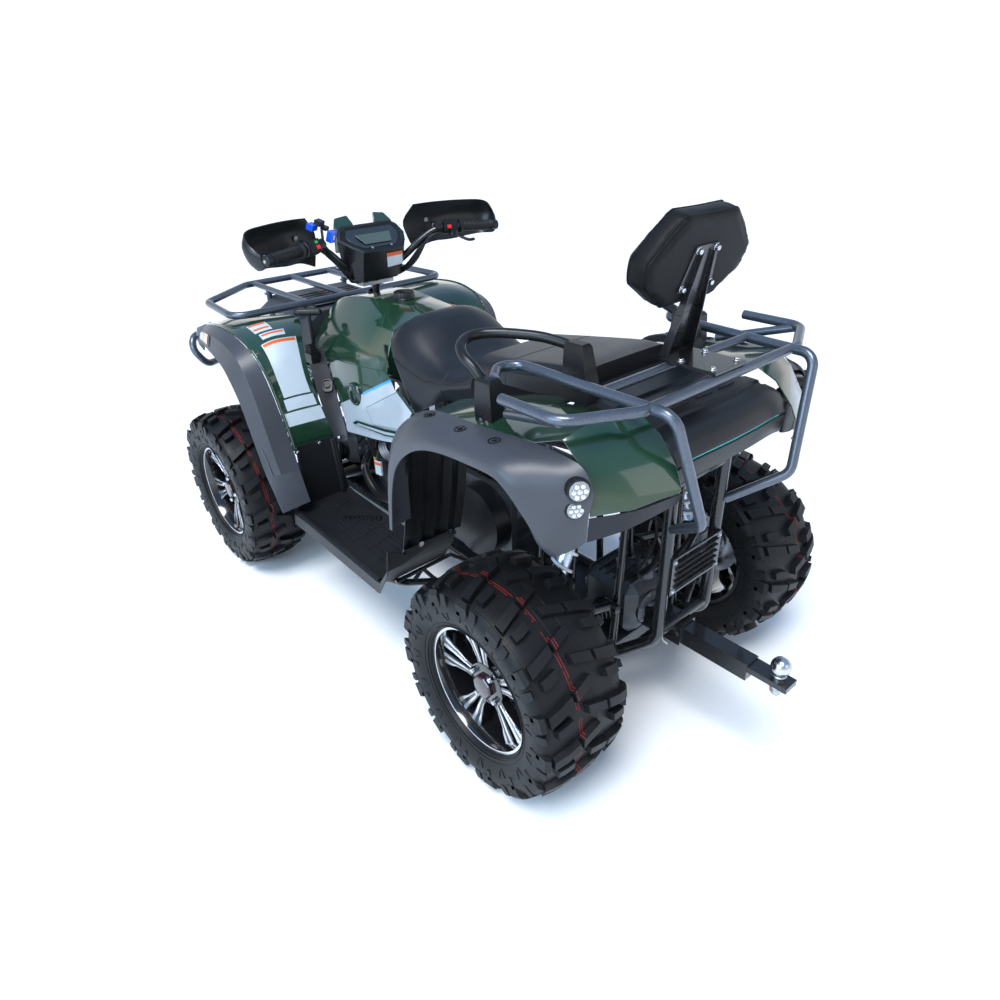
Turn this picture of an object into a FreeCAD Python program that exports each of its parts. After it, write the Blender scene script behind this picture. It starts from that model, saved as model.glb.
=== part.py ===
import FreeCAD, Part
import math
import os

from FreeCAD import Vector, Placement, Rotation

# Utility quad bike. X points forward, Y to the rider's left, Z up, lengths in millimetres.
# The origin is on the ground, below the middle of the whole length.

SIZES = {
    # whole machine
    "wheelbase": 1480,
    "front_overhang": 490,
    "rear_overhang": 535,
    "body_half": 500,
    "deck_height": 1000,
    # clearances
    "shaft_gap": 0.05,
    "seat_gap": 0.3,
    "moving_gap": 6,
    "overrun": 20,
    # wheels
    "tyre_radius": 306,
    "bead_radius": 178,
    "front_tyre_width": 225,
    "rear_tyre_width": 277,
    "front_track": 1011,
    "rear_track": 903,
    "rim_wall": 6,
    "rim_inset": 30,
    "spoke_depth": 26,
    "spoke_width": 46,
    "hub_radius": 46,
    "hub_length": 70,
    "stub_radius": 17,
    # frame
    "rail_tube": 32,
    "brace_tube": 22,
    "rail_bend": 60,
    "lower_rail_height": 236,
    "lower_rail_half": 140,
    "upper_rail_height": 776,
    "upper_rail_half": 105,
    "skid_thickness": 6,
    # racks, bumper and handles
    "rack_tube": 25,
    "rack_cross_tube": 22,
    "rack_bend": 55,
    "rear_rack_height": 1055,
    "bumper_tube": 28,
    "bumper_bend": 50,
    # power unit
    "engine_length": 430,
    "engine_width": 270,
    "engine_height": 370,
    "belt_cover_depth": 60,
    "belt_cover_front_radius": 95,
    "belt_cover_rear_radius": 115,
    "belt_shaft_spacing": 250,
    "gearcase_length": 190,
    "gearcase_width": 150,
    "gearcase_height": 170,
    "half_shaft": 26,
    "boot_radius": 36,
    "boot_length": 70,
    "muffler_radius": 72,
    "muffler_length": 310,
    # suspension and steering
    "arm_tube": 26,
    "arm_spread": 105,
    "pivot_length": 50,
    "ball_joint_rise": 100,
    "ball_joint_radius": 19,
    "ball_joint_length": 28,
    "king_pin_offset": 75,
    "king_pin_radius": 7,
    "knuckle_width": 46,
    "knuckle_depth": 44,
    "knuckle_gap": 6,
    "steering_arm_length": 90,
    "steering_arm_thickness": 12,
    "tie_rod_diameter": 16,
    "tie_rod_eye_radius": 13,
    "tie_pin_radius": 5,
    "spring_radius": 32,
    "spring_wire": 9,
    "damper_radius": 18,
    "column_radius": 13,
    "column_bearing_radius": 26,
    "column_bearing_length": 34,
    # bodywork
    "plastic": 4,
    "flare_plastic": 5,
    "cushion_gap": 1,
    # hitch
    "receiver_width": 64,
    "receiver_wall": 6,
    "receiver_length": 150,
    "drawbar_width": 50,
    "drawbar_plate": 16,
    "ball_radius": 25,
    "ball_shank_radius": 11,
    "ball_height": 372,
    "ball_setback": 500,
    # handlebar
    "bar_tube": 25,
    "grip_radius": 17,
    "grip_length": 125,
    "column_setback": 140,
    "column_lean": 148,
    "bar_clamp_height": 1088,
    "pitman_rise": 78,
    "pitman_arm_length": 72,
    "steering_arm_inset": 11,
    "stub_reach": 55,
    "shock_lead_share": 0.0,
    "shock_inset": 60,
    "post_steel": 8,
    "backrest_depth": 78,
    "lamp_depth": 70,
    "lamp_radius": 22,
    "lever_radius": 8,
    "gate_size": 50,
    "handle_tube": 25,
    "handle_bend": 45,
    "post_flange": 24,
    "grille_steel": 6,
    "grille_height": 110,
    "slot_width": 10,
    "cap_radius": 38,
    "guard_plastic": 4,
}

doc = FreeCAD.newDocument("QuadBike")
sheet = doc.addObject("Spreadsheet::Sheet", "Sizes")
for row, (name, value) in enumerate(SIZES.items(), start=1):
    sheet.set("A%d" % row, name)
    sheet.set("B%d" % row, str(value))
    sheet.setAlias("B%d" % row, name)
doc.recompute()


class Size(float):
    """A length with the spreadsheet formula that it comes from."""

    def __new__(cls, value, formula):
        size = super().__new__(cls, value)
        size.formula = formula
        return size

    def __add__(self, other):
        return Size(float(self) + float(other), "(%s + %s)" % (self.formula, formula_of(other)))

    def __radd__(self, other):
        return Size(float(other) + float(self), "(%s + %s)" % (formula_of(other), self.formula))

    def __sub__(self, other):
        return Size(float(self) - float(other), "(%s - %s)" % (self.formula, formula_of(other)))

    def __rsub__(self, other):
        return Size(float(other) - float(self), "(%s - %s)" % (formula_of(other), self.formula))

    def __mul__(self, other):
        return Size(float(self) * float(other), "(%s * %s)" % (self.formula, formula_of(other)))

    __rmul__ = __mul__

    def __truediv__(self, other):
        return Size(float(self) / float(other), "(%s / %s)" % (self.formula, formula_of(other)))

    def __neg__(self):
        return Size(-float(self), "(-%s)" % self.formula)


def formula_of(value):
    return value.formula if isinstance(value, Size) else repr(float(value))


class Sizes:
    """The cells of the spreadsheet, each as a Size."""


s = Sizes()
for name in SIZES:
    setattr(s, name, Size(float(getattr(sheet, name)), "Sizes." + name))

# driving places
length = s.wheelbase + s.front_overhang + s.rear_overhang
rear_axle_x = s.rear_overhang - length / 2
front_axle_x = rear_axle_x + s.wheelbase
axle_height = s.tyre_radius
rear_wheel_y = s.rear_track / 2
front_wheel_y = s.front_track / 2
UP = Vector(0, 0, 1)
FORWARD = Vector(1, 0, 0)
LEFTWARD = Vector(0, 1, 0)
ORIGIN = Vector(0, 0, 0)
FLATNESS = s.seat_gap * 1e-6

parts = []


def keep(obj, label):
    """Names an object as one of the sub-parts that are written out."""
    obj.Label = label
    parts.append(obj)
    return obj


def feature(label, shape):
    """A sub-part whose shape is worked out here from the sizes."""
    obj = doc.addObject("Part::Feature", label)
    obj.Shape = shape
    return keep(obj, label)


# Places along the machine are shares of the wheelbase ahead of the rear axle. Beyond the axles they keep
# their share of the overhang, so that the ends keep their form when the wheelbase changes.
FRONT_END_SHARE = 1.3311
REAR_END_SHARE = -0.3615


def along(x_share):
    if x_share > 1:
        return front_axle_x + s.front_overhang * (x_share - 1) / (FRONT_END_SHARE - 1)
    if x_share < 0:
        return rear_axle_x + s.rear_overhang * x_share / -REAR_END_SHARE
    return rear_axle_x + s.wheelbase * x_share


def to_share(x):
    """The share that a place along the machine has."""
    if x > front_axle_x:
        return 1 + (x - front_axle_x) / s.front_overhang * (FRONT_END_SHARE - 1)
    if x < rear_axle_x:
        return (x - rear_axle_x) / s.rear_overhang * -REAR_END_SHARE
    return (x - rear_axle_x) / s.wheelbase


def at(x_share, y_share, z_share):
    """A point of the body, with shares of half the body's width and of the deck's height."""
    return Vector(along(x_share), s.body_half * y_share, s.deck_height * z_share)


def points(shares):
    return [at(*share) for share in shares]


def other_side(shape):
    """The same piece on the right-hand side."""
    return shape.mirror(ORIGIN, LEFTWARD)


def both_sides(shape):
    return Part.makeCompound([shape, other_side(shape)])


def fuse(shapes):
    """One solid out of pieces that are welded or cast together."""
    shapes = list(shapes)
    if len(shapes) == 1:
        return shapes[0]
    return shapes[0].multiFuse(shapes[1:]).removeSplitter()


def block(low, high):
    """A block between two corners."""
    size = high - low
    return Part.makeBox(size.x, size.y, size.z, low)


def block_at(middle, size_x, size_y, size_z):
    half = Vector(size_x, size_y, size_z) / 2
    return block(middle - half, middle + half)


def rod(start, end, radius):
    """A round bar between two points."""
    line = end - start
    return Part.makeCylinder(radius, line.Length, start, line)


def turned(profile, start, direction):
    """A turned solid: the profile lists radii and places along the axis."""
    corners = [Vector(radius, 0, place) for radius, place in profile]
    solid = Part.Face(Part.makePolygon(corners + [corners[0]])).revolve(ORIGIN, UP, 360)
    solid = Part.Solid(solid) if solid.ShapeType == "Shell" else solid
    solid.Placement = Placement(start, Rotation(UP, direction))
    return solid


def cone(start, end, start_radius, end_radius):
    line = end - start
    return Part.makeCone(start_radius, end_radius, line.Length, start, line)


def tube(route, diameter, bend):
    """A bent tube, modelled solid: straight runs joined by arcs of one bend radius."""
    edges = []
    begin = route[0]
    for before, corner, after in zip(route, route[1:], route[2:]):
        inward = (before - corner).normalize()
        outward = (after - corner).normalize()
        turn = math.pi - inward.getAngle(outward)
        reach = bend * math.tan(turn / 2)
        start = corner + inward * reach
        finish = corner + outward * reach
        bisector = (inward + outward).normalize()
        middle = corner + bisector * (bend / math.cos(turn / 2) - bend)
        edges.append(Part.LineSegment(begin, start).toShape())
        edges.append(Part.Arc(start, middle, finish).toShape())
        begin = finish
    edges.append(Part.LineSegment(begin, route[-1]).toShape())
    path = Part.Wire(edges)
    circle = Part.Circle(route[0], route[1] - route[0], diameter / 2).toShape()
    return path.makePipeShell([Part.Wire([circle])], True, False)


def loft(sections):
    """A solid with flat-sided sections, each a list of corners."""
    wires = [Part.makePolygon(corners + [corners[0]]) for corners in sections]
    return Part.makeLoft(wires, True, True)


def flat_faces(corners):
    """One flat face out of three or four corners, or two where four don't lie in a plane."""
    if len(corners) == 4:
        normal = (corners[1] - corners[0]).cross(corners[2] - corners[0])
        if abs(normal.normalize().dot(corners[3] - corners[0])) > FLATNESS:
            return flat_faces(corners[:3]) + flat_faces([corners[0], corners[2], corners[3]])
    return [Part.Face(Part.makePolygon(corners + [corners[0]]))]


def closed_solid(polygons):
    """A solid whose skin is made of flat faces."""
    faces = [face for corners in polygons for face in flat_faces(corners)]
    solid = Part.Solid(Part.Shell(faces))
    return solid if solid.Volume > 0 else solid.reversed()


def panel(rows, thickness):
    """A moulded sheet of even thickness. Its outer face runs through the rows of points."""
    inner_rows = []
    last_row = len(rows) - 1
    last = len(rows[0]) - 1
    for i, row_points in enumerate(rows):
        inner = []
        for j, point in enumerate(row_points):
            along = rows[min(i + 1, last_row)][j] - rows[max(i - 1, 0)][j]
            across = row_points[min(j + 1, last)] - row_points[max(j - 1, 0)]
            normal = along.cross(across).normalize()
            inner.append(point - normal * thickness)
        inner_rows.append(inner)
    polygons = []
    for i in range(last_row):
        for j in range(last):
            for grid in (rows, inner_rows):
                polygons.append([grid[i][j], grid[i + 1][j], grid[i + 1][j + 1], grid[i][j + 1]])
        for j in (0, last):
            polygons.append([rows[i][j], rows[i + 1][j], inner_rows[i + 1][j], inner_rows[i][j]])
    for j in range(last):
        for i in (0, last_row):
            polygons.append([rows[i][j], rows[i][j + 1], inner_rows[i][j + 1], inner_rows[i][j]])
    return closed_solid(polygons)


def mirrored_solid(rows):
    """A solid that is the same on both sides. Each row lists places on the left, all round from end to end."""
    rings = [row + [Vector(p.x, -p.y, p.z) for p in reversed(row)] for row in rows]
    polygons = []
    for first, second in zip(rings, rings[1:]):
        for j in range(len(first)):
            k = (j + 1) % len(first)
            a, b = (j, k) if j < len(first) // 2 else (k, j)
            polygons.append([first[a], first[b], second[b], second[a]])
    for ring in (rings[0], rings[-1]):
        last = len(ring) - 1
        for j in range(len(ring) // 2 - 1):
            polygons.append([ring[j], ring[j + 1], ring[last - j - 1], ring[last - j]])
    return closed_solid(polygons)


def shape_of(label):
    return doc.getObject(label).Shape


def largest(shape):
    """The largest solid of a cut shape."""
    return max(shape.Solids, key=lambda solid: solid.Volume)


def plate(corners, direction):
    """A flat plate: an outline pushed along a direction."""
    face = Part.Face(Part.makePolygon(corners + [corners[0]]))
    return face.extrude(direction)


def bind(obj, prop, size):
    setattr(obj, prop, float(size))
    obj.setExpression(prop, size.formula)


def origin_plane(body, role):
    return [item for item in body.Origin.OriginFeatures if item.Role == role][0]


def outline(body, name, role, corners):
    """A closed outline in a sketch. Every corner's place is tied to the sizes."""
    import Sketcher
    sketch = body.newObject("Sketcher::SketchObject", name)
    sketch.AttachmentSupport = (origin_plane(body, role), [""])
    sketch.MapMode = "FlatFace"
    ring = [Vector(float(u), float(v), 0) for u, v in corners]
    for k, corner in enumerate(ring):
        sketch.addGeometry(Part.LineSegment(corner, ring[(k + 1) % len(ring)]), False)
    for k in range(len(ring)):
        sketch.addConstraint(Sketcher.Constraint("Coincident", k, 2, (k + 1) % len(ring), 1))
    for k, (u, v) in enumerate(corners):
        for kind, size in (("DistanceX", u), ("DistanceY", v)):
            index = sketch.addConstraint(Sketcher.Constraint(kind, -1, 1, k, 1, float(size)))
            if isinstance(size, Size):
                sketch.setExpression("Constraints[%d]" % index, size.formula)
    return sketch


# Tyres: a ring of flat facets. Some of its cells stand out as lugs, in an outer and an inner row on each side.

TYRE_PITCHES = 15
PITCH_COLUMNS = 3
TYRE_FACETS = TYRE_PITCHES * PITCH_COLUMNS
LUG_SHARE = 0.115
# across the tyre, as shares of half its width and of the height of its wall
tyre_profile_shares = [
    (-0.80, 0.0), (-1.0, 0.45), (-0.93, 0.84), (-0.44, 0.88), (-0.06, 0.885),
    (0.06, 0.885), (0.44, 0.88), (0.93, 0.84), (1.0, 0.45), (0.80, 0.0),
]
# which columns of a pitch stand out, for each strip of the profile that has lugs
LUG_COLUMNS = {2: (0, 1), 3: (1,), 5: (2,), 6: (2, 0)}


def tyre(width):
    """A tyre around the Y axis."""
    wall = s.tyre_radius - s.bead_radius
    count = len(tyre_profile_shares)
    angle = 2 * math.pi / TYRE_FACETS

    def corner(column, j, raised):
        across, up = tyre_profile_shares[j % count]
        radius = s.bead_radius + wall * (up + (LUG_SHARE if raised else 0)) / math.cos(angle / 2)
        turn = column * angle
        return Vector(radius * math.cos(turn), width / 2 * across, radius * math.sin(turn))

    def is_lug(column, strip):
        return column % PITCH_COLUMNS in LUG_COLUMNS.get(strip, ())

    polygons = []
    for column in range(TYRE_FACETS):
        after = column + 1
        for strip in range(count):
            lug = is_lug(column, strip)
            polygons.append([corner(column, strip, lug), corner(column, strip + 1, lug),
                             corner(after, strip + 1, lug), corner(after, strip, lug)])
            if not lug:
                continue
            for neighbour, j in ((strip - 1, strip), (strip + 1, strip + 1)):
                if not is_lug(column, neighbour):
                    polygons.append([corner(column, j, False), corner(after, j, False),
                                     corner(after, j, True), corner(column, j, True)])
            for neighbour, edge in ((column - 1, column), (after, after)):
                if not is_lug(neighbour, strip):
                    polygons.append([corner(edge, strip, False), corner(edge, strip + 1, False),
                                     corner(edge, strip + 1, True), corner(edge, strip, True)])
    return closed_solid(polygons)


def wheel_centre(front, side):
    x = front_axle_x if front else rear_axle_x
    y = front_wheel_y if front else rear_wheel_y
    return Vector(x, y * side, axle_height)


SIDES = (("left", 1), ("right", -1))
ENDS = (("front", True, s.front_tyre_width), ("rear", False, s.rear_tyre_width))

for end, is_front, tyre_width in ENDS:
    for side_name, side in SIDES:
        tyre_part = feature("%s_%s_tyre" % (side_name, end), tyre(tyre_width))
        tyre_part.Placement = Placement(wheel_centre(is_front, side), Rotation())


# Wheels: a barrel, a dished disc of split spokes and the hub, turned about their own Z axis

SPOKES = 5


def rim(label, tyre_width):
    body = doc.addObject("PartDesign::Body", label)
    half = tyre_width * 0.8 / 2
    outer = s.bead_radius * math.cos(math.pi / TYRE_FACETS) - s.seat_gap
    inner = outer - s.rim_wall
    lip = s.rim_wall * 1.5
    barrel = outline(body, label + "_barrel", "XZ_Plane", [
        (inner, -half), (outer, -half), (outer, half), (inner - lip, half), (inner - lip, half - lip),
        (inner, half - lip * 2),
    ])
    turned = body.newObject("PartDesign::Revolution", label + "_turned")
    turned.Profile = barrel
    turned.ReferenceAxis = (origin_axis(body), [""])
    turned.Angle = 360
    face = half - s.rim_inset
    back = face - s.spoke_depth
    hub = outline(body, label + "_hub", "XZ_Plane", [
        (s.stub_radius + s.shaft_gap, back - s.hub_length), (s.hub_radius, back - s.hub_length),
        (s.hub_radius, face), (s.stub_radius + s.shaft_gap, face),
    ])
    doc.recompute()
    spoke = outline(body, label + "_spoke", "XZ_Plane", [
        (s.hub_radius - s.rim_wall, back), (inner + s.rim_wall / 2, back + s.rim_wall),
        (inner + s.rim_wall / 2, face + s.rim_wall), (s.hub_radius - s.rim_wall, face),
    ])
    pad = body.newObject("PartDesign::Pad", label + "_spoke_pad")
    pad.Profile = spoke
    pad.SideType = "Symmetric"
    bind(pad, "Length", s.spoke_width)
    split = outline(body, label + "_split", "XZ_Plane", [
        (s.hub_radius + s.rim_wall * 2, back - s.rim_wall), (inner - s.rim_wall * 2, back - s.rim_wall),
        (inner - s.rim_wall * 2, face + s.rim_wall * 2), (s.hub_radius + s.rim_wall * 2, face + s.rim_wall * 2),
    ])
    slot = body.newObject("PartDesign::Pocket", label + "_slot")
    slot.Profile = split
    slot.SideType = "Symmetric"
    bind(slot, "Length", s.spoke_width * 0.3)
    pattern = body.newObject("PartDesign::PolarPattern", label + "_spokes")
    pattern.Originals = [pad, slot]
    pattern.Axis = (origin_axis(body), [""])
    pattern.Angle = 360
    pattern.Occurrences = SPOKES
    body.Tip = pattern
    centre = body.newObject("PartDesign::Revolution", label + "_centre")
    centre.Profile = hub
    centre.ReferenceAxis = (origin_axis(body), [""])
    centre.Angle = 360
    body.Tip = centre
    return keep(body, label)


def origin_axis(body):
    return origin_plane(body, "Z_Axis")


for end, is_front, tyre_width in ENDS:
    for side_name, side in SIDES:
        rim_part = rim("%s_%s_rim" % (side_name, end), tyre_width)
        facing = Rotation(FORWARD, -90 * side)
        rim_part.Placement = Placement(wheel_centre(is_front, side), facing)


# heights of the foot supports, front and rear, and how far the foot floor's rim stands up
FOOT_FRONT_SHARE = 0.3325
FOOT_REAR_SHARE = 0.3265
FOOT_EDGE_SHARE = 0.012

# Frame: two lower rails, two upper rails, the rear cage, posts, cross tubes and the foot supports

lower_y = s.lower_rail_half / s.body_half
upper_y = s.upper_rail_half / s.body_half
low_z = s.lower_rail_height / s.deck_height
high_z = s.upper_rail_height / s.deck_height
rail_radius = s.rail_tube / 2
brace_radius = s.brace_tube / 2
REAR_POST_SHARE = -0.14
lower_rail_shares = [
    (REAR_POST_SHARE, upper_y, 0.86), (REAR_POST_SHARE, upper_y, 0.34), (-0.06, lower_y, low_z),
    (1.06, lower_y, low_z), (1.15, upper_y, 0.40), (1.13, upper_y, 0.66),
]
upper_rail_shares = [
    (1.13, upper_y, 0.66), (0.94, upper_y, 0.74), (0.82, upper_y, high_z), (0.20, upper_y, high_z),
    (-0.14, upper_y, 0.84),
]
foot_support_shares = [
    (0.34, lower_y, low_z), (0.34, 0.60, 0.25), (0.34, 0.94, FOOT_REAR_SHARE), (0.62, 0.94, FOOT_FRONT_SHARE),
    (0.62, 0.60, 0.26), (0.62, lower_y, low_z),
]
# the truss under the heel: ends of its bars, as shares across and up
foot_truss_shares = [
    ((0.92, 0.3255), (0.50, 0.330)), ((0.50, 0.330), (lower_y, low_z)), ((0.62, 0.256), (0.72, 0.328)),
    ((0.72, 0.328), (0.80, 0.294)),
]
cross_tube_shares = [
    (-0.14, upper_y, 0.36), (-0.14, upper_y, 0.80), (0.02, lower_y, low_z), (0.30, lower_y, low_z),
    (0.62, lower_y, low_z), (1.00, lower_y, low_z), (1.145, upper_y, 0.42), (1.135, upper_y, 0.62),
    (0.50, upper_y, high_z), (0.20, upper_y, high_z),
]
side_post_shares = [(0.14, low_z, high_z), (0.66, low_z, high_z)]

# The steering column leans back: it stands in a bearing on a low cross tube behind the front gear case.
column_foot = Vector(front_axle_x - s.column_setback, 0, s.lower_rail_height)
column_top = Vector(front_axle_x - s.column_setback - s.column_lean, 0, s.deck_height)
column_line = (column_top - column_foot).normalize()


def on_column(height):
    """The point of the column's axis at a height above the ground."""
    return column_foot + column_line * ((height - s.lower_rail_height) / column_line.z)


def rail_height(x_share):
    """The height of the upper rail's middle above a place along the machine."""
    ends = [(x, z) for x, y, z in upper_rail_shares]
    for (x_front, z_front), (x_rear, z_rear) in zip(ends, ends[1:]):
        if x_rear <= x_share <= x_front:
            return s.deck_height * (z_rear + (z_front - z_rear) * (x_share - x_rear) / (x_front - x_rear))
    return s.deck_height * ends[-1][1]


def post_ends(axle_x, place):
    """A post beside an axle that carries the upper arms, from the lower rail to the upper one."""
    x = axle_x + place * s.arm_spread * 0.8
    return Vector(x, s.lower_rail_half, s.lower_rail_height), Vector(x, s.upper_rail_half, rail_height(to_share(x)))


def frame():
    pieces = []
    for side in (1, -1):
        for shares, diameter in ((lower_rail_shares, s.rail_tube), (upper_rail_shares, s.rail_tube),
                                 (foot_support_shares, s.brace_tube)):
            route = [Vector(p.x, p.y * side, p.z) for p in points(shares)]
            pieces.append(tube(route, diameter, s.rail_bend))
        for (near_y, near_z), (far_y, far_z) in foot_truss_shares:
            pieces.append(rod(at(0.34, near_y * side, near_z), at(0.34, far_y * side, far_z), brace_radius * 0.6))
        for x_share, low, high in side_post_shares:
            pieces.append(rod(at(x_share, lower_y * side, low), at(x_share, upper_y * side, high), brace_radius))
        for axle_x in (front_axle_x, rear_axle_x):
            for place in (1, -1):
                foot, head = post_ends(axle_x, place)
                foot.y, head.y = foot.y * side, head.y * side
                pieces.append(rod(foot, head, brace_radius))
    for x_share, y_share, z_share in cross_tube_shares:
        pieces.append(rod(at(x_share, y_share, z_share), at(x_share, -y_share, z_share), brace_radius))
    low = Vector(column_foot.x, s.lower_rail_half, column_foot.z)
    pieces.append(rod(low, low - LEFTWARD * s.lower_rail_half * 2, rail_radius))
    collar = on_column(s.upper_rail_height - s.column_bearing_length / 2)
    beside = Vector(collar.x + s.column_radius + brace_radius + s.moving_gap, s.upper_rail_half,
                    s.upper_rail_height - brace_radius * 0.45)
    pieces.append(rod(beside, beside - LEFTWARD * s.upper_rail_half * 2, brace_radius))
    half = column_line * s.column_bearing_length / 2
    pieces.append(rod(collar - half, collar + half, s.column_bearing_radius))
    pieces.append(rod(column_foot, column_foot + half * 2, s.column_bearing_radius))
    welded = fuse(pieces)
    bore = rod(column_foot, on_column(s.deck_height), s.column_radius + s.shaft_gap)
    return welded.cut(bore)


def arm_pivots(axle_x, upper):
    """The inner ends of a left arm, on the lower rail or on the posts."""
    ends = []
    for place in (1, -1):
        if upper:
            foot, head = post_ends(axle_x, place)
            share = (axle_height + s.ball_joint_rise - foot.z) / (head.z - foot.z)
            pivot = foot + (head - foot) * share
            pivot.y += brace_radius + s.arm_tube / 2 + s.seat_gap
        else:
            pivot = Vector(axle_x + place * s.arm_spread, s.lower_rail_half, s.lower_rail_height)
            pivot.y += rail_radius + s.arm_tube / 2 + s.seat_gap
        ends.append(pivot)
    return ends


def ball_joint(axle_x, wheel_y, upper):
    rise = s.ball_joint_rise if upper else -s.ball_joint_rise
    return Vector(axle_x, wheel_y - s.king_pin_offset, axle_height + rise)


def arm(axle_x, wheel_y, upper):
    """A forked arm of two tubes, with a pivot tube at each inner end and a ball joint's boss at the outer one."""
    joint = ball_joint(axle_x, wheel_y, upper)
    half_boss = UP * s.ball_joint_length / 2
    pieces = [rod(joint - half_boss, joint + half_boss, s.ball_joint_radius)]
    for pivot in arm_pivots(axle_x, upper):
        pieces.append(rod(pivot, joint, s.arm_tube / 2))
        half = FORWARD * s.pivot_length / 2
        pieces.append(rod(pivot - half, pivot + half, s.arm_tube / 2))
    bore = rod(joint - half_boss * 2, joint + half_boss * 2, s.king_pin_radius + s.shaft_gap)
    return fuse(pieces).cut(bore)


def all_arms():
    shapes = []
    for axle_x, wheel_y in ((front_axle_x, front_wheel_y), (rear_axle_x, rear_wheel_y)):
        for upper in (True, False):
            left = arm(axle_x, wheel_y, upper)
            shapes += [left, other_side(left)]
    return shapes


def knuckle(axle_x, wheel_y, steered):
    """The left upright between the ball joints, with the stub axle and, at the front, the steering arm."""
    middle = Vector(axle_x, wheel_y - s.king_pin_offset, axle_height)
    half_height = s.ball_joint_rise - s.ball_joint_length / 2 - s.knuckle_gap * 1.3
    pieces = [block_at(middle, s.knuckle_width, s.knuckle_depth, half_height * 2)]
    reach = s.ball_joint_rise + s.ball_joint_length / 2 - s.seat_gap
    pieces.append(rod(middle - UP * reach, middle + UP * reach, s.king_pin_radius))
    stub_end = Vector(axle_x, wheel_y + s.stub_reach, axle_height)
    pieces.append(rod(middle, stub_end, s.stub_radius))
    shoulder = middle + LEFTWARD * (s.knuckle_depth / 2 + s.knuckle_gap)
    pieces.append(rod(middle, shoulder, s.hub_radius * 0.8))
    if steered:
        eye = tie_pin(axle_x, wheel_y)
        low = Vector(eye.x - s.tie_rod_eye_radius, eye.y - s.tie_rod_eye_radius, eye.z)
        high = Vector(axle_x, eye.y + s.tie_rod_eye_radius, eye.z + s.steering_arm_thickness)
        pieces.append(block(low, high))
        pieces.append(rod(eye - UP * s.tie_rod_diameter, eye + UP * s.steering_arm_thickness, s.tie_pin_radius))
    return fuse(pieces)


def tie_pin(axle_x, wheel_y):
    """The underside of the steering arm, at the pin of the tie rod's eye."""
    return Vector(axle_x - s.steering_arm_length, wheel_y - s.king_pin_offset - s.steering_arm_inset,
                  axle_height - s.steering_arm_thickness)


def tie_rod():
    """The left tie rod: an eye on the knuckle's pin and a rod that ends below the column's arm."""
    pin = tie_pin(front_axle_x, front_wheel_y)
    eye = pin - UP * (s.tie_rod_diameter / 2 + s.seat_gap)
    half = UP * s.tie_rod_diameter * 0.45
    inner = Vector(pitman_end().x, s.tie_rod_eye_radius * 1.5, pitman_end().z - s.steering_arm_thickness * 1.6)
    pieces = [rod(eye - half, eye + half, s.tie_rod_eye_radius), rod(eye, inner, s.tie_rod_diameter / 2)]
    return fuse(pieces).cut(rod(eye - half * 2, eye + half * 2, s.tie_pin_radius + s.shaft_gap))


def pitman_end():
    """The rear end of the arm at the column's foot."""
    back = Vector(-column_line.z, 0, column_line.x)
    return column_foot + column_line * s.pitman_rise + back * s.pitman_arm_length


def column():
    """The steering column with the arm at its foot that the tie rods follow, up to the bar's clamp."""
    foot = column_foot + column_line * s.seat_gap
    top = on_column(s.bar_clamp_height)
    root = column_foot + column_line * s.pitman_rise
    back = Vector(-column_line.z, 0, column_line.x)
    half = LEFTWARD * s.tie_rod_eye_radius * 1.6
    under = column_line * s.steering_arm_thickness / 2
    corners = [root - under - half + back * -s.column_radius, root - under + half + back * -s.column_radius,
               root - under + half + back * s.pitman_arm_length, root - under - half + back * s.pitman_arm_length]
    arm_plate = plate(corners, under * 2)
    return fuse([rod(foot, top, s.column_radius), arm_plate])


def gear_case(axle_x):
    low = s.lower_rail_height + brace_radius
    middle = Vector(axle_x, 0, low + s.gearcase_height / 2)
    case = block_at(middle, s.gearcase_length, s.gearcase_width, s.gearcase_height)
    return case.makeChamfer(s.gearcase_height * 0.16, case.Edges)


def drive(axle_x, wheel_y, clearance, outer_boot):
    """A gear case with a half shaft and its two boots on each side."""
    case = gear_case(axle_x)
    inner = Vector(axle_x, s.gearcase_width / 2, axle_height)
    outer = Vector(axle_x, wheel_y - s.king_pin_offset - s.knuckle_depth / 2 - clearance, axle_height)
    shaft = [
        rod(inner - LEFTWARD * s.boot_radius, outer, s.half_shaft / 2),
        cone(inner, inner + LEFTWARD * s.boot_length, s.boot_radius, s.half_shaft / 2),
        cone(outer - LEFTWARD * s.boot_length, outer, s.half_shaft / 2, outer_boot),
    ]
    return fuse([case] + shaft + [other_side(piece) for piece in shaft])


def shock(axle_x, wheel_y, frame_shape):
    """A damper with its coil spring, from the upper arm to the upper rail. The coils are rings."""
    x = axle_x + s.arm_spread * s.shock_lead_share
    joint = ball_joint(axle_x, wheel_y, True)
    eye = s.damper_radius * 0.8
    low = Vector(x, joint.y - s.shock_inset, joint.z + s.arm_tube / 2 + eye + s.seat_gap)
    rail_z = rail_height(to_share(x))
    high = Vector(x, s.upper_rail_half + rail_radius + eye + s.seat_gap, rail_z - eye * 0.3)
    line = (high - low).normalize()
    half = FORWARD * eye * 1.6
    reach = (high - low).Length - eye * 1.6
    seat = s.spring_wire
    coil = (reach - seat * 2) / SPRING_TURNS
    inner = s.spring_radius - s.spring_wire
    profile = [(0, 0), (s.damper_radius, 0), (s.spring_radius, 0), (s.spring_radius, seat)]
    for k in range(SPRING_TURNS):
        start = seat + coil * k
        profile += [(inner, start), (inner, start + coil - s.spring_wire)]
        profile.append((s.spring_radius, start + coil - seat / 2))
    profile += [(inner, reach - seat), (s.spring_radius, reach - seat), (s.spring_radius, reach), (0, reach)]
    pieces = [turned(profile, low + line * eye * 0.8, line), rod(low - half, low + half, eye)]
    pieces.append(rod(high - half, high + half, eye))
    return largest(fuse(pieces).cut(frame_shape))


SPRING_TURNS = 7


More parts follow.
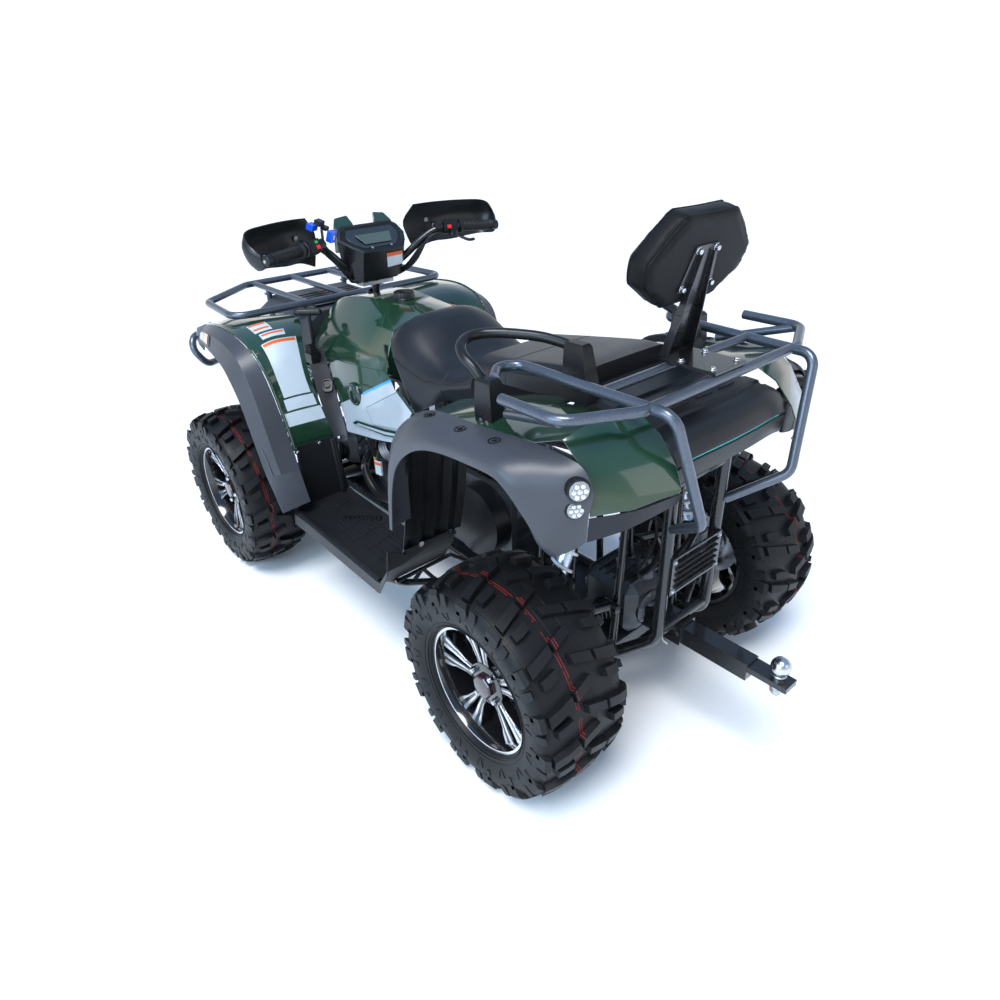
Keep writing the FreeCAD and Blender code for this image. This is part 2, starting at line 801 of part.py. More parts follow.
# Bodywork sheets: rows run along the machine, each row lists places from the inner edge outwards

front_fender_shares = [
    [(0.740, 0.60, 0.590), (0.742, 0.78, 0.592), (0.742, 0.91, 0.595)],
    [(0.765, 0.66, 0.780), (0.765, 0.82, 0.785), (0.765, 0.95, 0.780)],
    [(0.805, 0.62, 0.895), (0.800, 0.82, 0.905), (0.800, 0.98, 0.885)],
    [(0.878, 0.52, 0.942), (0.878, 0.80, 0.945), (0.878, 0.99, 0.930)],
    [(0.980, 0.52, 0.935), (0.980, 0.80, 0.942), (0.980, 0.98, 0.932)],
    [(1.081, 0.52, 0.905), (1.081, 0.76, 0.918), (1.081, 0.94, 0.905)],
    [(1.182, 0.50, 0.850), (1.182, 0.70, 0.865), (1.182, 0.87, 0.860)],
    [(1.250, 0.48, 0.780), (1.250, 0.64, 0.790), (1.240, 0.78, 0.790)],
]
front_flare_shares = [
    [(0.692, 0.91, 0.392), (0.692, 1.03, 0.390), (0.692, 1.12, 0.388)],
    [(0.722, 0.91, 0.500), (0.728, 1.04, 0.500), (0.750, 1.12, 0.500)],
    [(0.742, 0.915, 0.600), (0.748, 1.05, 0.600), (0.770, 1.13, 0.600)],
    [(0.765, 0.955, 0.780), (0.772, 1.07, 0.770), (0.800, 1.14, 0.740)],
    [(0.800, 0.985, 0.885), (0.808, 1.08, 0.865), (0.838, 1.14, 0.815)],
    [(0.878, 0.995, 0.930), (0.880, 1.07, 0.905), (0.890, 1.12, 0.845)],
    [(0.980, 0.985, 0.932), (0.980, 1.05, 0.910), (0.975, 1.09, 0.860)],
    [(1.081, 0.945, 0.905), (1.081, 1.00, 0.885), (1.075, 1.03, 0.850)],
    [(1.182, 0.875, 0.860), (1.182, 0.93, 0.840), (1.170, 0.96, 0.810)],
    [(1.240, 0.785, 0.790), (1.245, 0.84, 0.775), (1.235, 0.87, 0.750)],
]
rear_fender_shares = [
    [(0.223, 0.370, 0.900), (0.223, 0.620, 0.925), (0.223, 0.870, 0.915)],
    [(0.147, 0.370, 0.938), (0.147, 0.630, 0.958), (0.147, 0.866, 0.945)],
    [(0.068, 0.370, 0.962), (0.068, 0.640, 0.978), (0.068, 0.862, 0.958)],
    [(0.031, 0.370, 0.970), (0.031, 0.644, 0.984), (0.031, 0.860, 0.962)],
    [(0.027, 0.444, 0.972), (0.027, 0.650, 0.986), (0.027, 0.860, 0.963)],
    [(-0.049, 0.444, 0.990), (-0.049, 0.660, 1.006), (-0.049, 0.856, 0.975)],
    [(-0.127, 0.448, 1.010), (-0.111, 0.680, 1.028), (-0.094, 0.830, 0.998)],
    [(-0.165, 0.456, 0.985), (-0.147, 0.684, 0.990), (-0.123, 0.832, 0.965)],
    [(-0.198, 0.464, 0.930), (-0.176, 0.690, 0.925), (-0.149, 0.834, 0.900)],
    [(-0.214, 0.472, 0.880), (-0.191, 0.694, 0.866), (-0.152, 0.836, 0.852)],
]
rear_flare_shares = [
    [(0.267, 0.910, 0.600), (0.265, 1.000, 0.600), (0.262, 1.056, 0.598), (0.252, 1.060, 0.598)],
    [(0.265, 0.910, 0.720), (0.262, 1.000, 0.718), (0.252, 1.060, 0.715), (0.238, 1.064, 0.712)],
    [(0.256, 0.900, 0.845), (0.252, 1.000, 0.840), (0.233, 1.066, 0.820), (0.216, 1.070, 0.800)],
    [(0.233, 0.890, 0.915), (0.225, 1.000, 0.905), (0.198, 1.070, 0.880), (0.181, 1.074, 0.858)],
    [(0.177, 0.880, 0.952), (0.172, 1.000, 0.945), (0.147, 1.074, 0.920), (0.133, 1.080, 0.900)],
    [(0.079, 0.874, 0.962), (0.079, 1.000, 0.958), (0.076, 1.076, 0.944), (0.074, 1.084, 0.922)],
    [(0.001, 0.874, 0.972), (0.001, 1.000, 0.966), (0.001, 1.076, 0.952), (0.001, 1.084, 0.930)],
    [(-0.056, 0.870, 0.978), (-0.052, 0.990, 0.969), (-0.048, 1.070, 0.950), (-0.044, 1.080, 0.928)],
    [(-0.100, 0.860, 0.975), (-0.093, 0.960, 0.958), (-0.076, 1.056, 0.925), (-0.068, 1.070, 0.905)],
    [(-0.140, 0.850, 0.962), (-0.127, 0.930, 0.935), (-0.093, 1.030, 0.885), (-0.080, 1.044, 0.870)],
    [(-0.160, 0.850, 0.915), (-0.147, 0.900, 0.895), (-0.104, 1.000, 0.840), (-0.090, 1.010, 0.828)],
    [(-0.152, 0.846, 0.850), (-0.142, 0.880, 0.840), (-0.111, 0.970, 0.790), (-0.098, 0.976, 0.778)],
    [(-0.148, 0.840, 0.790), (-0.140, 0.860, 0.775), (-0.120, 0.916, 0.752), (-0.110, 0.930, 0.745)],
]
rear_valance_shares = [
    [(-0.152, 0.858, 0.848), (-0.149, 0.852, 0.788)],
    [(-0.191, 0.690, 0.862), (-0.184, 0.690, 0.815)],
    [(-0.215, 0.470, 0.875), (-0.208, 0.470, 0.845)],
]
side_panel_shares = [
    [(0.755, 0.454, 0.826), (0.736, 0.464, 0.745), (0.729, 0.476, 0.690), (0.731, 0.486, 0.573)],
    [(0.654, 0.445, 0.838), (0.654, 0.468, 0.745), (0.654, 0.480, 0.690), (0.662, 0.486, 0.590)],
    [(0.593, 0.424, 0.844), (0.593, 0.464, 0.760), (0.596, 0.480, 0.690), (0.600, 0.486, 0.605)],
    [(0.571, 0.416, 0.845), (0.546, 0.452, 0.790), (0.535, 0.472, 0.710), (0.530, 0.486, 0.628)],
    [(0.537, 0.436, 0.815), (0.515, 0.446, 0.775), (0.505, 0.464, 0.710), (0.492, 0.480, 0.645)],
    [(0.492, 0.436, 0.738), (0.478, 0.444, 0.730), (0.468, 0.464, 0.700), (0.451, 0.476, 0.660)],
    [(0.427, 0.436, 0.760), (0.424, 0.444, 0.742), (0.417, 0.460, 0.710), (0.410, 0.472, 0.680)],
]
inner_fairing_shares = [
    [(0.823, 0.422, 0.836), (0.883, 0.500, 0.845)],
    [(0.809, 0.458, 0.793), (0.867, 0.508, 0.775)],
    [(0.775, 0.474, 0.700), (0.826, 0.540, 0.690)],
    [(0.752, 0.486, 0.630), (0.792, 0.560, 0.620)],
    [(0.735, 0.496, 0.573), (0.772, 0.580, 0.560)],
    [(0.733, 0.500, 0.540), (0.758, 0.586, 0.530)],
]
# the splash panel: places along and heights of its rows, its inner and outer edge and its upright folds
HEEL_FOLDS = 8
HEEL_INNER_SHARE = 0.50
HEEL_OUTER_SHARE = 0.925
HEEL_RIB_SHARE = 0.006
heel_panel_shares = [
    (0.2965, 0.462), (0.274, 0.600), (0.264, 0.700), (0.246, 0.860),
]
# covers: rows from the front rearwards, each from the top outwards and down
tank_shares = [
    [(0.570, 0.150, 1.000), (0.570, 0.330, 0.970), (0.570, 0.396, 0.885), (0.570, 0.410, 0.840)],
    [(0.669, 0.160, 1.015), (0.669, 0.320, 0.962), (0.669, 0.400, 0.900), (0.669, 0.444, 0.830)],
    [(0.755, 0.170, 1.018), (0.755, 0.310, 0.948), (0.755, 0.400, 0.887), (0.755, 0.448, 0.820)],
    [(0.850, 0.180, 0.995), (0.850, 0.300, 0.932), (0.850, 0.380, 0.872), (0.850, 0.444, 0.815)],
    [(0.905, 0.170, 0.962), (0.905, 0.284, 0.918), (0.905, 0.364, 0.862), (0.905, 0.410, 0.815)],
]
rider_seat_shares = [
    [(0.555, 0.060, 1.008), (0.558, 0.160, 1.004), (0.562, 0.290, 0.985), (0.565, 0.360, 0.950),
     (0.551, 0.388, 0.905), (0.525, 0.396, 0.850), (0.505, 0.398, 0.795), (0.489, 0.398, 0.752)],
    [(0.535, 0.060, 1.020), (0.537, 0.160, 1.015), (0.540, 0.290, 0.993), (0.542, 0.380, 0.950),
     (0.531, 0.412, 0.900), (0.509, 0.420, 0.845), (0.490, 0.420, 0.790), (0.475, 0.408, 0.750)],
    [(0.498, 0.060, 1.012), (0.500, 0.180, 1.003), (0.501, 0.310, 0.975), (0.502, 0.392, 0.930),
     (0.493, 0.416, 0.885), (0.478, 0.424, 0.840), (0.465, 0.422, 0.795), (0.455, 0.408, 0.760)],
    [(0.438, 0.060, 0.955), (0.438, 0.180, 0.950), (0.438, 0.310, 0.930), (0.438, 0.380, 0.895),
     (0.434, 0.404, 0.865), (0.429, 0.412, 0.835), (0.424, 0.408, 0.808), (0.421, 0.396, 0.790)],
    [(0.383, 0.060, 0.918), (0.383, 0.180, 0.916), (0.383, 0.300, 0.906), (0.383, 0.364, 0.890),
     (0.383, 0.386, 0.875), (0.383, 0.394, 0.862), (0.383, 0.392, 0.852), (0.383, 0.380, 0.842)],
    [(0.326, 0.060, 0.922), (0.326, 0.180, 0.920), (0.326, 0.300, 0.914), (0.326, 0.360, 0.903),
     (0.326, 0.380, 0.893), (0.326, 0.386, 0.885), (0.326, 0.384, 0.879), (0.326, 0.376, 0.873)],
    [(0.292, 0.060, 0.945), (0.292, 0.180, 0.944), (0.292, 0.300, 0.938), (0.292, 0.360, 0.926),
     (0.292, 0.376, 0.914), (0.292, 0.382, 0.904), (0.292, 0.380, 0.897), (0.292, 0.372, 0.890)],
]
passenger_seat_shares = [
    [(0.288, 0.200, 0.985), (0.288, 0.300, 0.978), (0.288, 0.350, 0.960), (0.288, 0.360, 0.935)],
    [(0.201, 0.220, 1.003), (0.201, 0.310, 0.998), (0.201, 0.356, 0.978), (0.201, 0.364, 0.940)],
    [(0.079, 0.240, 1.030), (0.079, 0.310, 1.024), (0.079, 0.344, 1.000), (0.079, 0.352, 0.950)],
    [(0.028, 0.230, 1.035), (0.028, 0.300, 1.028), (0.028, 0.332, 1.005), (0.028, 0.340, 0.955)],
]
seat_base_shares = [(0.288, 0.35, 0.925), (0.140, 0.35, 0.930), (0.026, 0.36, 0.945)]
# the top of the tail tray with its steps, from the front rearwards, as places along and heights
tail_tray_shares = [
    (0.042, 0.953), (0.020, 0.990), (0.012, 0.9985), (-0.049, 1.0015), (-0.064, 1.0015), (-0.068, 0.9945),
    (-0.100, 0.9965), (-0.104, 0.989), (-0.137, 0.9895), (-0.141, 0.9815), (-0.167, 0.978), (-0.185, 0.956),
    (-0.194, 0.930), (-0.1945, 0.920), (-0.190, 0.876), (-0.184, 0.868),
]
TRAY_HALF_SHARE = 0.42
nose_shares = [
    (0.908, (0.28, 0.940), (0.38, 0.910), (0.38, 0.800)),
    (0.940, (0.28, 0.938), (0.40, 0.908), (0.40, 0.798)),
    (1.014, (0.30, 0.942), (0.46, 0.912), (0.46, 0.790)),
    (1.149, (0.30, 0.942), (0.44, 0.900), (0.44, 0.740)),
    (1.166, (0.30, 0.936), (0.44, 0.890), (0.44, 0.730)),
    (1.176, (0.30, 0.925), (0.44, 0.878), (0.44, 0.730)),
    (1.236, (0.28, 0.845), (0.42, 0.795), (0.44, 0.660)),
    (1.270, (0.26, 0.740), (0.40, 0.700), (0.42, 0.645)),
]


def cover(shares, floor):
    """A closed cover: sections from the floor up over the widest place to the top, both sides alike."""
    sections = []
    for x_share, *corners in shares:
        low = floor(x_share)
        left = [at(x_share, y_share, z_share) for y_share, z_share in corners]
        foot = Vector(left[-1].x, left[-1].y, low)
        right = [Vector(p.x, -p.y, p.z) for p in reversed(left + [foot])]
        sections.append(left + [foot] + right)
    return loft(sections)


def cover_between(rows, floor):
    """A cover with a flat floor: each row runs from the top down to its lower edge, and in to the middle."""
    inside = s.upper_rail_half + rail_radius + s.moving_gap
    sections = []
    for row in rows:
        left = points(row)
        edge = left[-1]
        left.append(Vector(edge.x, inside, floor))
        sections.append(left)
    return mirrored_solid(sections)


def above_rails(x_share):
    """Just above the upper rails."""
    slope_room = s.seat_gap * 3
    return rail_height(x_share) + rail_radius + slope_room


def frame_clear_nose(x_share):
    """The nose lies on the rails and hangs down in front of them."""
    if x_share > 1.17:
        return s.deck_height * 0.615
    return above_rails(min(x_share, 1.13))


def footwell():
    """The left foot floor with its front wall, heel wall and outer skirt."""
    sole = (brace_radius + s.seat_gap + s.plastic) / s.deck_height
    rear_z = FOOT_REAR_SHARE + sole
    front_z = FOOT_FRONT_SHARE + sole
    edge = FOOT_EDGE_SHARE
    rows = [
        [(0.722, 0.600, 0.571), (0.728, 0.646, 0.580), (0.728, 0.888, 0.583),
         (0.722, 0.905, 0.583), (0.720, 0.908, 0.575)],
        [(0.727, 0.580, 0.460), (0.732, 0.620, 0.460), (0.731, 0.870, 0.460),
         (0.725, 0.900, 0.460), (0.722, 0.905, 0.450)],
        [(0.728, 0.544, front_z + edge), (0.736, 0.592, front_z), (0.733, 0.860, front_z),
         (0.722, 1.000, front_z + edge), (0.718, 1.010, front_z - edge * 2)],
        [(0.700, 0.540, front_z + edge / 2), (0.700, 0.592, front_z), (0.700, 0.910, front_z),
         (0.700, 1.030, front_z + edge), (0.700, 1.042, front_z - edge * 2)],
        [(0.580, 0.540, front_z), (0.580, 0.592, front_z), (0.580, 0.910, front_z),
         (0.580, 1.030, front_z + edge), (0.580, 1.044, front_z - edge * 2)],
        [(0.340, 0.540, rear_z), (0.340, 0.592, rear_z), (0.340, 0.930, rear_z),
         (0.335, 1.040, rear_z + edge), (0.335, 1.052, rear_z - edge * 2)],
        [(0.306, 0.544, 0.420), (0.306, 0.592, 0.420), (0.304, 0.940, 0.420),
         (0.296, 1.045, 0.430), (0.295, 1.054, 0.415)],
        [(0.295, 0.550, 0.474), (0.295, 0.592, 0.474), (0.295, 0.940, 0.474),
         (0.288, 1.046, 0.500), (0.287, 1.054, 0.490)],
    ]
    return panel([points(row) for row in rows], -s.plastic)


def mirror_panel(rows, thickness):
    sheet_shape = panel([points(row_shares) for row_shares in rows], thickness)
    return both_sides(sheet_shape)


feature("frame", frame())
frame_shape = parts[-1].Shape
arms = all_arms()
feature("suspension_arms", Part.makeCompound(arms))

rear_knuckle = knuckle(rear_axle_x, rear_wheel_y, False)
feature("rear_hubs", both_sides(rear_knuckle))
front_knuckle = knuckle(front_axle_x, front_wheel_y, True)
feature("left_knuckle", front_knuckle)
feature("right_knuckle", other_side(front_knuckle))
rod_shape = tie_rod()
feature("left_tie_rod", rod_shape)
feature("right_tie_rod", other_side(rod_shape))

front_drive = drive(front_axle_x, front_wheel_y, s.knuckle_width * 0.58, s.boot_radius * 0.5)
rear_drive = drive(rear_axle_x, rear_wheel_y, s.seat_gap, s.boot_radius * 0.8)
feature("driveline", Part.makeCompound([front_drive, rear_drive]))

shocks = []
for axle_x, wheel_y in ((front_axle_x, front_wheel_y), (rear_axle_x, rear_wheel_y)):
    left_shock = shock(axle_x, wheel_y, frame_shape).cut(arms[0 if axle_x == front_axle_x else 4])
    shocks += [left_shock, other_side(left_shock)]
feature("shock_absorbers", Part.makeCompound([solid for piece in shocks for solid in piece.Solids]))

# power unit
engine_low = s.lower_rail_height + rail_radius
engine = block(Vector(rear_axle_x + s.wheelbase * 0.225, -s.engine_width / 2, engine_low),
               Vector(rear_axle_x + s.wheelbase * 0.225 + s.engine_length, s.engine_width / 2,
                      engine_low + s.engine_height))
engine = engine.cut(frame_shape)
feature("engine", engine)

belt_rear = Vector(rear_axle_x + s.wheelbase * 0.225 + s.belt_cover_rear_radius, s.engine_width / 2 + s.seat_gap,
                   engine_low + s.engine_height * 0.55)
belt_front = belt_rear + FORWARD * s.belt_shaft_spacing
depth = LEFTWARD * s.belt_cover_depth
belt_cover = fuse([
    rod(belt_rear, belt_rear + depth, s.belt_cover_rear_radius),
    rod(belt_front, belt_front + depth, s.belt_cover_front_radius),
    block(belt_rear - UP * s.belt_cover_front_radius * 0.8,
          belt_front + depth + UP * s.belt_cover_front_radius * 0.8),
])
feature("belt_cover", belt_cover.cut(frame_shape))

muffler_middle = at(0.135, -0.50, 0)
muffler_middle.z = s.upper_rail_height - s.muffler_radius * 1.47
half_muffler = FORWARD * s.muffler_length / 2
muffler = fuse([
    rod(muffler_middle - half_muffler, muffler_middle + half_muffler, s.muffler_radius),
    block(Vector(muffler_middle.x - s.muffler_radius / 2, muffler_middle.y, muffler_middle.z),
          Vector(muffler_middle.x + s.muffler_radius / 2, -s.upper_rail_half, s.upper_rail_height + rail_radius)),
])
feature("muffler", muffler.cut(frame_shape))

skid = block(Vector(rear_axle_x - s.wheelbase * 0.04, -s.lower_rail_half,
                    s.lower_rail_height - rail_radius - s.seat_gap - s.skid_thickness),
             Vector(front_axle_x + s.wheelbase * 0.05, s.lower_rail_half,
                    s.lower_rail_height - rail_radius - s.seat_gap))
feature("skid_plate", skid)

# steering body
feature("steering_column", column())

# bodywork
hole = rod(on_column(s.lower_rail_height), on_column(s.deck_height * 1.2), s.column_radius + s.moving_gap)
on_rails = s.upper_rail_height + rail_radius + s.seat_gap
tank = cover_between(tank_shares, on_rails).cut(hole)
feature("tank_cover", tank)
hollow_half = s.upper_rail_half + rail_radius + s.moving_gap
hollow = block(Vector(along(0.25), -hollow_half, s.lower_rail_height), Vector(along(0.60), hollow_half, on_rails))
rider_seat = cover_between(rider_seat_shares, on_rails).cut(hollow)
feature("rider_seat", largest(rider_seat))


def tail_tray():
    """The seat's base and the luggage floor behind it, whose steps run across the machine."""
    base = cover([(x, (y, z)) for x, y, z in seat_base_shares], above_rails)
    half = TRAY_HALF_SHARE
    top = [at(x, half, z) for x, z in tail_tray_shares]
    bottom = [at(x, half, above_rails(x) / s.deck_height) for x in (-0.150, -0.139, 0.042)]
    return fuse([base, plate(top + bottom, LEFTWARD * -2 * half * s.body_half)])


tray = tail_tray().cut(frame_shape)
feature("tail_tray", tray)


def seat_floor(x_share):
    ends = [(x, z) for x, y, z in seat_base_shares]
    for (x_front, z_front), (x_rear, z_rear) in zip(ends, ends[1:]):
        if x_rear <= x_share <= x_front:
            share = (x_share - x_rear) / (x_front - x_rear)
            return s.deck_height * (z_rear + (z_front - z_rear) * share) + s.cushion_gap
    return s.deck_height * ends[-1][1] + s.cushion_gap


def passenger_seat():
    rows = []
    for row in passenger_seat_shares:
        left = points(row)
        low = Vector(left[-1].x, left[-1].y, seat_floor(row[-1][0]))
        rows.append(left + [low])
    return mirrored_solid(rows)


feature("passenger_seat", largest(passenger_seat().cut(tray)))
nose = cover(nose_shares, frame_clear_nose)
feature("nose", nose)
front_fenders = mirror_panel(front_fender_shares, s.plastic)
feature("front_fenders", front_fenders)
feature("front_flares", mirror_panel(front_flare_shares, s.flare_plastic))
rear_fenders = mirror_panel(rear_fender_shares, -s.plastic).cut(tray)
feature("rear_fenders", rear_fenders)
feature("rear_flares", mirror_panel(rear_flare_shares, -s.flare_plastic))
valance = panel([points(row_shares) for row_shares in rear_valance_shares], -s.plastic)
valance = largest(valance.cut(rear_fenders).cut(shape_of("rear_flares")))
feature("rear_valances", both_sides(valance))
side_panel = panel([points(row_shares) for row_shares in side_panel_shares], -s.plastic)
side_panel = largest(side_panel.cut(tank).cut(rider_seat))
feature("side_panels", both_sides(side_panel))
inner_fairing = panel([points(row_shares) for row_shares in inner_fairing_shares], -s.plastic)
inner_fairing = largest(inner_fairing.cut(tank).cut(side_panel))
feature("inner_fairings", both_sides(inner_fairing))


def heel_panel():
    """The left splash panel behind the foot floor, with upright ribs."""
    rows = []
    for x_share, z_share in heel_panel_shares:
        row = []
        for k in range(HEEL_FOLDS + 1):
            y_share = HEEL_INNER_SHARE + (HEEL_OUTER_SHARE - HEEL_INNER_SHARE) * k / HEEL_FOLDS
            row.append(at(x_share + (HEEL_RIB_SHARE if k % 2 else 0), y_share, z_share))
        rows.append(row)
    return panel(rows, s.plastic)


feature("footwells", both_sides(largest(footwell().cut(shape_of("front_flares")))))
splash = heel_panel().cut(shape_of("rear_flares")).cut(parts[-1].Shape)
feature("heel_panels", both_sides(largest(splash)))

# racks and bumper
rack_inner_shares = [
    (0.070, 0.77, 1.060), (0.105, 0.66, 1.060), (0.085, 0.565, 1.060), (-0.207, 0.545, 1.055),
    (-0.232, 0.37, 0.783), (-0.150, 0.22, 0.690),
]
rack_hoop_shares = [
    (0.000, 0.912, 1.058), (-0.115, 0.912, 1.058), (-0.165, 0.60, 1.055), (-0.165, -0.60, 1.055),
    (-0.115, -0.912, 1.058), (0.000, -0.912, 1.058),
]


def rear_rack():
    pieces = [tube(points(rack_hoop_shares), s.rack_tube, s.rack_bend)]
    for side in (1, -1):
        route = [at(x, y * side, z) for x, y, z in rack_inner_shares]
        pieces.append(tube(route, s.rack_tube, s.rack_bend * 0.7))
        pieces.append(rod(at(0.03, 0.80 * side, 0.995), at(-0.112, 0.905 * side, 1.055), s.rack_cross_tube / 2))
    pieces.append(rod(at(-0.081, 0.56, 1.058), at(-0.081, -0.56, 1.058), s.rack_cross_tube / 2))
    return fuse(pieces)


feature("rear_rack", rear_rack().cut(frame_shape))

front_ring_shares = [
    (0.944, 0.40, 0.965), (0.944, 0.90, 0.965), (1.130, 0.866, 0.965), (1.248, 0.408, 0.965),
    (1.248, -0.408, 0.965), (1.130, -0.866, 0.965), (0.944, -0.90, 0.965), (0.944, -0.40, 0.965),
]


def front_rack():
    pieces = [tube(points(front_ring_shares), s.rack_tube, s.rack_bend)]
    pieces.append(rod(at(0.944, 0.42, 0.965), at(0.944, -0.42, 0.965), s.rack_tube / 2))
    for y_share in (0.34, 0.0, -0.34):
        pieces.append(rod(at(0.944, y_share, 0.965), at(1.248, y_share, 0.965), s.rack_cross_tube / 2))
    for x_share in (0.97, 1.16):
        for y_share in (0.34, -0.34):
            pieces.append(rod(at(x_share, y_share, 0.80), at(x_share, y_share, 0.965), s.rack_cross_tube / 2))
    return fuse(pieces)


feature("front_rack", front_rack().cut(nose))

bumper_ring_shares = [
    (1.310, 0.0, 0.790), (1.310, 0.66, 0.790), (1.268, 0.98, 0.795), (1.262, 0.84, 0.680), (1.310, 0.60, 0.665),
    (1.310, 0.0, 0.665),
]


def bumper():
    pieces = []
    nose_x = along(FRONT_END_SHARE) - s.bumper_tube / 2
    for side in (1, -1):
        route = [at(x, y * side, z) for x, y, z in bumper_ring_shares]
        for p in route:
            if p.x > at(1.30, 0, 0).x:
                p.x = nose_x
        pieces.append(tube(route, s.bumper_tube, s.bumper_bend))
        low = Vector(nose_x, s.upper_rail_half * side, s.deck_height * 0.665)
        high = Vector(nose_x, s.upper_rail_half * side, s.deck_height * 0.79)
        pieces.append(rod(low, at(1.145, upper_y * side, 0.42), s.rack_cross_tube / 2))
        pieces.append(rod(low, high, s.rack_cross_tube / 2))
    return fuse(pieces)


feature("front_bumper", largest(bumper().cut(frame_shape).cut(nose)))

# hitch
receiver_z = s.deck_height * 0.36 - brace_radius - s.receiver_width / 2
receiver_rear = rear_axle_x - s.wheelbase * 0.155
receiver = block(Vector(receiver_rear, -s.receiver_width / 2, receiver_z - s.receiver_width / 2),
                 Vector(receiver_rear + s.receiver_length, s.receiver_width / 2, receiver_z + s.receiver_width / 2))
inside = s.receiver_width / 2 - s.receiver_wall
receiver_bore = block(Vector(receiver_rear - s.overrun, -inside, receiver_z - inside),
                      Vector(receiver_rear + s.receiver_length + s.overrun, inside, receiver_z + inside))
feature("receiver", receiver.cut(receiver_bore).cut(frame_shape).cut(rear_drive))
bar_half = inside - s.seat_gap
ball_x = rear_axle_x - s.ball_setback
plate_top = s.ball_height - s.ball_radius - s.ball_shank_radius
tail_x = rear_axle_x - s.rear_overhang
drawbar = fuse([
    block(Vector(tail_x + s.rear_overhang * 0.2, -bar_half, receiver_z - bar_half),
          Vector(receiver_rear + s.receiver_length * 0.8, bar_half, receiver_z + bar_half)),
    block(Vector(tail_x, -s.drawbar_width / 2, plate_top - s.drawbar_plate),
          Vector(tail_x + s.rear_overhang * 0.24, s.drawbar_width / 2, plate_top)),
])
shank = Vector(ball_x, 0, plate_top - s.drawbar_plate * 2)
drawbar = drawbar.cut(rod(shank, Vector(ball_x, 0, plate_top + s.overrun), s.ball_shank_radius + s.shaft_gap))
feature("drawbar", drawbar)
ball = fuse([
    Part.makeSphere(s.ball_radius, Vector(ball_x, 0, s.ball_height)),
    rod(shank, Vector(ball_x, 0, s.ball_height), s.ball_shank_radius),
    rod(Vector(ball_x, 0, plate_top), Vector(ball_x, 0, plate_top + s.ball_shank_radius / 2),
        s.ball_shank_radius * 1.7),
    rod(shank + UP * s.drawbar_plate * 0.3, shank + UP * (s.drawbar_plate - s.seat_gap), s.ball_shank_radius * 1.6),
])
feature("tow_ball", ball)

# handles, backrest, lamps and fittings


def grab_handle():
    """The left hand rail: a bent tube between two blocks beside the passenger seat."""
    route = points([(0.085, 0.784, 1.035), (0.1145, 0.800, 1.085), (0.162, 0.690, 1.116), (0.1206, 0.522, 1.121),
                    (0.0767, 0.440, 1.117), (0.020, 0.400, 1.102)])
    outer = tapered_block((0.058, 0.744, 0.945), (0.096, 0.826, 0.985), (0.090, 0.812, 1.058))
    inner = tapered_block((-0.023, 0.356, 0.985), (0.036, 0.452, 1.030), (0.033, 0.430, 1.118))
    return fuse([tube(route, s.handle_tube, s.handle_bend), outer, inner])


def tapered_block(low, wide, high):
    """A block that narrows upwards: a low corner, its wide corner and the far corner of its top."""
    narrow = (high[1] - wide[1]) / 2
    levels = [(low[0], low[1], wide[0], wide[1], low[2]), (low[0], low[1], wide[0], wide[1], wide[2]),
              (low[0] - narrow / 2, low[1] - narrow, high[0], high[1], high[2])]
    return loft([points([(x, y, z), (far_x, y, z), (far_x, far_y, z), (x, far_y, z)])
                 for x, y, far_x, far_y, z in levels])


handle = grab_handle()
for neighbour in (rear_fenders, tray, shape_of("rear_rack"), shape_of("passenger_seat")):
    handle = handle.cut(neighbour)
feature("grab_handles", both_sides(largest(handle)))


# The backrest leans rearwards. The pad's outline is given by shares across and up its plane.
PAD_TILT = 14
pad_outline_shares = [(0.190, 0.003), (0.364, 0.062), (0.384, 0.115), (0.292, 0.165), (0.190, 0.208)]
PAD_FOOT_SHARES = (-0.081, 0, 1.190)
PAD_HALF_HEIGHT_SHARE = 0.105
# how far its levels stand out, as shares of its depth, and how much each is narrower
pad_level_shares = [(0.0, 0.03), (0.13, 0.0), (0.85, 0.0), (1.0, 0.10)]


def backrest_post():
    """A folded steel channel on a base plate that lies on the rack's two cross tubes, with the pad's bracket."""
    top = s.rear_rack_height + s.rack_tube / 2 + s.seat_gap * 5
    rear_x = at(-0.170, 0, 0).x
    base_plate = block(Vector(rear_x, -s.body_half * 0.12, top),
                       Vector(at(-0.070, 0, 0).x, s.body_half * 0.12, top + s.post_steel))
    lean = math.tan(math.radians(PAD_TILT))
    foot = at(*PAD_FOOT_SHARES)
    half_low = s.body_half * 0.10
    half_high = s.body_half * 0.045

    def place(height, y):
        """A point of the plane just behind the pad."""
        back = (height - foot.z) * lean
        return Vector(foot.x - back - s.seat_gap * 2, y, height)

    head = s.deck_height * 1.32
    web = [place(top, -half_low), place(top, half_low), place(head, half_high), place(head, -half_high)]
    pieces = [base_plate, plate(web, FORWARD * -s.post_steel)]
    for sign in (1, -1):
        edge = [place(top, half_low * sign), place(head, half_high * sign)]
        flange = [edge[0], edge[1], edge[1] - FORWARD * s.post_flange * 0.5, edge[0] - FORWARD * s.post_flange]
        pieces.append(plate(flange, LEFTWARD * -s.post_steel * sign))
    bracket = [place(s.deck_height * z, y * s.body_half) for y, z in
               ((-0.13, 1.225), (0.13, 1.225), (0.13, 1.330), (-0.13, 1.330))]
    pieces.append(plate(bracket, FORWARD * -s.post_steel))
    return fuse(pieces)


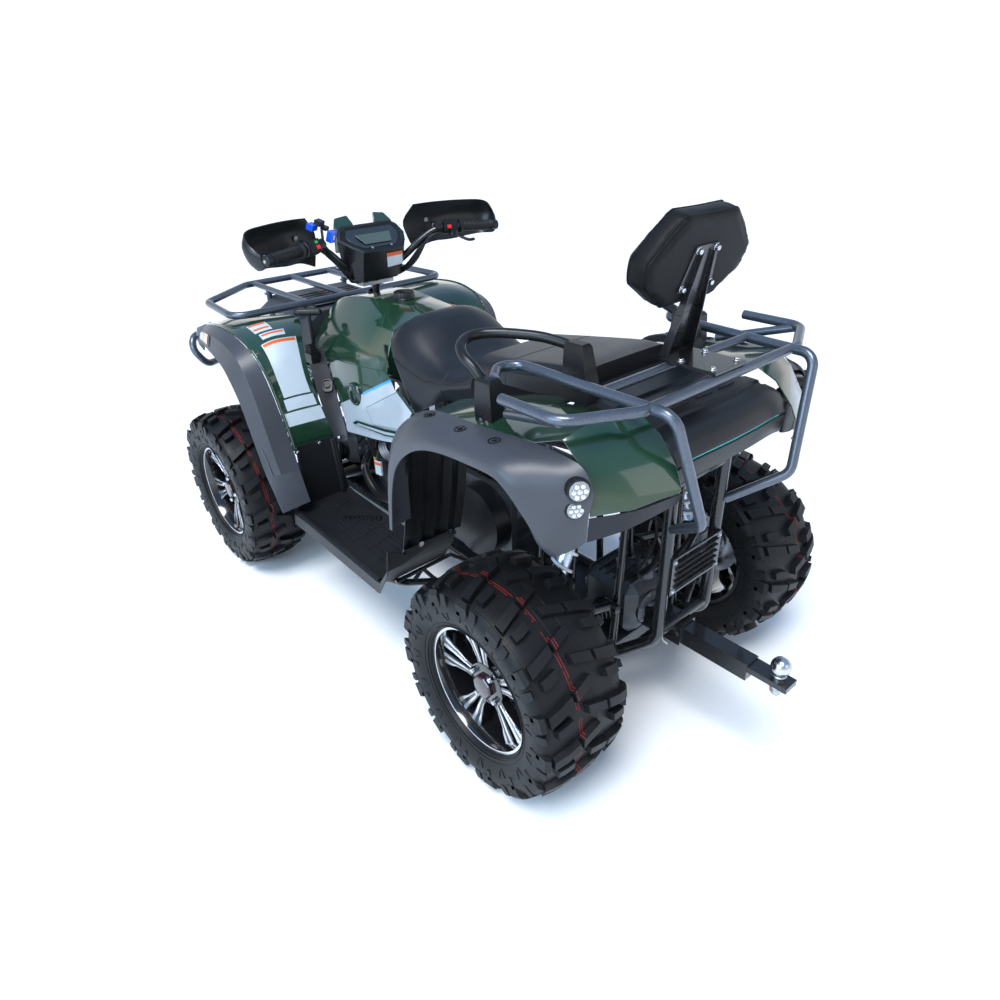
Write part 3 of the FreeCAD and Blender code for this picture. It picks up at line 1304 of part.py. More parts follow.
def backrest_pad():
    """The cushion: an outline with a narrower front and back."""
    foot = at(*PAD_FOOT_SHARES)
    turn = Rotation(LEFTWARD, -PAD_TILT)
    outward = turn.multVec(FORWARD)
    upward = turn.multVec(UP)
    middle_up = s.deck_height * PAD_HALF_HEIGHT_SHARE
    rings = []
    for depth_share, narrowing in pad_level_shares:
        keep_share = 1 - narrowing
        ring = []
        for y_share, up_share in pad_outline_shares:
            up = middle_up + (s.deck_height * up_share - middle_up) * keep_share
            ring.append(foot + outward * s.backrest_depth * depth_share + upward * up
                        + LEFTWARD * s.body_half * y_share * keep_share)
        rings.append(ring)
    return mirrored_solid(rings)


feature("backrest_post", backrest_post())
feature("backrest_pad", backrest_pad())


def tail_lamp():
    """The two round lamps on the left, in one housing that sits on the flare and the valance."""
    line = Vector(-0.86, 0.46, 0.10).normalize()
    pieces = []
    middles = []
    for share, radius in (((-0.1344, 0.876, 0.922), s.lamp_radius),
                          ((-0.1276, 0.872, 0.874), s.lamp_radius * 0.88)):
        face = at(*share)
        pieces.append(rod(face - line * s.lamp_depth, face, radius))
        middles.append(face - line * s.lamp_depth * 0.5)
    pieces.append(rod(middles[0], middles[1], s.lamp_radius * 0.6))
    return fuse(pieces)


lamp = tail_lamp()
for label in ("rear_flares", "rear_fenders", "rear_valances"):
    lamp = lamp.cut(shape_of(label))
lamp = max(lamp.Solids, key=lambda solid: -solid.BoundBox.XMin)
feature("tail_lamps", both_sides(lamp))
head = block(at(1.262, 0.18, 0.640), at(1.285, 0.38, 0.700)).cut(nose)
feature("headlamps", both_sides(head.Solids[0]))

cap_place = at(0.685, 0, 1.0)
cap = rod(cap_place, cap_place + UP * s.deck_height * 0.040, s.cap_radius).cut(tank)
feature("fuel_cap", cap)


LOUVRES = 5


def gear_lever():
    """The lever beside the tank with its knob and its gate on the inner fairing."""
    foot = at(0.850, 0.48, 0.800)
    head = at(0.853, 0.47, 0.955)
    knob = rod(at(0.826, 0.524, 0.975), at(0.890, 0.410, 0.958), s.lever_radius * 1.8)
    gate = block_at(at(0.848, 0.50, 0.811), s.gate_size, s.gate_size * 0.8, s.gate_size * 0.8)
    return fuse([rod(foot, head, s.lever_radius), knob, gate])


lever = gear_lever().cut(shape_of("inner_fairings")).cut(tank).cut(front_fenders)
feature("gear_lever", largest(lever))


def rear_grille():
    """The louvred plate on the rear faces of the rear uprights."""
    post_face_x = at(REAR_POST_SHARE, 0, 0).x - rail_radius - s.seat_gap
    middle = Vector(post_face_x - s.grille_steel / 2, 0, s.deck_height * 0.545)
    width = s.upper_rail_half * 2
    shape = block_at(middle, s.grille_steel, width, s.grille_height)
    for k in range(LOUVRES):
        level = middle + UP * s.grille_height * ((k + 0.5) / LOUVRES - 0.5)
        shape = shape.cut(block_at(level, s.grille_steel * 3, width * 0.8, s.slot_width))
    return shape


feature("rear_grille", rear_grille())


# handlebar body
clamp = on_column(s.bar_clamp_height)


def handlebar():
    half = [
        clamp,
        Vector(clamp.x, s.body_half * 0.17, clamp.z),
        at(0.755, 0.47, 1.205) + Vector(0, 0, clamp.z - s.deck_height * 1.088),
        at(0.711, 0.872, 1.198) + Vector(0, 0, clamp.z - s.deck_height * 1.088),
    ]
    left_bar = tube(half, s.bar_tube, s.rack_bend * 0.9)
    riser = rod(clamp - column_line * s.bar_tube * 1.2, clamp + column_line * s.bar_tube, s.bar_tube)
    bar = fuse([left_bar, other_side(left_bar), riser])
    return bar.cut(rod(column_foot, clamp, s.column_radius + s.shaft_gap)), half[-2:]


bar, (bend, tip) = handlebar()
feature("handlebar", bar)
bar_line = (tip - bend).normalize()
grip = rod(tip - bar_line * s.grip_length, tip + bar_line * s.rim_wall, s.grip_radius)
switch_box = rod(tip - bar_line * s.grip_length * 1.35, tip - bar_line * s.grip_length, s.grip_radius * 1.35)
bar_core = rod(tip - bar_line * s.grip_length * 2, tip, s.bar_tube / 2 + s.shaft_gap)
feature("hand_controls", both_sides(fuse([grip, switch_box]).cut(bar_core)))

# the pod's levels, each from the rider's side forwards
pod_shares = [
    [(0.778, 0.136, 1.057), (0.786, 0.188, 1.064), (0.805, 0.212, 1.080), (0.820, 0.196, 1.100),
     (0.828, 0.160, 1.112)],
    [(0.763, 0.152, 1.112), (0.780, 0.216, 1.124), (0.802, 0.252, 1.142), (0.819, 0.228, 1.168),
     (0.826, 0.184, 1.180)],
    [(0.752, 0.156, 1.160), (0.774, 0.224, 1.178), (0.799, 0.268, 1.197), (0.815, 0.244, 1.222),
     (0.821, 0.200, 1.236)],
]
pod = mirrored_solid([points(row) for row in pod_shares])
for piece in (bar, shape_of("steering_column")):
    pod = pod.cut(piece)
feature("instrument_pod", largest(pod))

# hand guards: rows from the inner end outwards, each from the top down
guard_shares = [
    [(0.830, 0.430, 1.276), (0.842, 0.356, 1.222), (0.838, 0.372, 1.170), (0.829, 0.406, 1.120)],
    [(0.815, 0.544, 1.279), (0.829, 0.524, 1.232), (0.823, 0.524, 1.180), (0.808, 0.536, 1.146)],
    [(0.799, 0.664, 1.280), (0.814, 0.670, 1.240), (0.806, 0.666, 1.185), (0.790, 0.660, 1.150)],
    [(0.783, 0.792, 1.279), (0.797, 0.804, 1.240), (0.790, 0.800, 1.190), (0.775, 0.790, 1.158)],
    [(0.769, 0.896, 1.276), (0.779, 0.916, 1.236), (0.775, 0.904, 1.190), (0.763, 0.880, 1.163)],
    [(0.758, 0.944, 1.266), (0.758, 0.968, 1.232), (0.756, 0.948, 1.190), (0.747, 0.912, 1.165)],
    [(0.741, 0.948, 1.240), (0.736, 0.956, 1.222), (0.735, 0.940, 1.192), (0.729, 0.912, 1.168)],
    [(0.722, 0.916, 1.214), (0.717, 0.920, 1.208), (0.716, 0.914, 1.192), (0.715, 0.900, 1.176)],
]
guard = panel([points(row_shares) for row_shares in guard_shares], s.guard_plastic)
holds = [
    rod(tip + bar_line * s.rim_wall, at(0.719, 0.920, 1.20), s.bar_tube / 3),
    rod(bend, at(0.824, 0.530, 1.20), s.bar_tube / 3),
]
guard = fuse([guard] + holds)
for piece in (grip, switch_box, bar):
    guard = guard.cut(piece)
feature("hand_guards", both_sides(largest(guard)))

doc.recompute()

faults = [obj.Label for obj in doc.Objects if "Invalid" in obj.State or "Error" in obj.State]
for part in parts:
    if part.Shape.isNull() or not part.Shape.isValid():
        faults.append(part.Label)
if faults:
    raise SystemExit("these objects failed: " + ", ".join(faults))

os.makedirs("parts", exist_ok=True)
for part in parts:
    part.Shape.exportStep("parts/%s.step" % part.Label)
    print(part.Label, len(part.Shape.Solids), round(part.Shape.Volume / 1000), "cm3")
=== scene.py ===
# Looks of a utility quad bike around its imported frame.
# Metres, X forward, Y to the rider's left, Z up, the origin on the ground below the middle of the length.

import math

import bmesh
import bpy
from mathutils import Matrix, Vector


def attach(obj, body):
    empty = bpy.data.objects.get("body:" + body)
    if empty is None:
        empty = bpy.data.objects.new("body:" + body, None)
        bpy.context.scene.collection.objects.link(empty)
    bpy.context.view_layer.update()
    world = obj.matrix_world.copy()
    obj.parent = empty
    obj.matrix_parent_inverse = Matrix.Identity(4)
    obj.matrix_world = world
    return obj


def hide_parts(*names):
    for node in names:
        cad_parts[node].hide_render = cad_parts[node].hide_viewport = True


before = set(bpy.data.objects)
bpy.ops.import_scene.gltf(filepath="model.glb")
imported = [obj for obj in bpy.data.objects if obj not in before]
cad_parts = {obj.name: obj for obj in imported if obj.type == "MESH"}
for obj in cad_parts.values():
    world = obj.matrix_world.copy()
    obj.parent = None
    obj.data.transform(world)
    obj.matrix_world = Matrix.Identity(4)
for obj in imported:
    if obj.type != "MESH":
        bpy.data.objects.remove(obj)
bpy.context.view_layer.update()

WHEELBASE = 1.480
REAR_AXLE = -0.7175
FRONT_AXLE = REAR_AXLE + WHEELBASE
HALF = 0.5
AXLE_HEIGHT = 0.306


def at(x_share, y_share, z):
    """A point of the body: shares of the wheelbase from the rear axle and of half the body, and a height."""
    return Vector((REAR_AXLE + WHEELBASE * x_share, HALF * y_share, z))


def mirrored(point):
    return Vector((point[0], -point[1], point[2]))


def on_side(side):
    """A function that makes points on the left side (1) or on the right side (-1)."""
    return lambda x, y, z: Vector((x, y * side, z))


# Materials

def shader(name, colour, roughness=0.5, metallic=0.0, coat=0.0, sheen=0.0, specular=0.5):
    """A new material with a plain principled shader, and its node tree."""
    material = bpy.data.materials.new(name)
    material.use_nodes = True
    tree = material.node_tree
    principled = tree.nodes["Principled BSDF"]
    principled.inputs["Base Color"].default_value = (*colour, 1)
    principled.inputs["Roughness"].default_value = roughness
    principled.inputs["Metallic"].default_value = metallic
    principled.inputs["Coat Weight"].default_value = coat
    principled.inputs["Coat Roughness"].default_value = 0.04
    principled.inputs["Sheen Weight"].default_value = sheen
    principled.inputs["Specular IOR Level"].default_value = specular
    return material, tree, principled


def node(tree, kind, inputs=None, **settings):
    made = tree.nodes.new(kind)
    for key, value in settings.items():
        setattr(made, key, value)
    for key, value in (inputs or {}).items():
        if isinstance(value, bpy.types.NodeSocket):
            tree.links.new(value, made.inputs[key])
        else:
            made.inputs[key].default_value = value
    return made


def place_of(tree):
    return node(tree, "ShaderNodeTexCoord").outputs["Object"]


def noise_of(tree, scale, detail=4.0, roughness=0.55, vector=None):
    vector = vector or place_of(tree)
    return node(tree, "ShaderNodeTexNoise", {"Vector": vector, "Scale": scale, "Detail": detail,
        "Roughness": roughness}).outputs["Fac"]


def ramp(tree, fac, stops):
    made = node(tree, "ShaderNodeValToRGB", {"Fac": fac})
    elements = made.color_ramp.elements
    while len(elements) < len(stops):
        elements.new(0.5)
    for element, (place, colour) in zip(elements, stops):
        element.position = place
        element.color = (*colour, 1)
    return made.outputs["Color"]


def to_range(tree, fac, low, high):
    return node(tree, "ShaderNodeMapRange", {"Value": fac, "To Min": low, "To Max": high}).outputs["Result"]


def bump(tree, principled, height, strength, distance=0.001, chain=None):
    inputs = {"Height": height, "Strength": strength, "Distance": distance}
    if chain is not None:
        inputs["Normal"] = chain
    made = node(tree, "ShaderNodeBump", inputs)
    tree.links.new(made.outputs["Normal"], principled.inputs["Normal"])
    return made.outputs["Normal"]


def varied(tree, principled, colour, amount, scale):
    """A slightly uneven tone over the surface."""
    low = tuple(c * (1 - amount) for c in colour)
    high = tuple(min(1, c * (1 + amount)) for c in colour)
    tone = ramp(tree, noise_of(tree, scale), [(0.3, low), (0.7, high)])
    tree.links.new(tone, principled.inputs["Base Color"])


def toned(name, colour, roughness, tone, amount, scale, metallic=0.0, coat=0.0):
    """A plain material whose tone varies slightly over the surface."""
    material, tree, principled = shader(name, colour, roughness, metallic, coat)
    varied(tree, principled, tone, amount, scale)
    return material


def moulded(name, colour, roughness=0.5, grain=900, strength=0.12, spread=0.06, specular=0.5):
    """Moulded plastic with a fine grain and slightly uneven gloss."""
    material, tree, principled = shader(name, colour, roughness, specular=specular)
    varied(tree, principled, colour, 0.12, 6)
    tree.links.new(to_range(tree, noise_of(tree, 14), roughness - spread, roughness + spread),
        principled.inputs["Roughness"])
    cells = node(tree, "ShaderNodeTexVoronoi", {"Vector": place_of(tree), "Scale": grain}).outputs["Distance"]
    bump(tree, principled, cells, strength, 0.0004)
    return material


def painted(name, colour, roughness=0.35, metallic=0.0, coat=0.3, ripple=0.03, flake=0.0, specular=0.5):
    """Paint with a faint ripple, and with metal flakes where it is metallic."""
    material, tree, principled = shader(name, colour, roughness, metallic, coat, specular=specular)
    varied(tree, principled, colour, 0.1 + flake, 5 if not flake else 420)
    tree.links.new(to_range(tree, noise_of(tree, 30), roughness * 0.85, roughness * 1.15),
        principled.inputs["Roughness"])
    bump(tree, principled, noise_of(tree, 9, 2.0), ripple, 0.004)
    return material


def vinyl(name, colour, roughness, grain, specular=0.36):
    """Grained seat vinyl: wrinkle cells over fine pores."""
    material, tree, principled = shader(name, colour, roughness, sheen=0.04, specular=specular)
    varied(tree, principled, colour, 0.2, 20)
    tree.links.new(to_range(tree, noise_of(tree, 8), roughness - 0.07, roughness + 0.08),
        principled.inputs["Roughness"])
    cells = node(tree, "ShaderNodeTexVoronoi", {"Vector": place_of(tree), "Scale": grain},
        feature="DISTANCE_TO_EDGE").outputs["Distance"]
    first = bump(tree, principled, cells, 0.35, 0.0006)
    bump(tree, principled, noise_of(tree, 60, 6.0), 0.12, 0.001, first)
    return material


def rubber(name, colour, roughness=0.55):
    material, tree, principled = shader(name, colour, roughness, specular=0.24)
    varied(tree, principled, colour, 0.3, 9)
    tree.links.new(to_range(tree, noise_of(tree, 22, 5.0), roughness - 0.13, roughness + 0.12),
        principled.inputs["Roughness"])
    bump(tree, principled, noise_of(tree, 260, 5.0), 0.14, 0.001)
    return material


def metal(name, colour, roughness, brushed=0.0, cast=0.0, varied_by=0.15):
    material, tree, principled = shader(name, colour, roughness, metallic=1.0)
    varied(tree, principled, colour, varied_by, 25)
    tree.links.new(to_range(tree, noise_of(tree, 40, 6.0), roughness * 0.75, roughness * 1.3),
        principled.inputs["Roughness"])
    if cast:
        bump(tree, principled, noise_of(tree, 330, 4.0), cast, 0.0012)
    if brushed:
        stretched = node(tree, "ShaderNodeMapping", {"Vector": place_of(tree), "Scale": (1, 60, 1)})
        lines = noise_of(tree, 40, 3.0, vector=stretched.outputs["Vector"])
        bump(tree, principled, lines, brushed, 0.0005)
    return material


def tyre_rubber():
    """Black rubber with two thin red lines round the tread, as new tyres carry them."""
    material = rubber("tyre_rubber", (0.0072, 0.0076, 0.0086), 0.48)
    tree = material.node_tree
    principled = tree.nodes["Principled BSDF"]
    base = principled.inputs["Base Color"].links[0].from_socket
    across = node(tree, "ShaderNodeSeparateXYZ", {"Vector": place_of(tree)}).outputs["Y"]
    mask = None
    for place in (0.030, 0.037):
        off = node(tree, "ShaderNodeMath", {0: across, 1: place}, operation="SUBTRACT").outputs[0]
        size = node(tree, "ShaderNodeMath", {0: off}, operation="ABSOLUTE").outputs[0]
        line = node(tree, "ShaderNodeMath", {0: size, 1: 0.0007}, operation="LESS_THAN").outputs[0]
        mask = line if mask is None else node(tree, "ShaderNodeMath", {0: mask, 1: line},
            operation="MAXIMUM").outputs[0]
    worn = node(tree, "ShaderNodeMath", {0: noise_of(tree, 30), 1: 0.47}, operation="GREATER_THAN").outputs[0]
    mask = node(tree, "ShaderNodeMath", {0: mask, 1: worn}, operation="MULTIPLY").outputs[0]
    mixed = node(tree, "ShaderNodeMix", {"Factor": mask}, data_type="RGBA")
    tree.links.new(base, mixed.inputs["A"])
    mixed.inputs["B"].default_value = (0.32, 0.02, 0.02, 1)
    tree.links.new(mixed.outputs["Result"], principled.inputs["Base Color"])
    return material


def lens(name, colour, roughness):
    """Dark glass with a fine moulded pattern."""
    material, tree, principled = shader(name, colour, roughness, coat=1.0)
    lines = node(tree, "ShaderNodeTexVoronoi", {"Vector": place_of(tree), "Scale": 160}).outputs["Distance"]
    bump(tree, principled, lines, 0.3, 0.002)
    return material


GREEN_TONE = (0.0105, 0.038, 0.019)
GREEN = painted("green_gloss", GREEN_TONE, 0.16, coat=1.0, ripple=0.05)
CHARCOAL = moulded("charcoal_plastic", (0.042, 0.045, 0.054), 0.40)
VALANCE = moulded("valance_plastic", (0.012, 0.013, 0.016), 0.36, specular=0.3)
SATIN = moulded("satin_plastic", (0.0075, 0.0078, 0.0088), 0.32, grain=1400, strength=0.05, specular=0.4)
TRAY = moulded("tray_plastic", (0.0095, 0.010, 0.0115), 0.36, grain=1100, strength=0.08, specular=0.4)
VINYL = vinyl("seat_vinyl", (0.0080, 0.0090, 0.0125), 0.38, 700)
PAD_VINYL = vinyl("pad_vinyl", (0.0036, 0.0037, 0.0042), 0.50, 420, 0.16)
RACK = painted("rack_paint", (0.105, 0.122, 0.152), 0.34, 0.7, 0.4, 0.01, flake=0.2)
BLACK = painted("black_paint", (0.008, 0.008, 0.009), 0.28, 0.0, 0.5, 0.05)
CAST = metal("cast_alloy", (0.42, 0.43, 0.45), 0.42, cast=0.5)
STEEL = metal("bright_steel", (0.62, 0.63, 0.66), 0.2)
ZINC = metal("zinc_steel", (0.5, 0.5, 0.52), 0.32, cast=0.1)
MACHINED = metal("machined_alloy", (0.74, 0.75, 0.78), 0.24, brushed=0.15)
RIM_BLACK = painted("rim_black", (0.006, 0.006, 0.007), 0.16, 0.0, 1.0, 0.02)
ENGINE = metal("engine_castings", (0.12, 0.125, 0.135), 0.5, cast=0.6)
SPRING = painted("spring_white", (0.72, 0.74, 0.78), 0.22, 0.0, 0.8, 0.0)
SHOCK = metal("shock_silver", (0.55, 0.62, 0.72), 0.25)
TYRE = tyre_rubber()
GRIP = rubber("grip_rubber", (0.012, 0.012, 0.012), 0.5)
HOSE = rubber("hose_rubber", (0.008, 0.008, 0.008), 0.4)


# Mesh tools

def link(name, mesh, material, body):
    piece = bpy.data.objects.new(name, mesh)
    bpy.context.scene.collection.objects.link(piece)
    for each in material if isinstance(material, (list, tuple)) else [material]:
        mesh.materials.append(each)
    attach(piece, body)
    return piece


def smooth(mesh, angle=35):
    """Smooth shading, with edges kept sharp where faces meet at more than the angle."""
    mesh.polygons.foreach_set("use_smooth", [True] * len(mesh.polygons))
    if angle < 180:
        mesh.set_sharp_from_angle(angle=math.radians(angle))


def from_lists(name, vertices, faces, angle=35, indices=None):
    mesh = bpy.data.meshes.new(name)
    mesh.from_pydata([tuple(v) for v in vertices], [], faces)
    mesh.validate()
    built = bmesh.new()
    built.from_mesh(mesh)
    bmesh.ops.recalc_face_normals(built, faces=built.faces)
    built.to_mesh(mesh)
    built.free()
    if indices:
        mesh.polygons.foreach_set("material_index", indices)
    smooth(mesh, angle)
    return mesh


def bevelled(piece, width, segments=2, angle=30):
    modifier = piece.modifiers.new("bevel", "BEVEL")
    modifier.width = width
    modifier.segments = segments
    modifier.limit_method = "ANGLE"
    modifier.angle_limit = math.radians(angle)
    modifier.harden_normals = True
    return piece


class Shape:
    """Collects vertices and faces of one piece."""

    def __init__(self):
        self.vertices = []
        self.faces = []
        self.indices = []

    def add(self, vertices, faces, index=0):
        start = len(self.vertices)
        self.vertices += [Vector(v) for v in vertices]
        self.faces += [tuple(start + k for k in face) for face in faces]
        self.indices += [index] * len(faces)

    def prism(self, low_ring, high_ring, index=0, caps=True):
        count = len(low_ring)
        faces = [(k, (k + 1) % count, count + (k + 1) % count, count + k) for k in range(count)]
        if caps:
            faces += [tuple(reversed(range(count))), tuple(range(count, count * 2))]
        self.add(list(low_ring) + list(high_ring), faces, index)

    def box(self, low, high, index=0):
        low, high = Vector(low), Vector(high)
        ring = [(low.x, low.y), (high.x, low.y), (high.x, high.y), (low.x, high.y)]
        self.prism(*([Vector((x, y, z)) for x, y in ring] for z in (low.z, high.z)), index)

    def loft(self, rings, index=0, caps=True, closed=False):
        """Skins rings of equal count."""
        count = len(rings[0])
        faces = []
        runs = len(rings) if closed else len(rings) - 1
        for i in range(runs):
            for k in range(count):
                a = i * count
                b = (i + 1) % len(rings) * count
                faces.append((a + k, a + (k + 1) % count, b + (k + 1) % count, b + k))
        if caps and not closed:
            faces += [tuple(reversed(range(count))), tuple(range((len(rings) - 1) * count,
                len(rings) * count))]
        self.add([p for ring in rings for p in ring], faces, index)

    def turned(self, start, line, profile, count=24, index=0, caps=True):
        """A turned shape: the profile lists places along the line and radii."""
        side, up = across(line)
        rings = []
        for place, radius in profile:
            middle = Vector(start) + Vector(line).normalized() * place
            rings.append([middle + (side * math.cos(a) + up * math.sin(a)) * radius
                for a in (2 * math.pi * k / count for k in range(count))])
        self.loft(rings, index, caps)

    def rod(self, start, end, radius, count=20, index=0, round_over=0.0):
        length = (Vector(end) - Vector(start)).length
        r = round_over
        profile = [(0, radius), (length, radius)]
        if r:
            profile = [(0, radius - r), (r, radius), (length - r, radius), (length, radius - r)]
        self.turned(start, Vector(end) - Vector(start), profile, count, index)

    def tube(self, route, radius, index=0, count=14, steps=6, closed=False, flat=None):
        """A bent tube through its points: their own smooth curve, with even rings."""
        path = curve(route, steps, closed)
        rings = []
        up = None
        for k, point in enumerate(path):
            ahead = path[(k + 1) % len(path)] if closed or k + 1 < len(path) else point
            behind = path[k - 1] if closed or k else point
            line = (ahead - behind).normalized()
            up = across(line)[1] if up is None else (up - line * up.dot(line)).normalized()
            side = line.cross(up)
            wide, tall = flat or (radius, radius)
            rings.append([point + side * math.cos(a) * wide + up * math.sin(a) * tall
                for a in (2 * math.pi * j / count for j in range(count))])
        self.loft(rings, index, True, closed)

    def bolt(self, place, line, radius=0.006, height=0.004, index=0):
        """A flanged hexagon bolt's head on a surface."""
        line = Vector(line).normalized()
        self.turned(place, line, [(0, radius * 1.35), (height * 0.3, radius * 1.3)], 16, index)
        self.turned(place, line, [(height * 0.3, radius), (height, radius), (height * 1.15, radius * 0.8)], 6,
            index)

    def build(self, name, material, body, angle=35, bevel=0.0, segments=2):
        mesh = from_lists(name, self.vertices, self.faces, angle, self.indices)
        piece = link(name, mesh, material, body)
        if bevel:
            bevelled(piece, bevel, segments)
        return piece


def across(line):
    """Two directions square to a line and to each other."""
    line = Vector(line).normalized()
    helper = Vector((0, 0, 1)) if abs(line.z) < 0.9 else Vector((1, 0, 0))
    side = line.cross(helper).normalized()
    return side, side.cross(line).normalized()


def spline_point(a, b, c, d, t):
    """A point of the smooth curve that runs from b to c."""
    return 0.5 * ((b * 2) + (c - a) * t + (a * 2 - b * 5 + c * 4 - d) * t * t
        + (b * 3 - a - c * 3 + d) * t * t * t)


def curve(route, steps, closed=False):
    """A smooth curve through the points."""
    route = [Vector(p) for p in route]
    count = len(route)
    if count == 2 or steps == 1:
        return route
    made = []
    for k in range(count if closed else count - 1):
        if closed:
            a, b, c, d = (route[(k + j - 1) % count] for j in range(4))
        else:
            b, c = route[k], route[k + 1]
            a = route[k - 1] if k else b * 2 - c
            d = route[k + 2] if k + 2 < count else c * 2 - b
        made += [spline_point(a, b, c, d, t / steps) for t in range(steps)]
    if not closed:
        made.append(route[-1])
    return made


def rounded(route, bend, steps=6):
    """The route of a bent tube: straight runs joined by arcs of one bend radius."""
    route = [Vector(p) for p in route]
    made = [route[0]]
    for before, corner, after in zip(route, route[1:], route[2:]):
        inward = (before - corner).normalized()
        outward = (after - corner).normalized()
        turn = math.pi - inward.angle(outward)
        reach = min(bend * math.tan(turn / 2), (before - corner).length * 0.49,
            (after - corner).length * 0.49)
        start, finish = corner + inward * reach, corner + outward * reach
        for k in range(steps + 1):
            t = k / steps
            made.append(start * (1 - t) ** 2 + corner * 2 * t * (1 - t) + finish * t * t)
    return made + [route[-1]]


def surface(rows, along=4, beside=4):
    """A smooth grid of points through rows of points."""
    fine = [curve(row, beside) for row in rows]
    columns = [curve([row[k] for row in fine], along) for k in range(len(fine[0]))]
    return [[column[i] for column in columns] for i in range(len(columns[0]))]


def sheet(shape, rows, thickness, index=0):
    """A moulded sheet: its outer face runs through the rows, and its edge is closed."""
    last_row, last = len(rows) - 1, len(rows[0]) - 1
    inner = []
    for i, row in enumerate(rows):
        line = []
        for j, point in enumerate(row):
            along = rows[min(i + 1, last_row)][j] - rows[max(i - 1, 0)][j]
            beside = row[min(j + 1, last)] - row[max(j - 1, 0)]
            normal = along.cross(beside)
            normal = normal.normalized() if normal.length > 1e-12 else Vector((0, 0, 1))
            line.append(point - normal * thickness)
        inner.append(line)
    width = last + 1
    count = width * (last_row + 1)
    faces = []
    for i in range(last_row):
        for j in range(last):
            a = i * width + j
            faces.append((a, a + 1, a + width + 1, a + width))
            faces.append((count + a, count + a + width, count + a + width + 1, count + a + 1))
    edge = [(0, j) for j in range(width)] + [(i, last) for i in range(1, last_row + 1)]
    edge += [(last_row, j) for j in range(last - 1, -1, -1)] + [(i, 0) for i in range(last_row - 1, 0, -1)]
    for (i, j), (k, m) in zip(edge, edge[1:] + edge[:1]):
        faces.append((i * width + j, k * width + m, count + k * width + m, count + i * width + j))
    shape.add([p for row in rows + inner for p in row], faces, index)


def sheet_piece(name, tables, thickness, material, along=4, beside=4, body="chassis", bevel=0.0015,
        angle=40):
    """A moulded sheet on the left and its mirror image on the right."""
    shape = Shape()
    for table in tables:
        rows = [[Vector(p) for p in row] for row in table]
        for side in (1, -1):
            grid = surface(rows, along, beside)
            if side < 0:
                grid = [[mirrored(p) for p in row] for row in grid]
            sheet(shape, grid, thickness * side)
    return shape.build(name, material, body, angle, bevel)


def shares(table):
    return [[at(*p) for p in row] for row in table]


# Wheels: each is built about its own centre, with its axle along Y and the outside towards +Y

BEAD = 0.178
TYRE_RADIUS = 0.306
PITCHES = 15


def carcass_line(width):
    """The section from the outer bead over the tread's middle to the inner bead, as (across, radius)."""
    half = width / 2
    one = [(half * 0.80, 0.1775), (half * 0.875, 0.182), (half * 0.90, 0.192), (half * 0.955, 0.212),
        (half * 0.985, 0.235), (half * 0.975, 0.255), (half * 0.90, 0.271), (half * 0.74, 0.2795),
        (half * 0.50, 0.2845), (half * 0.25, 0.2875)]
    whole = [Vector((a, r, 0)) for a, r in one] + [Vector((0, 0.2885, 0))]
    whole += [Vector((-a, r, 0)) for a, r in reversed(one)]
    return curve(whole, 4)


def on_section(line, share):
    """The point and normal at a share from the tread's middle (0) to the outer (1) or inner (-1) bead."""
    place = (1 - share) / 2 * (len(line) - 1)
    k = min(int(place), len(line) - 2)
    t = place - k
    point = line[k] * (1 - t) + line[k + 1] * t
    along = (line[k + 1] - line[k]).normalized()
    normal = Vector((-along.y, along.x, 0))
    return point, normal if normal.y + normal.x * point.x * 4 > 0 else -normal


def around(point, angle):
    """A section point (across, radius) turned to its angle about the axle."""
    return Vector((point.y * math.cos(angle), point.x, point.y * math.sin(angle)))


def lug(shape, line, stations, side, angle, half_width):
    """A tread block: stations give share of the section, place round the tyre, half length and height."""
    rings = []
    for share, place, wide, height in stations:
        point, normal = on_section(line, share * side)
        radius = max(point.y, 0.05)
        turn = angle + place / radius
        reach = wide / radius
        foot = point - normal * 0.004
        tip = point + normal * height
        limit = TYRE_RADIUS - 0.0003
        if tip.y > limit:
            tip = Vector((tip.x, limit, 0))
        if abs(tip.x) > half_width:
            tip = Vector((math.copysign(half_width, tip.x), tip.y, 0))
        rings.append([around(foot, turn - reach * 1.16), around(tip, turn - reach), around(tip, turn + reach),
            around(foot, turn + reach * 1.16)])
    # the ends slope down to the carcass
    first, last = rings[0], rings[-1]
    inward = (rings[1][1] - first[1]).normalized() * 0.0035
    outward = (last[1] - rings[-2][1]).normalized() * 0.003
    first[1], first[2] = first[1] + inward, first[2] + inward
    last[1], last[2] = last[1] - outward, last[2] - outward
    if side < 0:
        rings.reverse()
    shape.loft(rings, 0, True)


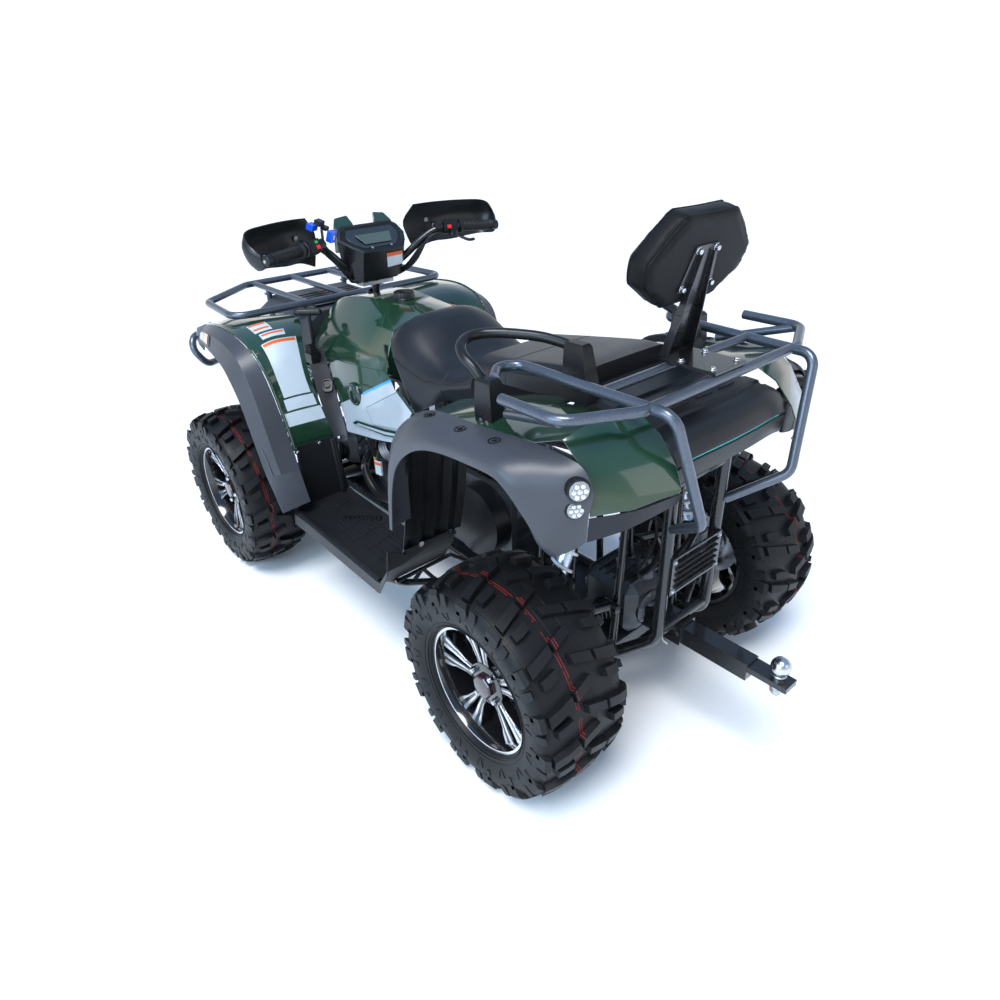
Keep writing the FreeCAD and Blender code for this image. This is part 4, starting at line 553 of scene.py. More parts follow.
# Blocks of one pitch, as stations of share of the section, place round the tyre, half length and height:
# the long bar in two parts, the forked shoulder block, the short block, the small shoulder block, and two
# raised lines on the sidewall
TREAD_BLOCKS = [
    [(-0.05, -0.030, 0.0110, 0.0190), (0.10, -0.014, 0.0115, 0.0190), (0.125, -0.011, 0.0118, 0.0190)],
    [(0.135, -0.010, 0.0118, 0.0190), (0.25, 0.003, 0.0125, 0.0185), (0.36, 0.013, 0.0135, 0.0175)],
    [(0.375, 0.012, 0.0170, 0.0175), (0.44, 0.014, 0.0195, 0.0165), (0.50, 0.014, 0.0200, 0.0110),
     (0.57, 0.012, 0.0165, 0.0070)],
    [(0.50, 0.0035, 0.0070, 0.0120), (0.60, 0.0005, 0.0062, 0.0065), (0.66, -0.001, 0.0050, 0.0035)],
    [(0.17, 0.040, 0.0105, 0.0185), (0.25, 0.0465, 0.0115, 0.0180), (0.315, 0.049, 0.0105, 0.0178)],
    [(0.40, 0.0540, 0.0095, 0.0165), (0.48, 0.0540, 0.0110, 0.0125), (0.545, 0.0525, 0.0085, 0.0070)],
    [(0.60, 0.050, 0.0022, 0.0022), (0.67, 0.044, 0.0020, 0.0020), (0.72, 0.036, 0.0015, 0.0015)],
    [(0.62, 0.024, 0.0022, 0.0022), (0.68, 0.026, 0.0020, 0.0020), (0.74, 0.033, 0.0015, 0.0015)],
]


def tyre_mesh(width):
    """Carcass with sidewall ribs, and the directional tread."""
    line = carcass_line(width)
    shape = Shape()
    count = 120

    def hoop(point):
        return [around(point, 2 * math.pi * k / count) for k in range(count)]

    rings = [hoop(p) for p in line]
    shape.loft(rings, 0, False)
    # bead faces close the inside
    for k in (0, -1):
        shape.loft([rings[k], hoop(Vector((line[k].x * 0.97, 0.174, 0)))], 0, False)
    half = width / 2 - 0.0006
    step = 2 * math.pi / PITCHES
    for k in range(PITCHES):
        for side, offset in ((1, 0.0), (-1, 0.5)):
            angle = (k + offset) * step
            for stations in TREAD_BLOCKS:
                lug(shape, line, stations, side, angle, half)
    # rim guards and moulding lines, each a ridge between two places on the section
    ridges = []
    for share, wide, height in ((0.86, 0.008, 0.003), (-0.86, 0.008, 0.003), (0.78, 0.003, 0.0012),
            (-0.78, 0.003, 0.0012)):
        ridges.append([(share - wide * 1.5, -0.001), (share - wide, height), (share + wide, height),
            (share + wide * 1.5, -0.001)])
    for share in (0.055, -0.055, 0.37, -0.37):
        ridges.append([(share - 0.004, -0.0005), (share, 0.0009), (share + 0.004, -0.0005)])
    for ridge in ridges:
        placed = [(on_section(line, share), height) for share, height in ridge]
        shape.loft([hoop(point + normal * height) for (point, normal), height in placed], 0, False)
    return from_lists("tyre_%d" % round(width * 1000), shape.vertices, shape.faces, 30)


SPOKES = 5


def bar(shape, angle, route, depth, index):
    """A machined bar on a spoke: stations of (radius, sideways, half width, height)."""
    rings = []
    for radius, sideways, wide, height in route:
        outward = Vector((math.cos(angle), 0, math.sin(angle)))
        beside = Vector((-math.sin(angle), 0, math.cos(angle)))
        middle = outward * radius + beside * sideways
        rings.append([middle + beside * (-wide * 1.15) + Vector((0, height - depth, 0)),
            middle + beside * -wide + Vector((0, height, 0)), middle + beside * wide + Vector((0, height, 0)),
            middle + beside * (wide * 1.15) + Vector((0, height - depth, 0))])
    shape.loft(rings, index, True)


def rim_mesh(width):
    """Barrel, five split spokes with machined bars, hub, centre cap, wheel nuts and valve."""
    half = width * 0.4
    face = half - 0.030
    shape = Shape()
    black, bright, cap, chrome, hose = 0, 1, 2, 3, 4
    outer = BEAD - 0.0011
    count = 72
    axis = Vector((0, 1, 0))
    barrel = [(-half, outer - 0.011), (-half, outer), (-half + 0.004, outer), (-half + 0.02, outer - 0.006),
        (half - 0.03, outer - 0.006), (half - 0.006, outer - 0.001), (half, outer)]
    shape.turned((0, 0, 0), axis, barrel, count, black, False)
    lip = [(half, outer), (half + 0.0008, outer - 0.0015), (half + 0.0008, outer - 0.0065),
        (half, outer - 0.008)]
    shape.turned((0, 0, 0), axis, lip, count, bright, False)
    inside = [(half, outer - 0.008), (half - 0.006, outer - 0.0105), (half - 0.02, outer - 0.0135),
        (half - 0.045, outer - 0.019), (-half + 0.03, outer - 0.024), (-half, outer - 0.011)]
    shape.turned((0, 0, 0), axis, inside, count, black, False)
    for k in range(SPOKES):
        angle = 2 * math.pi * k / SPOKES + math.pi / 2
        # black bodies of the two arms
        for s in (1, -1):
            bar(shape, angle, [(0.040, s * 0.010, 0.0105, face - 0.006),
                (0.085, s * 0.0135, 0.0095, face - 0.004), (0.125, s * 0.0225, 0.0150, face - 0.001),
                (outer - 0.012, s * 0.0330, 0.0215, face + 0.004)], 0.026, black)
            # long machined bar
            bar(shape, angle, [(0.062, s * 0.0085, 0.0012, face - 0.0040),
                (0.090, s * 0.0105, 0.0032, face - 0.0015), (0.128, s * 0.0165, 0.0046, face + 0.0025),
                (outer - 0.0125, s * 0.0185, 0.0056, face + 0.0065)], 0.006, bright)
            # thin machined edge beside the dark pocket
            bar(shape, angle, [(0.078, s * 0.0195, 0.0012, face - 0.0030),
                (0.115, s * 0.0290, 0.0016, face + 0.0000), (0.128, s * 0.0345, 0.0040, face + 0.0028),
                (outer - 0.0125, s * 0.0445, 0.0064, face + 0.0065)], 0.006, bright)
    hub = [(face - 0.098, 0.030), (face - 0.098, 0.046), (face - 0.040, 0.048), (face - 0.012, 0.062),
        (face - 0.004, 0.060), (face - 0.002, 0.052), (face - 0.002, 0.0)]
    shape.turned((0, 0, 0), axis, hub, 48, black, True)
    # the cap is an octagon with rounded corners
    cap_rings = []
    for place, radius in ((face - 0.003, 0.0315), (face + 0.010, 0.0315), (face + 0.014, 0.028),
            (face + 0.0155, 0.018), (face + 0.0160, 0.001)):
        ring = []
        for a in (2 * math.pi * j / 32 for j in range(32)):
            w = 1 / max(abs(math.cos((a + math.pi / 8) % (math.pi / 4) - math.pi / 8)), 0.93)
            ring.append(Vector((math.cos(a) * radius * w, place, math.sin(a) * radius * w)))
        cap_rings.append(ring)
    shape.loft(cap_rings, cap, True)
    for k in range(4):
        angle = 2 * math.pi * k / 4 + math.pi / 4
        place = Vector((math.cos(angle) * 0.048, face - 0.006, math.sin(angle) * 0.048))
        shape.turned(place, axis, [(0, 0.0105), (0.003, 0.0105)], 20, chrome)
        shape.turned(place, axis, [(0.003, 0.0092), (0.013, 0.0092), (0.0175, 0.0065), (0.0185, 0.002)], 6,
            chrome)
    valve = Vector((math.cos(0.9) * 0.150, half - 0.03, math.sin(0.9) * 0.150))
    shape.turned(valve, Vector((-0.6, 0.75, -0.6)), [(0, 0.005), (0.012, 0.0045), (0.014, 0.003),
        (0.028, 0.003)], 12, hose)
    # brake disc and drum behind the spokes
    disc = [(face - 0.085, 0.105), (face - 0.081, 0.105), (face - 0.081, 0.060)]
    shape.turned((0, 0, 0), axis, disc, 48, chrome, True)
    return from_lists("rim_%d" % round(width * 1000), shape.vertices, shape.faces, 25, shape.indices)


# End, tyre width, axle and track
WHEEL_PAIRS = (("front", 0.225, FRONT_AXLE, 1.011), ("rear", 0.277, REAR_AXLE, 0.903))
# How far each pair is turned about its axle, in degrees
WHEEL_TURN = {"front": 38, "rear": 11}


def wheels():
    cap_paint = painted("cap_red_black", (0.022, 0.006, 0.007), 0.2, coat=1.0)
    for end, width, axle_x, track in WHEEL_PAIRS:
        tyre_data, rim_data = tyre_mesh(width), rim_mesh(width)
        tyre_data.materials.append(TYRE)
        for material in (RIM_BLACK, MACHINED, cap_paint, STEEL, HOSE):
            rim_data.materials.append(material)
        for side_name, side in (("left", 1), ("right", -1)):
            for kind, data, slot in (("tyre", tyre_data, "tyre_rubber"), ("rim", rim_data, "rim_alloy")):
                piece = bpy.data.objects.new("%s_%s_%s_look" % (side_name, end, kind), data)
                bpy.context.scene.collection.objects.link(piece)
                piece.location = (axle_x, track / 2 * side, AXLE_HEIGHT)
                spin = Matrix.Rotation(math.radians(WHEEL_TURN[end]), 4, "Y")
                if side < 0:
                    spin = Matrix.Rotation(math.pi, 4, "Z") @ spin
                piece.rotation_euler = spin.to_euler()
                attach(piece, "%s_%s_wheel" % (side_name, end))
                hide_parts("%s_%s_%s" % (side_name, end, kind))
                if kind == "tyre":
                    bevelled(piece, 0.0016, 1, 38)
                else:
                    bevelled(piece, 0.0006, 1, 30)


wheels()


# Bodywork. Rows run along the machine: shares of the wheelbase, of half the body, and the height.

FRONT_FENDER = [
    [(0.740, 0.60, 0.562), (0.742, 0.78, 0.562), (0.742, 0.91, 0.562)],
    [(0.740, 0.60, 0.590), (0.742, 0.78, 0.592), (0.742, 0.91, 0.595)],
    [(0.765, 0.66, 0.780), (0.765, 0.82, 0.785), (0.765, 0.95, 0.780)],
    [(0.805, 0.62, 0.895), (0.800, 0.82, 0.905), (0.800, 0.98, 0.885)],
    [(0.878, 0.52, 0.942), (0.878, 0.80, 0.945), (0.878, 0.99, 0.930)],
    [(0.980, 0.52, 0.935), (0.980, 0.80, 0.942), (0.980, 0.98, 0.932)],
    [(1.081, 0.52, 0.905), (1.081, 0.76, 0.918), (1.081, 0.94, 0.905)],
    [(1.182, 0.50, 0.850), (1.182, 0.70, 0.865), (1.182, 0.87, 0.860)],
    [(1.250, 0.48, 0.780), (1.250, 0.64, 0.790), (1.240, 0.78, 0.790)],
]
FRONT_FLARE = [
    [(0.692, 0.91, 0.392), (0.692, 1.03, 0.390), (0.692, 1.12, 0.388)],
    [(0.722, 0.91, 0.500), (0.728, 1.04, 0.500), (0.750, 1.12, 0.500)],
    [(0.742, 0.915, 0.600), (0.748, 1.05, 0.600), (0.770, 1.13, 0.600)],
    [(0.765, 0.955, 0.780), (0.772, 1.07, 0.770), (0.800, 1.14, 0.740)],
    [(0.800, 0.985, 0.885), (0.808, 1.08, 0.865), (0.838, 1.14, 0.815)],
    [(0.878, 0.995, 0.930), (0.880, 1.07, 0.905), (0.890, 1.12, 0.845)],
    [(0.980, 0.985, 0.932), (0.980, 1.05, 0.910), (0.975, 1.09, 0.860)],
    [(1.081, 0.945, 0.905), (1.081, 1.00, 0.885), (1.075, 1.03, 0.850)],
    [(1.182, 0.875, 0.860), (1.182, 0.93, 0.840), (1.170, 0.96, 0.810)],
    [(1.240, 0.785, 0.790), (1.245, 0.84, 0.775), (1.235, 0.87, 0.750)],
]
REAR_FLARE = [
    [(0.267, 0.910, 0.600), (0.265, 1.000, 0.600), (0.262, 1.056, 0.598), (0.252, 1.060, 0.598)],
    [(0.265, 0.910, 0.720), (0.262, 1.000, 0.718), (0.252, 1.060, 0.715), (0.238, 1.064, 0.712)],
    [(0.256, 0.900, 0.845), (0.252, 1.000, 0.840), (0.233, 1.066, 0.820), (0.216, 1.070, 0.800)],
    [(0.233, 0.890, 0.915), (0.225, 1.000, 0.905), (0.198, 1.070, 0.880), (0.181, 1.074, 0.858)],
    [(0.177, 0.880, 0.952), (0.172, 1.000, 0.945), (0.147, 1.074, 0.920), (0.133, 1.080, 0.900)],
    [(0.079, 0.874, 0.962), (0.079, 1.000, 0.958), (0.076, 1.076, 0.944), (0.074, 1.084, 0.922)],
    [(0.001, 0.874, 0.972), (0.001, 1.000, 0.966), (0.001, 1.076, 0.952), (0.001, 1.084, 0.930)],
    [(-0.056, 0.870, 0.978), (-0.052, 0.990, 0.969), (-0.048, 1.070, 0.950), (-0.044, 1.080, 0.928)],
    [(-0.100, 0.860, 0.975), (-0.093, 0.960, 0.958), (-0.076, 1.056, 0.925), (-0.068, 1.070, 0.905)],
    [(-0.140, 0.850, 0.962), (-0.127, 0.930, 0.935), (-0.093, 1.030, 0.885), (-0.080, 1.044, 0.870)],
    [(-0.160, 0.850, 0.915), (-0.147, 0.900, 0.895), (-0.104, 1.000, 0.840), (-0.090, 1.010, 0.828)],
    [(-0.152, 0.846, 0.850), (-0.142, 0.880, 0.840), (-0.111, 0.970, 0.790), (-0.098, 0.976, 0.778)],
    [(-0.148, 0.840, 0.790), (-0.140, 0.860, 0.775), (-0.120, 0.916, 0.752), (-0.110, 0.930, 0.745)],
]
REAR_VALANCE = [
    [(-0.152, 0.840, 0.848), (-0.149, 0.836, 0.788)],
    [(-0.191, 0.690, 0.862), (-0.184, 0.690, 0.815)],
    [(-0.215, 0.470, 0.875), (-0.208, 0.470, 0.845)],
]
REAR_FENDER = [
    [(0.223, 0.370, 0.900), (0.223, 0.620, 0.925), (0.223, 0.870, 0.915)],
    [(0.147, 0.370, 0.938), (0.147, 0.630, 0.958), (0.147, 0.866, 0.945)],
    [(0.068, 0.370, 0.962), (0.068, 0.640, 0.978), (0.068, 0.862, 0.958)],
    [(0.031, 0.370, 0.970), (0.031, 0.644, 0.984), (0.031, 0.860, 0.962)],
    [(0.027, 0.444, 0.972), (0.027, 0.650, 0.986), (0.027, 0.860, 0.963)],
    [(-0.049, 0.444, 0.990), (-0.049, 0.660, 1.006), (-0.049, 0.856, 0.975)],
    [(-0.127, 0.448, 1.010), (-0.111, 0.680, 1.028), (-0.094, 0.830, 0.998)],
    [(-0.165, 0.456, 0.985), (-0.147, 0.684, 0.990), (-0.123, 0.832, 0.965)],
    [(-0.198, 0.464, 0.930), (-0.176, 0.690, 0.925), (-0.149, 0.834, 0.900)],
    [(-0.214, 0.472, 0.880), (-0.191, 0.694, 0.866), (-0.152, 0.836, 0.852)],
]
SIDE_PANEL = [
    [(0.821, 0.421, 0.832), (0.806, 0.450, 0.790), (0.772, 0.466, 0.700), (0.736, 0.482, 0.573)],
    [(0.755, 0.454, 0.826), (0.736, 0.464, 0.745), (0.729, 0.476, 0.690), (0.731, 0.486, 0.573)],
    [(0.654, 0.445, 0.838), (0.654, 0.468, 0.745), (0.654, 0.480, 0.690), (0.662, 0.486, 0.590)],
    [(0.593, 0.424, 0.844), (0.593, 0.464, 0.760), (0.596, 0.480, 0.690), (0.600, 0.486, 0.605)],
    [(0.571, 0.416, 0.845), (0.546, 0.452, 0.790), (0.535, 0.472, 0.710), (0.530, 0.486, 0.628)],
    [(0.537, 0.436, 0.815), (0.515, 0.446, 0.775), (0.505, 0.464, 0.710), (0.492, 0.480, 0.645)],
    [(0.492, 0.436, 0.738), (0.478, 0.444, 0.730), (0.468, 0.464, 0.700), (0.451, 0.476, 0.660)],
    [(0.427, 0.436, 0.760), (0.424, 0.444, 0.742), (0.417, 0.460, 0.710), (0.410, 0.472, 0.680)],
]
INNER_FAIRING = [
    [(0.823, 0.422, 0.836), (0.883, 0.500, 0.845)],
    [(0.809, 0.458, 0.793), (0.867, 0.508, 0.775)],
    [(0.775, 0.474, 0.700), (0.826, 0.540, 0.690)],
    [(0.752, 0.486, 0.630), (0.792, 0.560, 0.620)],
    [(0.735, 0.496, 0.573), (0.772, 0.580, 0.560)],
    [(0.733, 0.500, 0.540), (0.758, 0.586, 0.530)],
]
# Covers: each row runs from the top outwards and down
TANK = [
    [(0.570, 0.150, 1.000), (0.570, 0.330, 0.970), (0.570, 0.396, 0.885), (0.570, 0.410, 0.840)],
    [(0.669, 0.160, 1.015), (0.669, 0.320, 0.962), (0.669, 0.400, 0.900), (0.669, 0.444, 0.830)],
    [(0.755, 0.170, 1.018), (0.755, 0.310, 0.948), (0.755, 0.400, 0.887), (0.755, 0.448, 0.820)],
    [(0.850, 0.180, 0.995), (0.850, 0.300, 0.932), (0.850, 0.380, 0.872), (0.850, 0.444, 0.815)],
    [(0.905, 0.170, 0.962), (0.905, 0.284, 0.918), (0.905, 0.364, 0.862), (0.905, 0.410, 0.815)],
]
RIDER_SEAT = [
    [(0.555, 0.060, 1.008), (0.558, 0.160, 1.004), (0.562, 0.290, 0.985), (0.565, 0.360, 0.950),
     (0.551, 0.388, 0.905), (0.525, 0.396, 0.850), (0.505, 0.398, 0.795), (0.489, 0.398, 0.752)],
    [(0.535, 0.060, 1.020), (0.537, 0.160, 1.015), (0.540, 0.290, 0.993), (0.542, 0.380, 0.950),
     (0.531, 0.412, 0.900), (0.509, 0.420, 0.845), (0.490, 0.420, 0.790), (0.475, 0.408, 0.750)],
    [(0.498, 0.060, 1.012), (0.500, 0.180, 1.003), (0.501, 0.310, 0.975), (0.502, 0.392, 0.930),
     (0.493, 0.416, 0.885), (0.478, 0.424, 0.840), (0.465, 0.422, 0.795), (0.455, 0.408, 0.760)],
    [(0.438, 0.060, 0.955), (0.438, 0.180, 0.950), (0.438, 0.310, 0.930), (0.438, 0.380, 0.895),
     (0.434, 0.404, 0.865), (0.429, 0.412, 0.835), (0.424, 0.408, 0.808), (0.421, 0.396, 0.790)],
    [(0.383, 0.060, 0.918), (0.383, 0.180, 0.916), (0.383, 0.300, 0.906), (0.383, 0.364, 0.890),
     (0.383, 0.386, 0.875), (0.383, 0.394, 0.862), (0.383, 0.392, 0.852), (0.383, 0.380, 0.842)],
    [(0.326, 0.060, 0.922), (0.326, 0.180, 0.920), (0.326, 0.300, 0.914), (0.326, 0.360, 0.903),
     (0.326, 0.380, 0.893), (0.326, 0.386, 0.885), (0.326, 0.384, 0.879), (0.326, 0.376, 0.873)],
    [(0.292, 0.060, 0.945), (0.292, 0.180, 0.944), (0.292, 0.300, 0.938), (0.292, 0.360, 0.926),
     (0.292, 0.376, 0.914), (0.292, 0.382, 0.904), (0.292, 0.380, 0.897), (0.292, 0.372, 0.890)],
]
PASSENGER_SEAT = [
    [(0.288, 0.200, 0.985), (0.288, 0.300, 0.978), (0.288, 0.350, 0.960), (0.288, 0.360, 0.935)],
    [(0.201, 0.220, 1.003), (0.201, 0.310, 0.998), (0.201, 0.356, 0.978), (0.201, 0.364, 0.940)],
    [(0.079, 0.240, 1.030), (0.079, 0.310, 1.024), (0.079, 0.344, 1.000), (0.079, 0.352, 0.950)],
    [(0.028, 0.230, 1.035), (0.028, 0.300, 1.028), (0.028, 0.332, 1.005), (0.028, 0.340, 0.955)],
]
# The covers stand on the frame's rails: the height of their floor and half its width
ON_RAILS = 0.7935
RAIL_CLEARANCE = 0.127


def half_sheet(name, rows, thickness, material, replaced, along=4, beside=3, angle=32, bevel=0.0012):
    piece = sheet_piece(name, [shares(rows)], thickness, material, along, beside, angle=angle,
        bevel=bevel)
    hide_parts(replaced)


def full_rows(rows):
    """Rows that run from the left edge over the top to the right edge."""
    return [list(reversed(row)) + [mirrored(p) for p in row] for row in shares(rows)]


def closed_cover(name, rows, floor, half, material, along=4, beside=1, angle=30, bevel=0.003):
    """A closed cover over a floor: its outer face runs through the rows."""
    shape = Shape()
    rings = []
    for line in surface(full_rows(rows), along, beside):
        left, right = line[0], line[-1]
        rings.append(line + [Vector((right.x, -half, floor(right.x))), Vector((left.x, half, floor(left.x)))])
    shape.loft(rings, caps=False)
    count = len(rings[0]) - 2
    for ring in (rings[0], rings[-1]):
        faces = [(j, j + 1, count - 2 - j, count - 1 - j) for j in range(count // 2 - 1)]
        shape.add(ring, faces + [(0, count - 1, count, count + 1)])
    mesh = from_lists(name, shape.vertices, shape.faces, angle)
    built = bmesh.new()
    built.from_mesh(mesh)
    bmesh.ops.remove_doubles(built, verts=built.verts, dist=1e-6)
    bmesh.ops.recalc_face_normals(built, faces=built.faces)
    built.to_mesh(mesh)
    built.free()
    smooth(mesh, angle)
    piece = link(name, mesh, material, "chassis")
    bevelled(piece, bevel, 4, 40)
    return piece


def seat_floor(x):
    """The top of the seat's base."""
    share = (x - REAR_AXLE) / WHEELBASE
    if share > 0.140:
        return 0.931 - 0.005 * (share - 0.140) / 0.148
    return 0.946 - 0.015 * (share - 0.026) / 0.114


half_sheet("front_fender_skins", FRONT_FENDER, 0.004, GREEN, "front_fenders")
half_sheet("front_flare_skins", FRONT_FLARE, 0.005, CHARCOAL, "front_flares", beside=1)
half_sheet("rear_fender_skins", REAR_FENDER, -0.004, GREEN, "rear_fenders", beside=1,
    along=1)
half_sheet("rear_flare_skins", REAR_FLARE, -0.005, CHARCOAL, "rear_flares")
half_sheet("rear_valance_skins", REAR_VALANCE, -0.004, VALANCE, "rear_valances", beside=1)
half_sheet("inner_fairing_skins", INNER_FAIRING, -0.004, CHARCOAL, "inner_fairings",
    beside=2)
tank_skin = closed_cover("tank_cover_skin", TANK, lambda _: ON_RAILS, RAIL_CLEARANCE, GREEN)
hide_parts("tank_cover")


# Seats: vinyl over foam, with a welt along each side and a seam across

def seats():
    rider = closed_cover("rider_cushion", RIDER_SEAT, lambda _: ON_RAILS, RAIL_CLEARANCE, VINYL,
        along=7, beside=5, angle=70, bevel=0.010)
    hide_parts("rider_seat")
    passenger = closed_cover("passenger_cushion", PASSENGER_SEAT, seat_floor, 0.100, VINYL,
        along=7, beside=5, angle=70, bevel=0.010)
    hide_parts("passenger_seat")
    welts = Shape()
    for rows, column in ((RIDER_SEAT, 4), (PASSENGER_SEAT, 2)):
        line = [row[column] for row in shares(rows)]
        for side in (1, -1):
            welts.tube([Vector((p.x, p.y * side, p.z)) for p in line], 0.0022, count=8, steps=7)
    # the seam between the cushion's top and its front
    for rows, index in ((RIDER_SEAT, 4), (RIDER_SEAT, 6), (PASSENGER_SEAT, 1)):
        line = curve(full_rows(rows)[index], 5)
        welts.tube([p + Vector((0, 0, -0.0004)) for p in line], 0.0012, count=6, steps=1)
    welts.build("seat_welts", VINYL, "chassis", 60)


seats()


# Tail: tray, backrest, hand rails and lamps

CYAN = (0.06, 0.62, 0.66)


def tail_tray():
    """The luggage floor behind the seat: raised steps that follow the curved rear edge, and a thin strip."""
    profile = [(-0.655, 0.953, 0.175), (-0.690, 0.992, 0.182), (-0.700, 0.9985, 0.186),
        (-0.790, 1.0015, 0.200), (-0.812, 1.0015, 0.204), (-0.818, 0.9945, 0.205), (-0.826, 0.9945, 0.206),
        (-0.831, 0.9975, 0.207), (-0.866, 0.9965, 0.211), (-0.872, 0.9890, 0.212), (-0.880, 0.9888, 0.213),
        (-0.885, 0.9915, 0.213), (-0.920, 0.9895, 0.216), (-0.926, 0.9815, 0.217), (-0.934, 0.9810, 0.217),
        (-0.939, 0.9835, 0.218), (-0.965, 0.9780, 0.219), (-0.980, 0.9700, 0.220), (-0.992, 0.9560, 0.220),
        (-1.0015, 0.9360, 0.219), (-1.0045, 0.9300, 0.219), (-1.0045, 0.9270, 0.219),
        (-1.0005, 0.9255, 0.219), (-1.0005, 0.9215, 0.219), (-1.0055, 0.9200, 0.219),
        (-1.0040, 0.9000, 0.217), (-0.9990, 0.8760, 0.214), (-0.9900, 0.8700, 0.210),
        (-0.9600, 0.8720, 0.200), (-0.9000, 0.8900, 0.190), (-0.7000, 0.8900, 0.180),
        (-0.6550, 0.9000, 0.175)]
    columns = 25
    strip_rows = (21, 22)
    shape = Shape()
    grid = []
    for x, z, half in profile:
        row = []
        for k in range(columns):
            y = (k / (columns - 1) * 2 - 1)
            bow = (1 - y * y) * 0.016 * max(0.0, min(1.0, (-0.72 - x) / 0.12))
            fall = abs(y) ** 6 * 0.010
            row.append(Vector((x - bow, y * half, z - fall + (1 - y * y) * 0.004)))
        grid.append(row)
    count = len(grid)
    vertices = [p for row in grid for p in row]
    faces = []
    indices = []
    for i in range(count):
        for j in range(columns - 1):
            a, b = i * columns + j, (i + 1) % count * columns + j
            faces.append((a, a + 1, b + 1, b))
            indices.append(1 if i in strip_rows and 2 <= j <= columns - 4 else 0)
    for j in (0, columns - 1):
        faces.append(tuple(i * columns + j for i in range(count)))
        indices.append(0)
    shape.add(vertices, faces)
    shape.indices = indices
    # short moulded ribs across the steps
    for y in (-0.115, -0.03, 0.06, 0.14):
        shape.box((-0.862, y - 0.03, 0.996), (-0.856, y + 0.03, 1.0035))
    for y in (-0.09, 0.0, 0.09):
        shape.box((-0.912, y - 0.03, 0.990), (-0.906, y + 0.03, 0.9975))
    cyan = toned("cyan_strip", CYAN, 0.25, CYAN, 0.05, 20, coat=0.6)
    piece = shape.build("tail_tray_moulding", [TRAY, cyan], "chassis", 28)
    bevelled(piece, 0.0012, 2, 28)
    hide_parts("tail_tray")


def crowned_pad(name, outline, normal, depth, material):
    """A pad's closed body: an outline on its base plane, drawn in at the base and more at the face."""
    normal = Vector(normal).normalized()
    inset = 0.006
    middle = sum(outline, Vector()) / len(outline)
    levels = [(0.0, inset * 1.5), (0.25, inset * 0.6), (0.5, inset * 0.5), (0.85, inset * 0.9),
        (1.0, inset * 2.6)]
    shape = Shape()
    shape.loft([[p + (middle - p).normalized() * pull + normal * depth * share for p in outline]
        for share, pull in levels])
    piece = bpy.data.objects.new(name, from_lists(name, shape.vertices, shape.faces, 180))
    bpy.context.scene.collection.objects.link(piece)
    piece.data.materials.append(material)
    return piece


CLOTH_STEPS = 18
CLOTH_CACHE_END = 20


def soften(piece, voxel, pressure, cap):
    """Swells a pad by a cloth simulation, and caps how far each point may move."""
    remesh = piece.modifiers.new("even", "REMESH")
    remesh.mode = "VOXEL"
    remesh.voxel_size = voxel
    apply_modifiers(piece)
    rest = [v.co.copy() for v in piece.data.vertices]
    cloth = piece.modifiers.new("cloth", "CLOTH")
    cloth.settings.use_pressure = True
    cloth.settings.uniform_pressure_force = pressure
    cloth.settings.effector_weights.gravity = 0
    cloth.settings.quality = 5
    cloth.settings.tension_stiffness = 30
    cloth.settings.compression_stiffness = 30
    cloth.settings.shear_stiffness = 15
    cloth.point_cache.frame_start, cloth.point_cache.frame_end = 1, CLOTH_CACHE_END
    for step in range(1, CLOTH_STEPS + 1):
        bpy.context.scene.frame_set(step)
    apply_modifiers(piece)
    bpy.context.scene.frame_set(1)
    for vertex, before in zip(piece.data.vertices, rest):
        move = vertex.co - before
        if move.length > cap:
            vertex.co = before + move.normalized() * cap
    smooth(piece.data, 180)


def apply_modifiers(piece):
    graph = bpy.context.evaluated_depsgraph_get()
    mesh = bpy.data.meshes.new_from_object(piece.evaluated_get(graph))
    piece.modifiers.clear()
    piece.data = mesh


def folded_ring(x, half, flange, z, sheet_steel=0.0035):
    """The section of the folded post: a web and two flanges behind it."""
    return [Vector((a, b, z)) for a, b in (
        (x, -half), (x, half), (x - flange, half), (x - flange, half - sheet_steel),
        (x - sheet_steel, half - sheet_steel), (x - sheet_steel, sheet_steel - half),
        (x - flange, sheet_steel - half), (x - flange, -half))]


PAD_TILT = math.radians(14)
PAD_FOOT = Vector((-0.8374, 0, 1.190))


def on_pad(y, up, out):
    """A place on the backrest: sideways, up its back face and out from it towards the rider."""
    lean = Vector((-math.sin(PAD_TILT), 0, math.cos(PAD_TILT)))
    front = Vector((math.cos(PAD_TILT), 0, math.sin(PAD_TILT)))
    return PAD_FOOT + lean * up + front * out + Vector((0, y, 0))


PAD_OUTLINE = [(0.0, 0.003), (0.095, 0.003), (0.182, 0.062), (0.192, 0.115), (0.146, 0.165), (0.095, 0.208),
    (0.0, 0.208)]


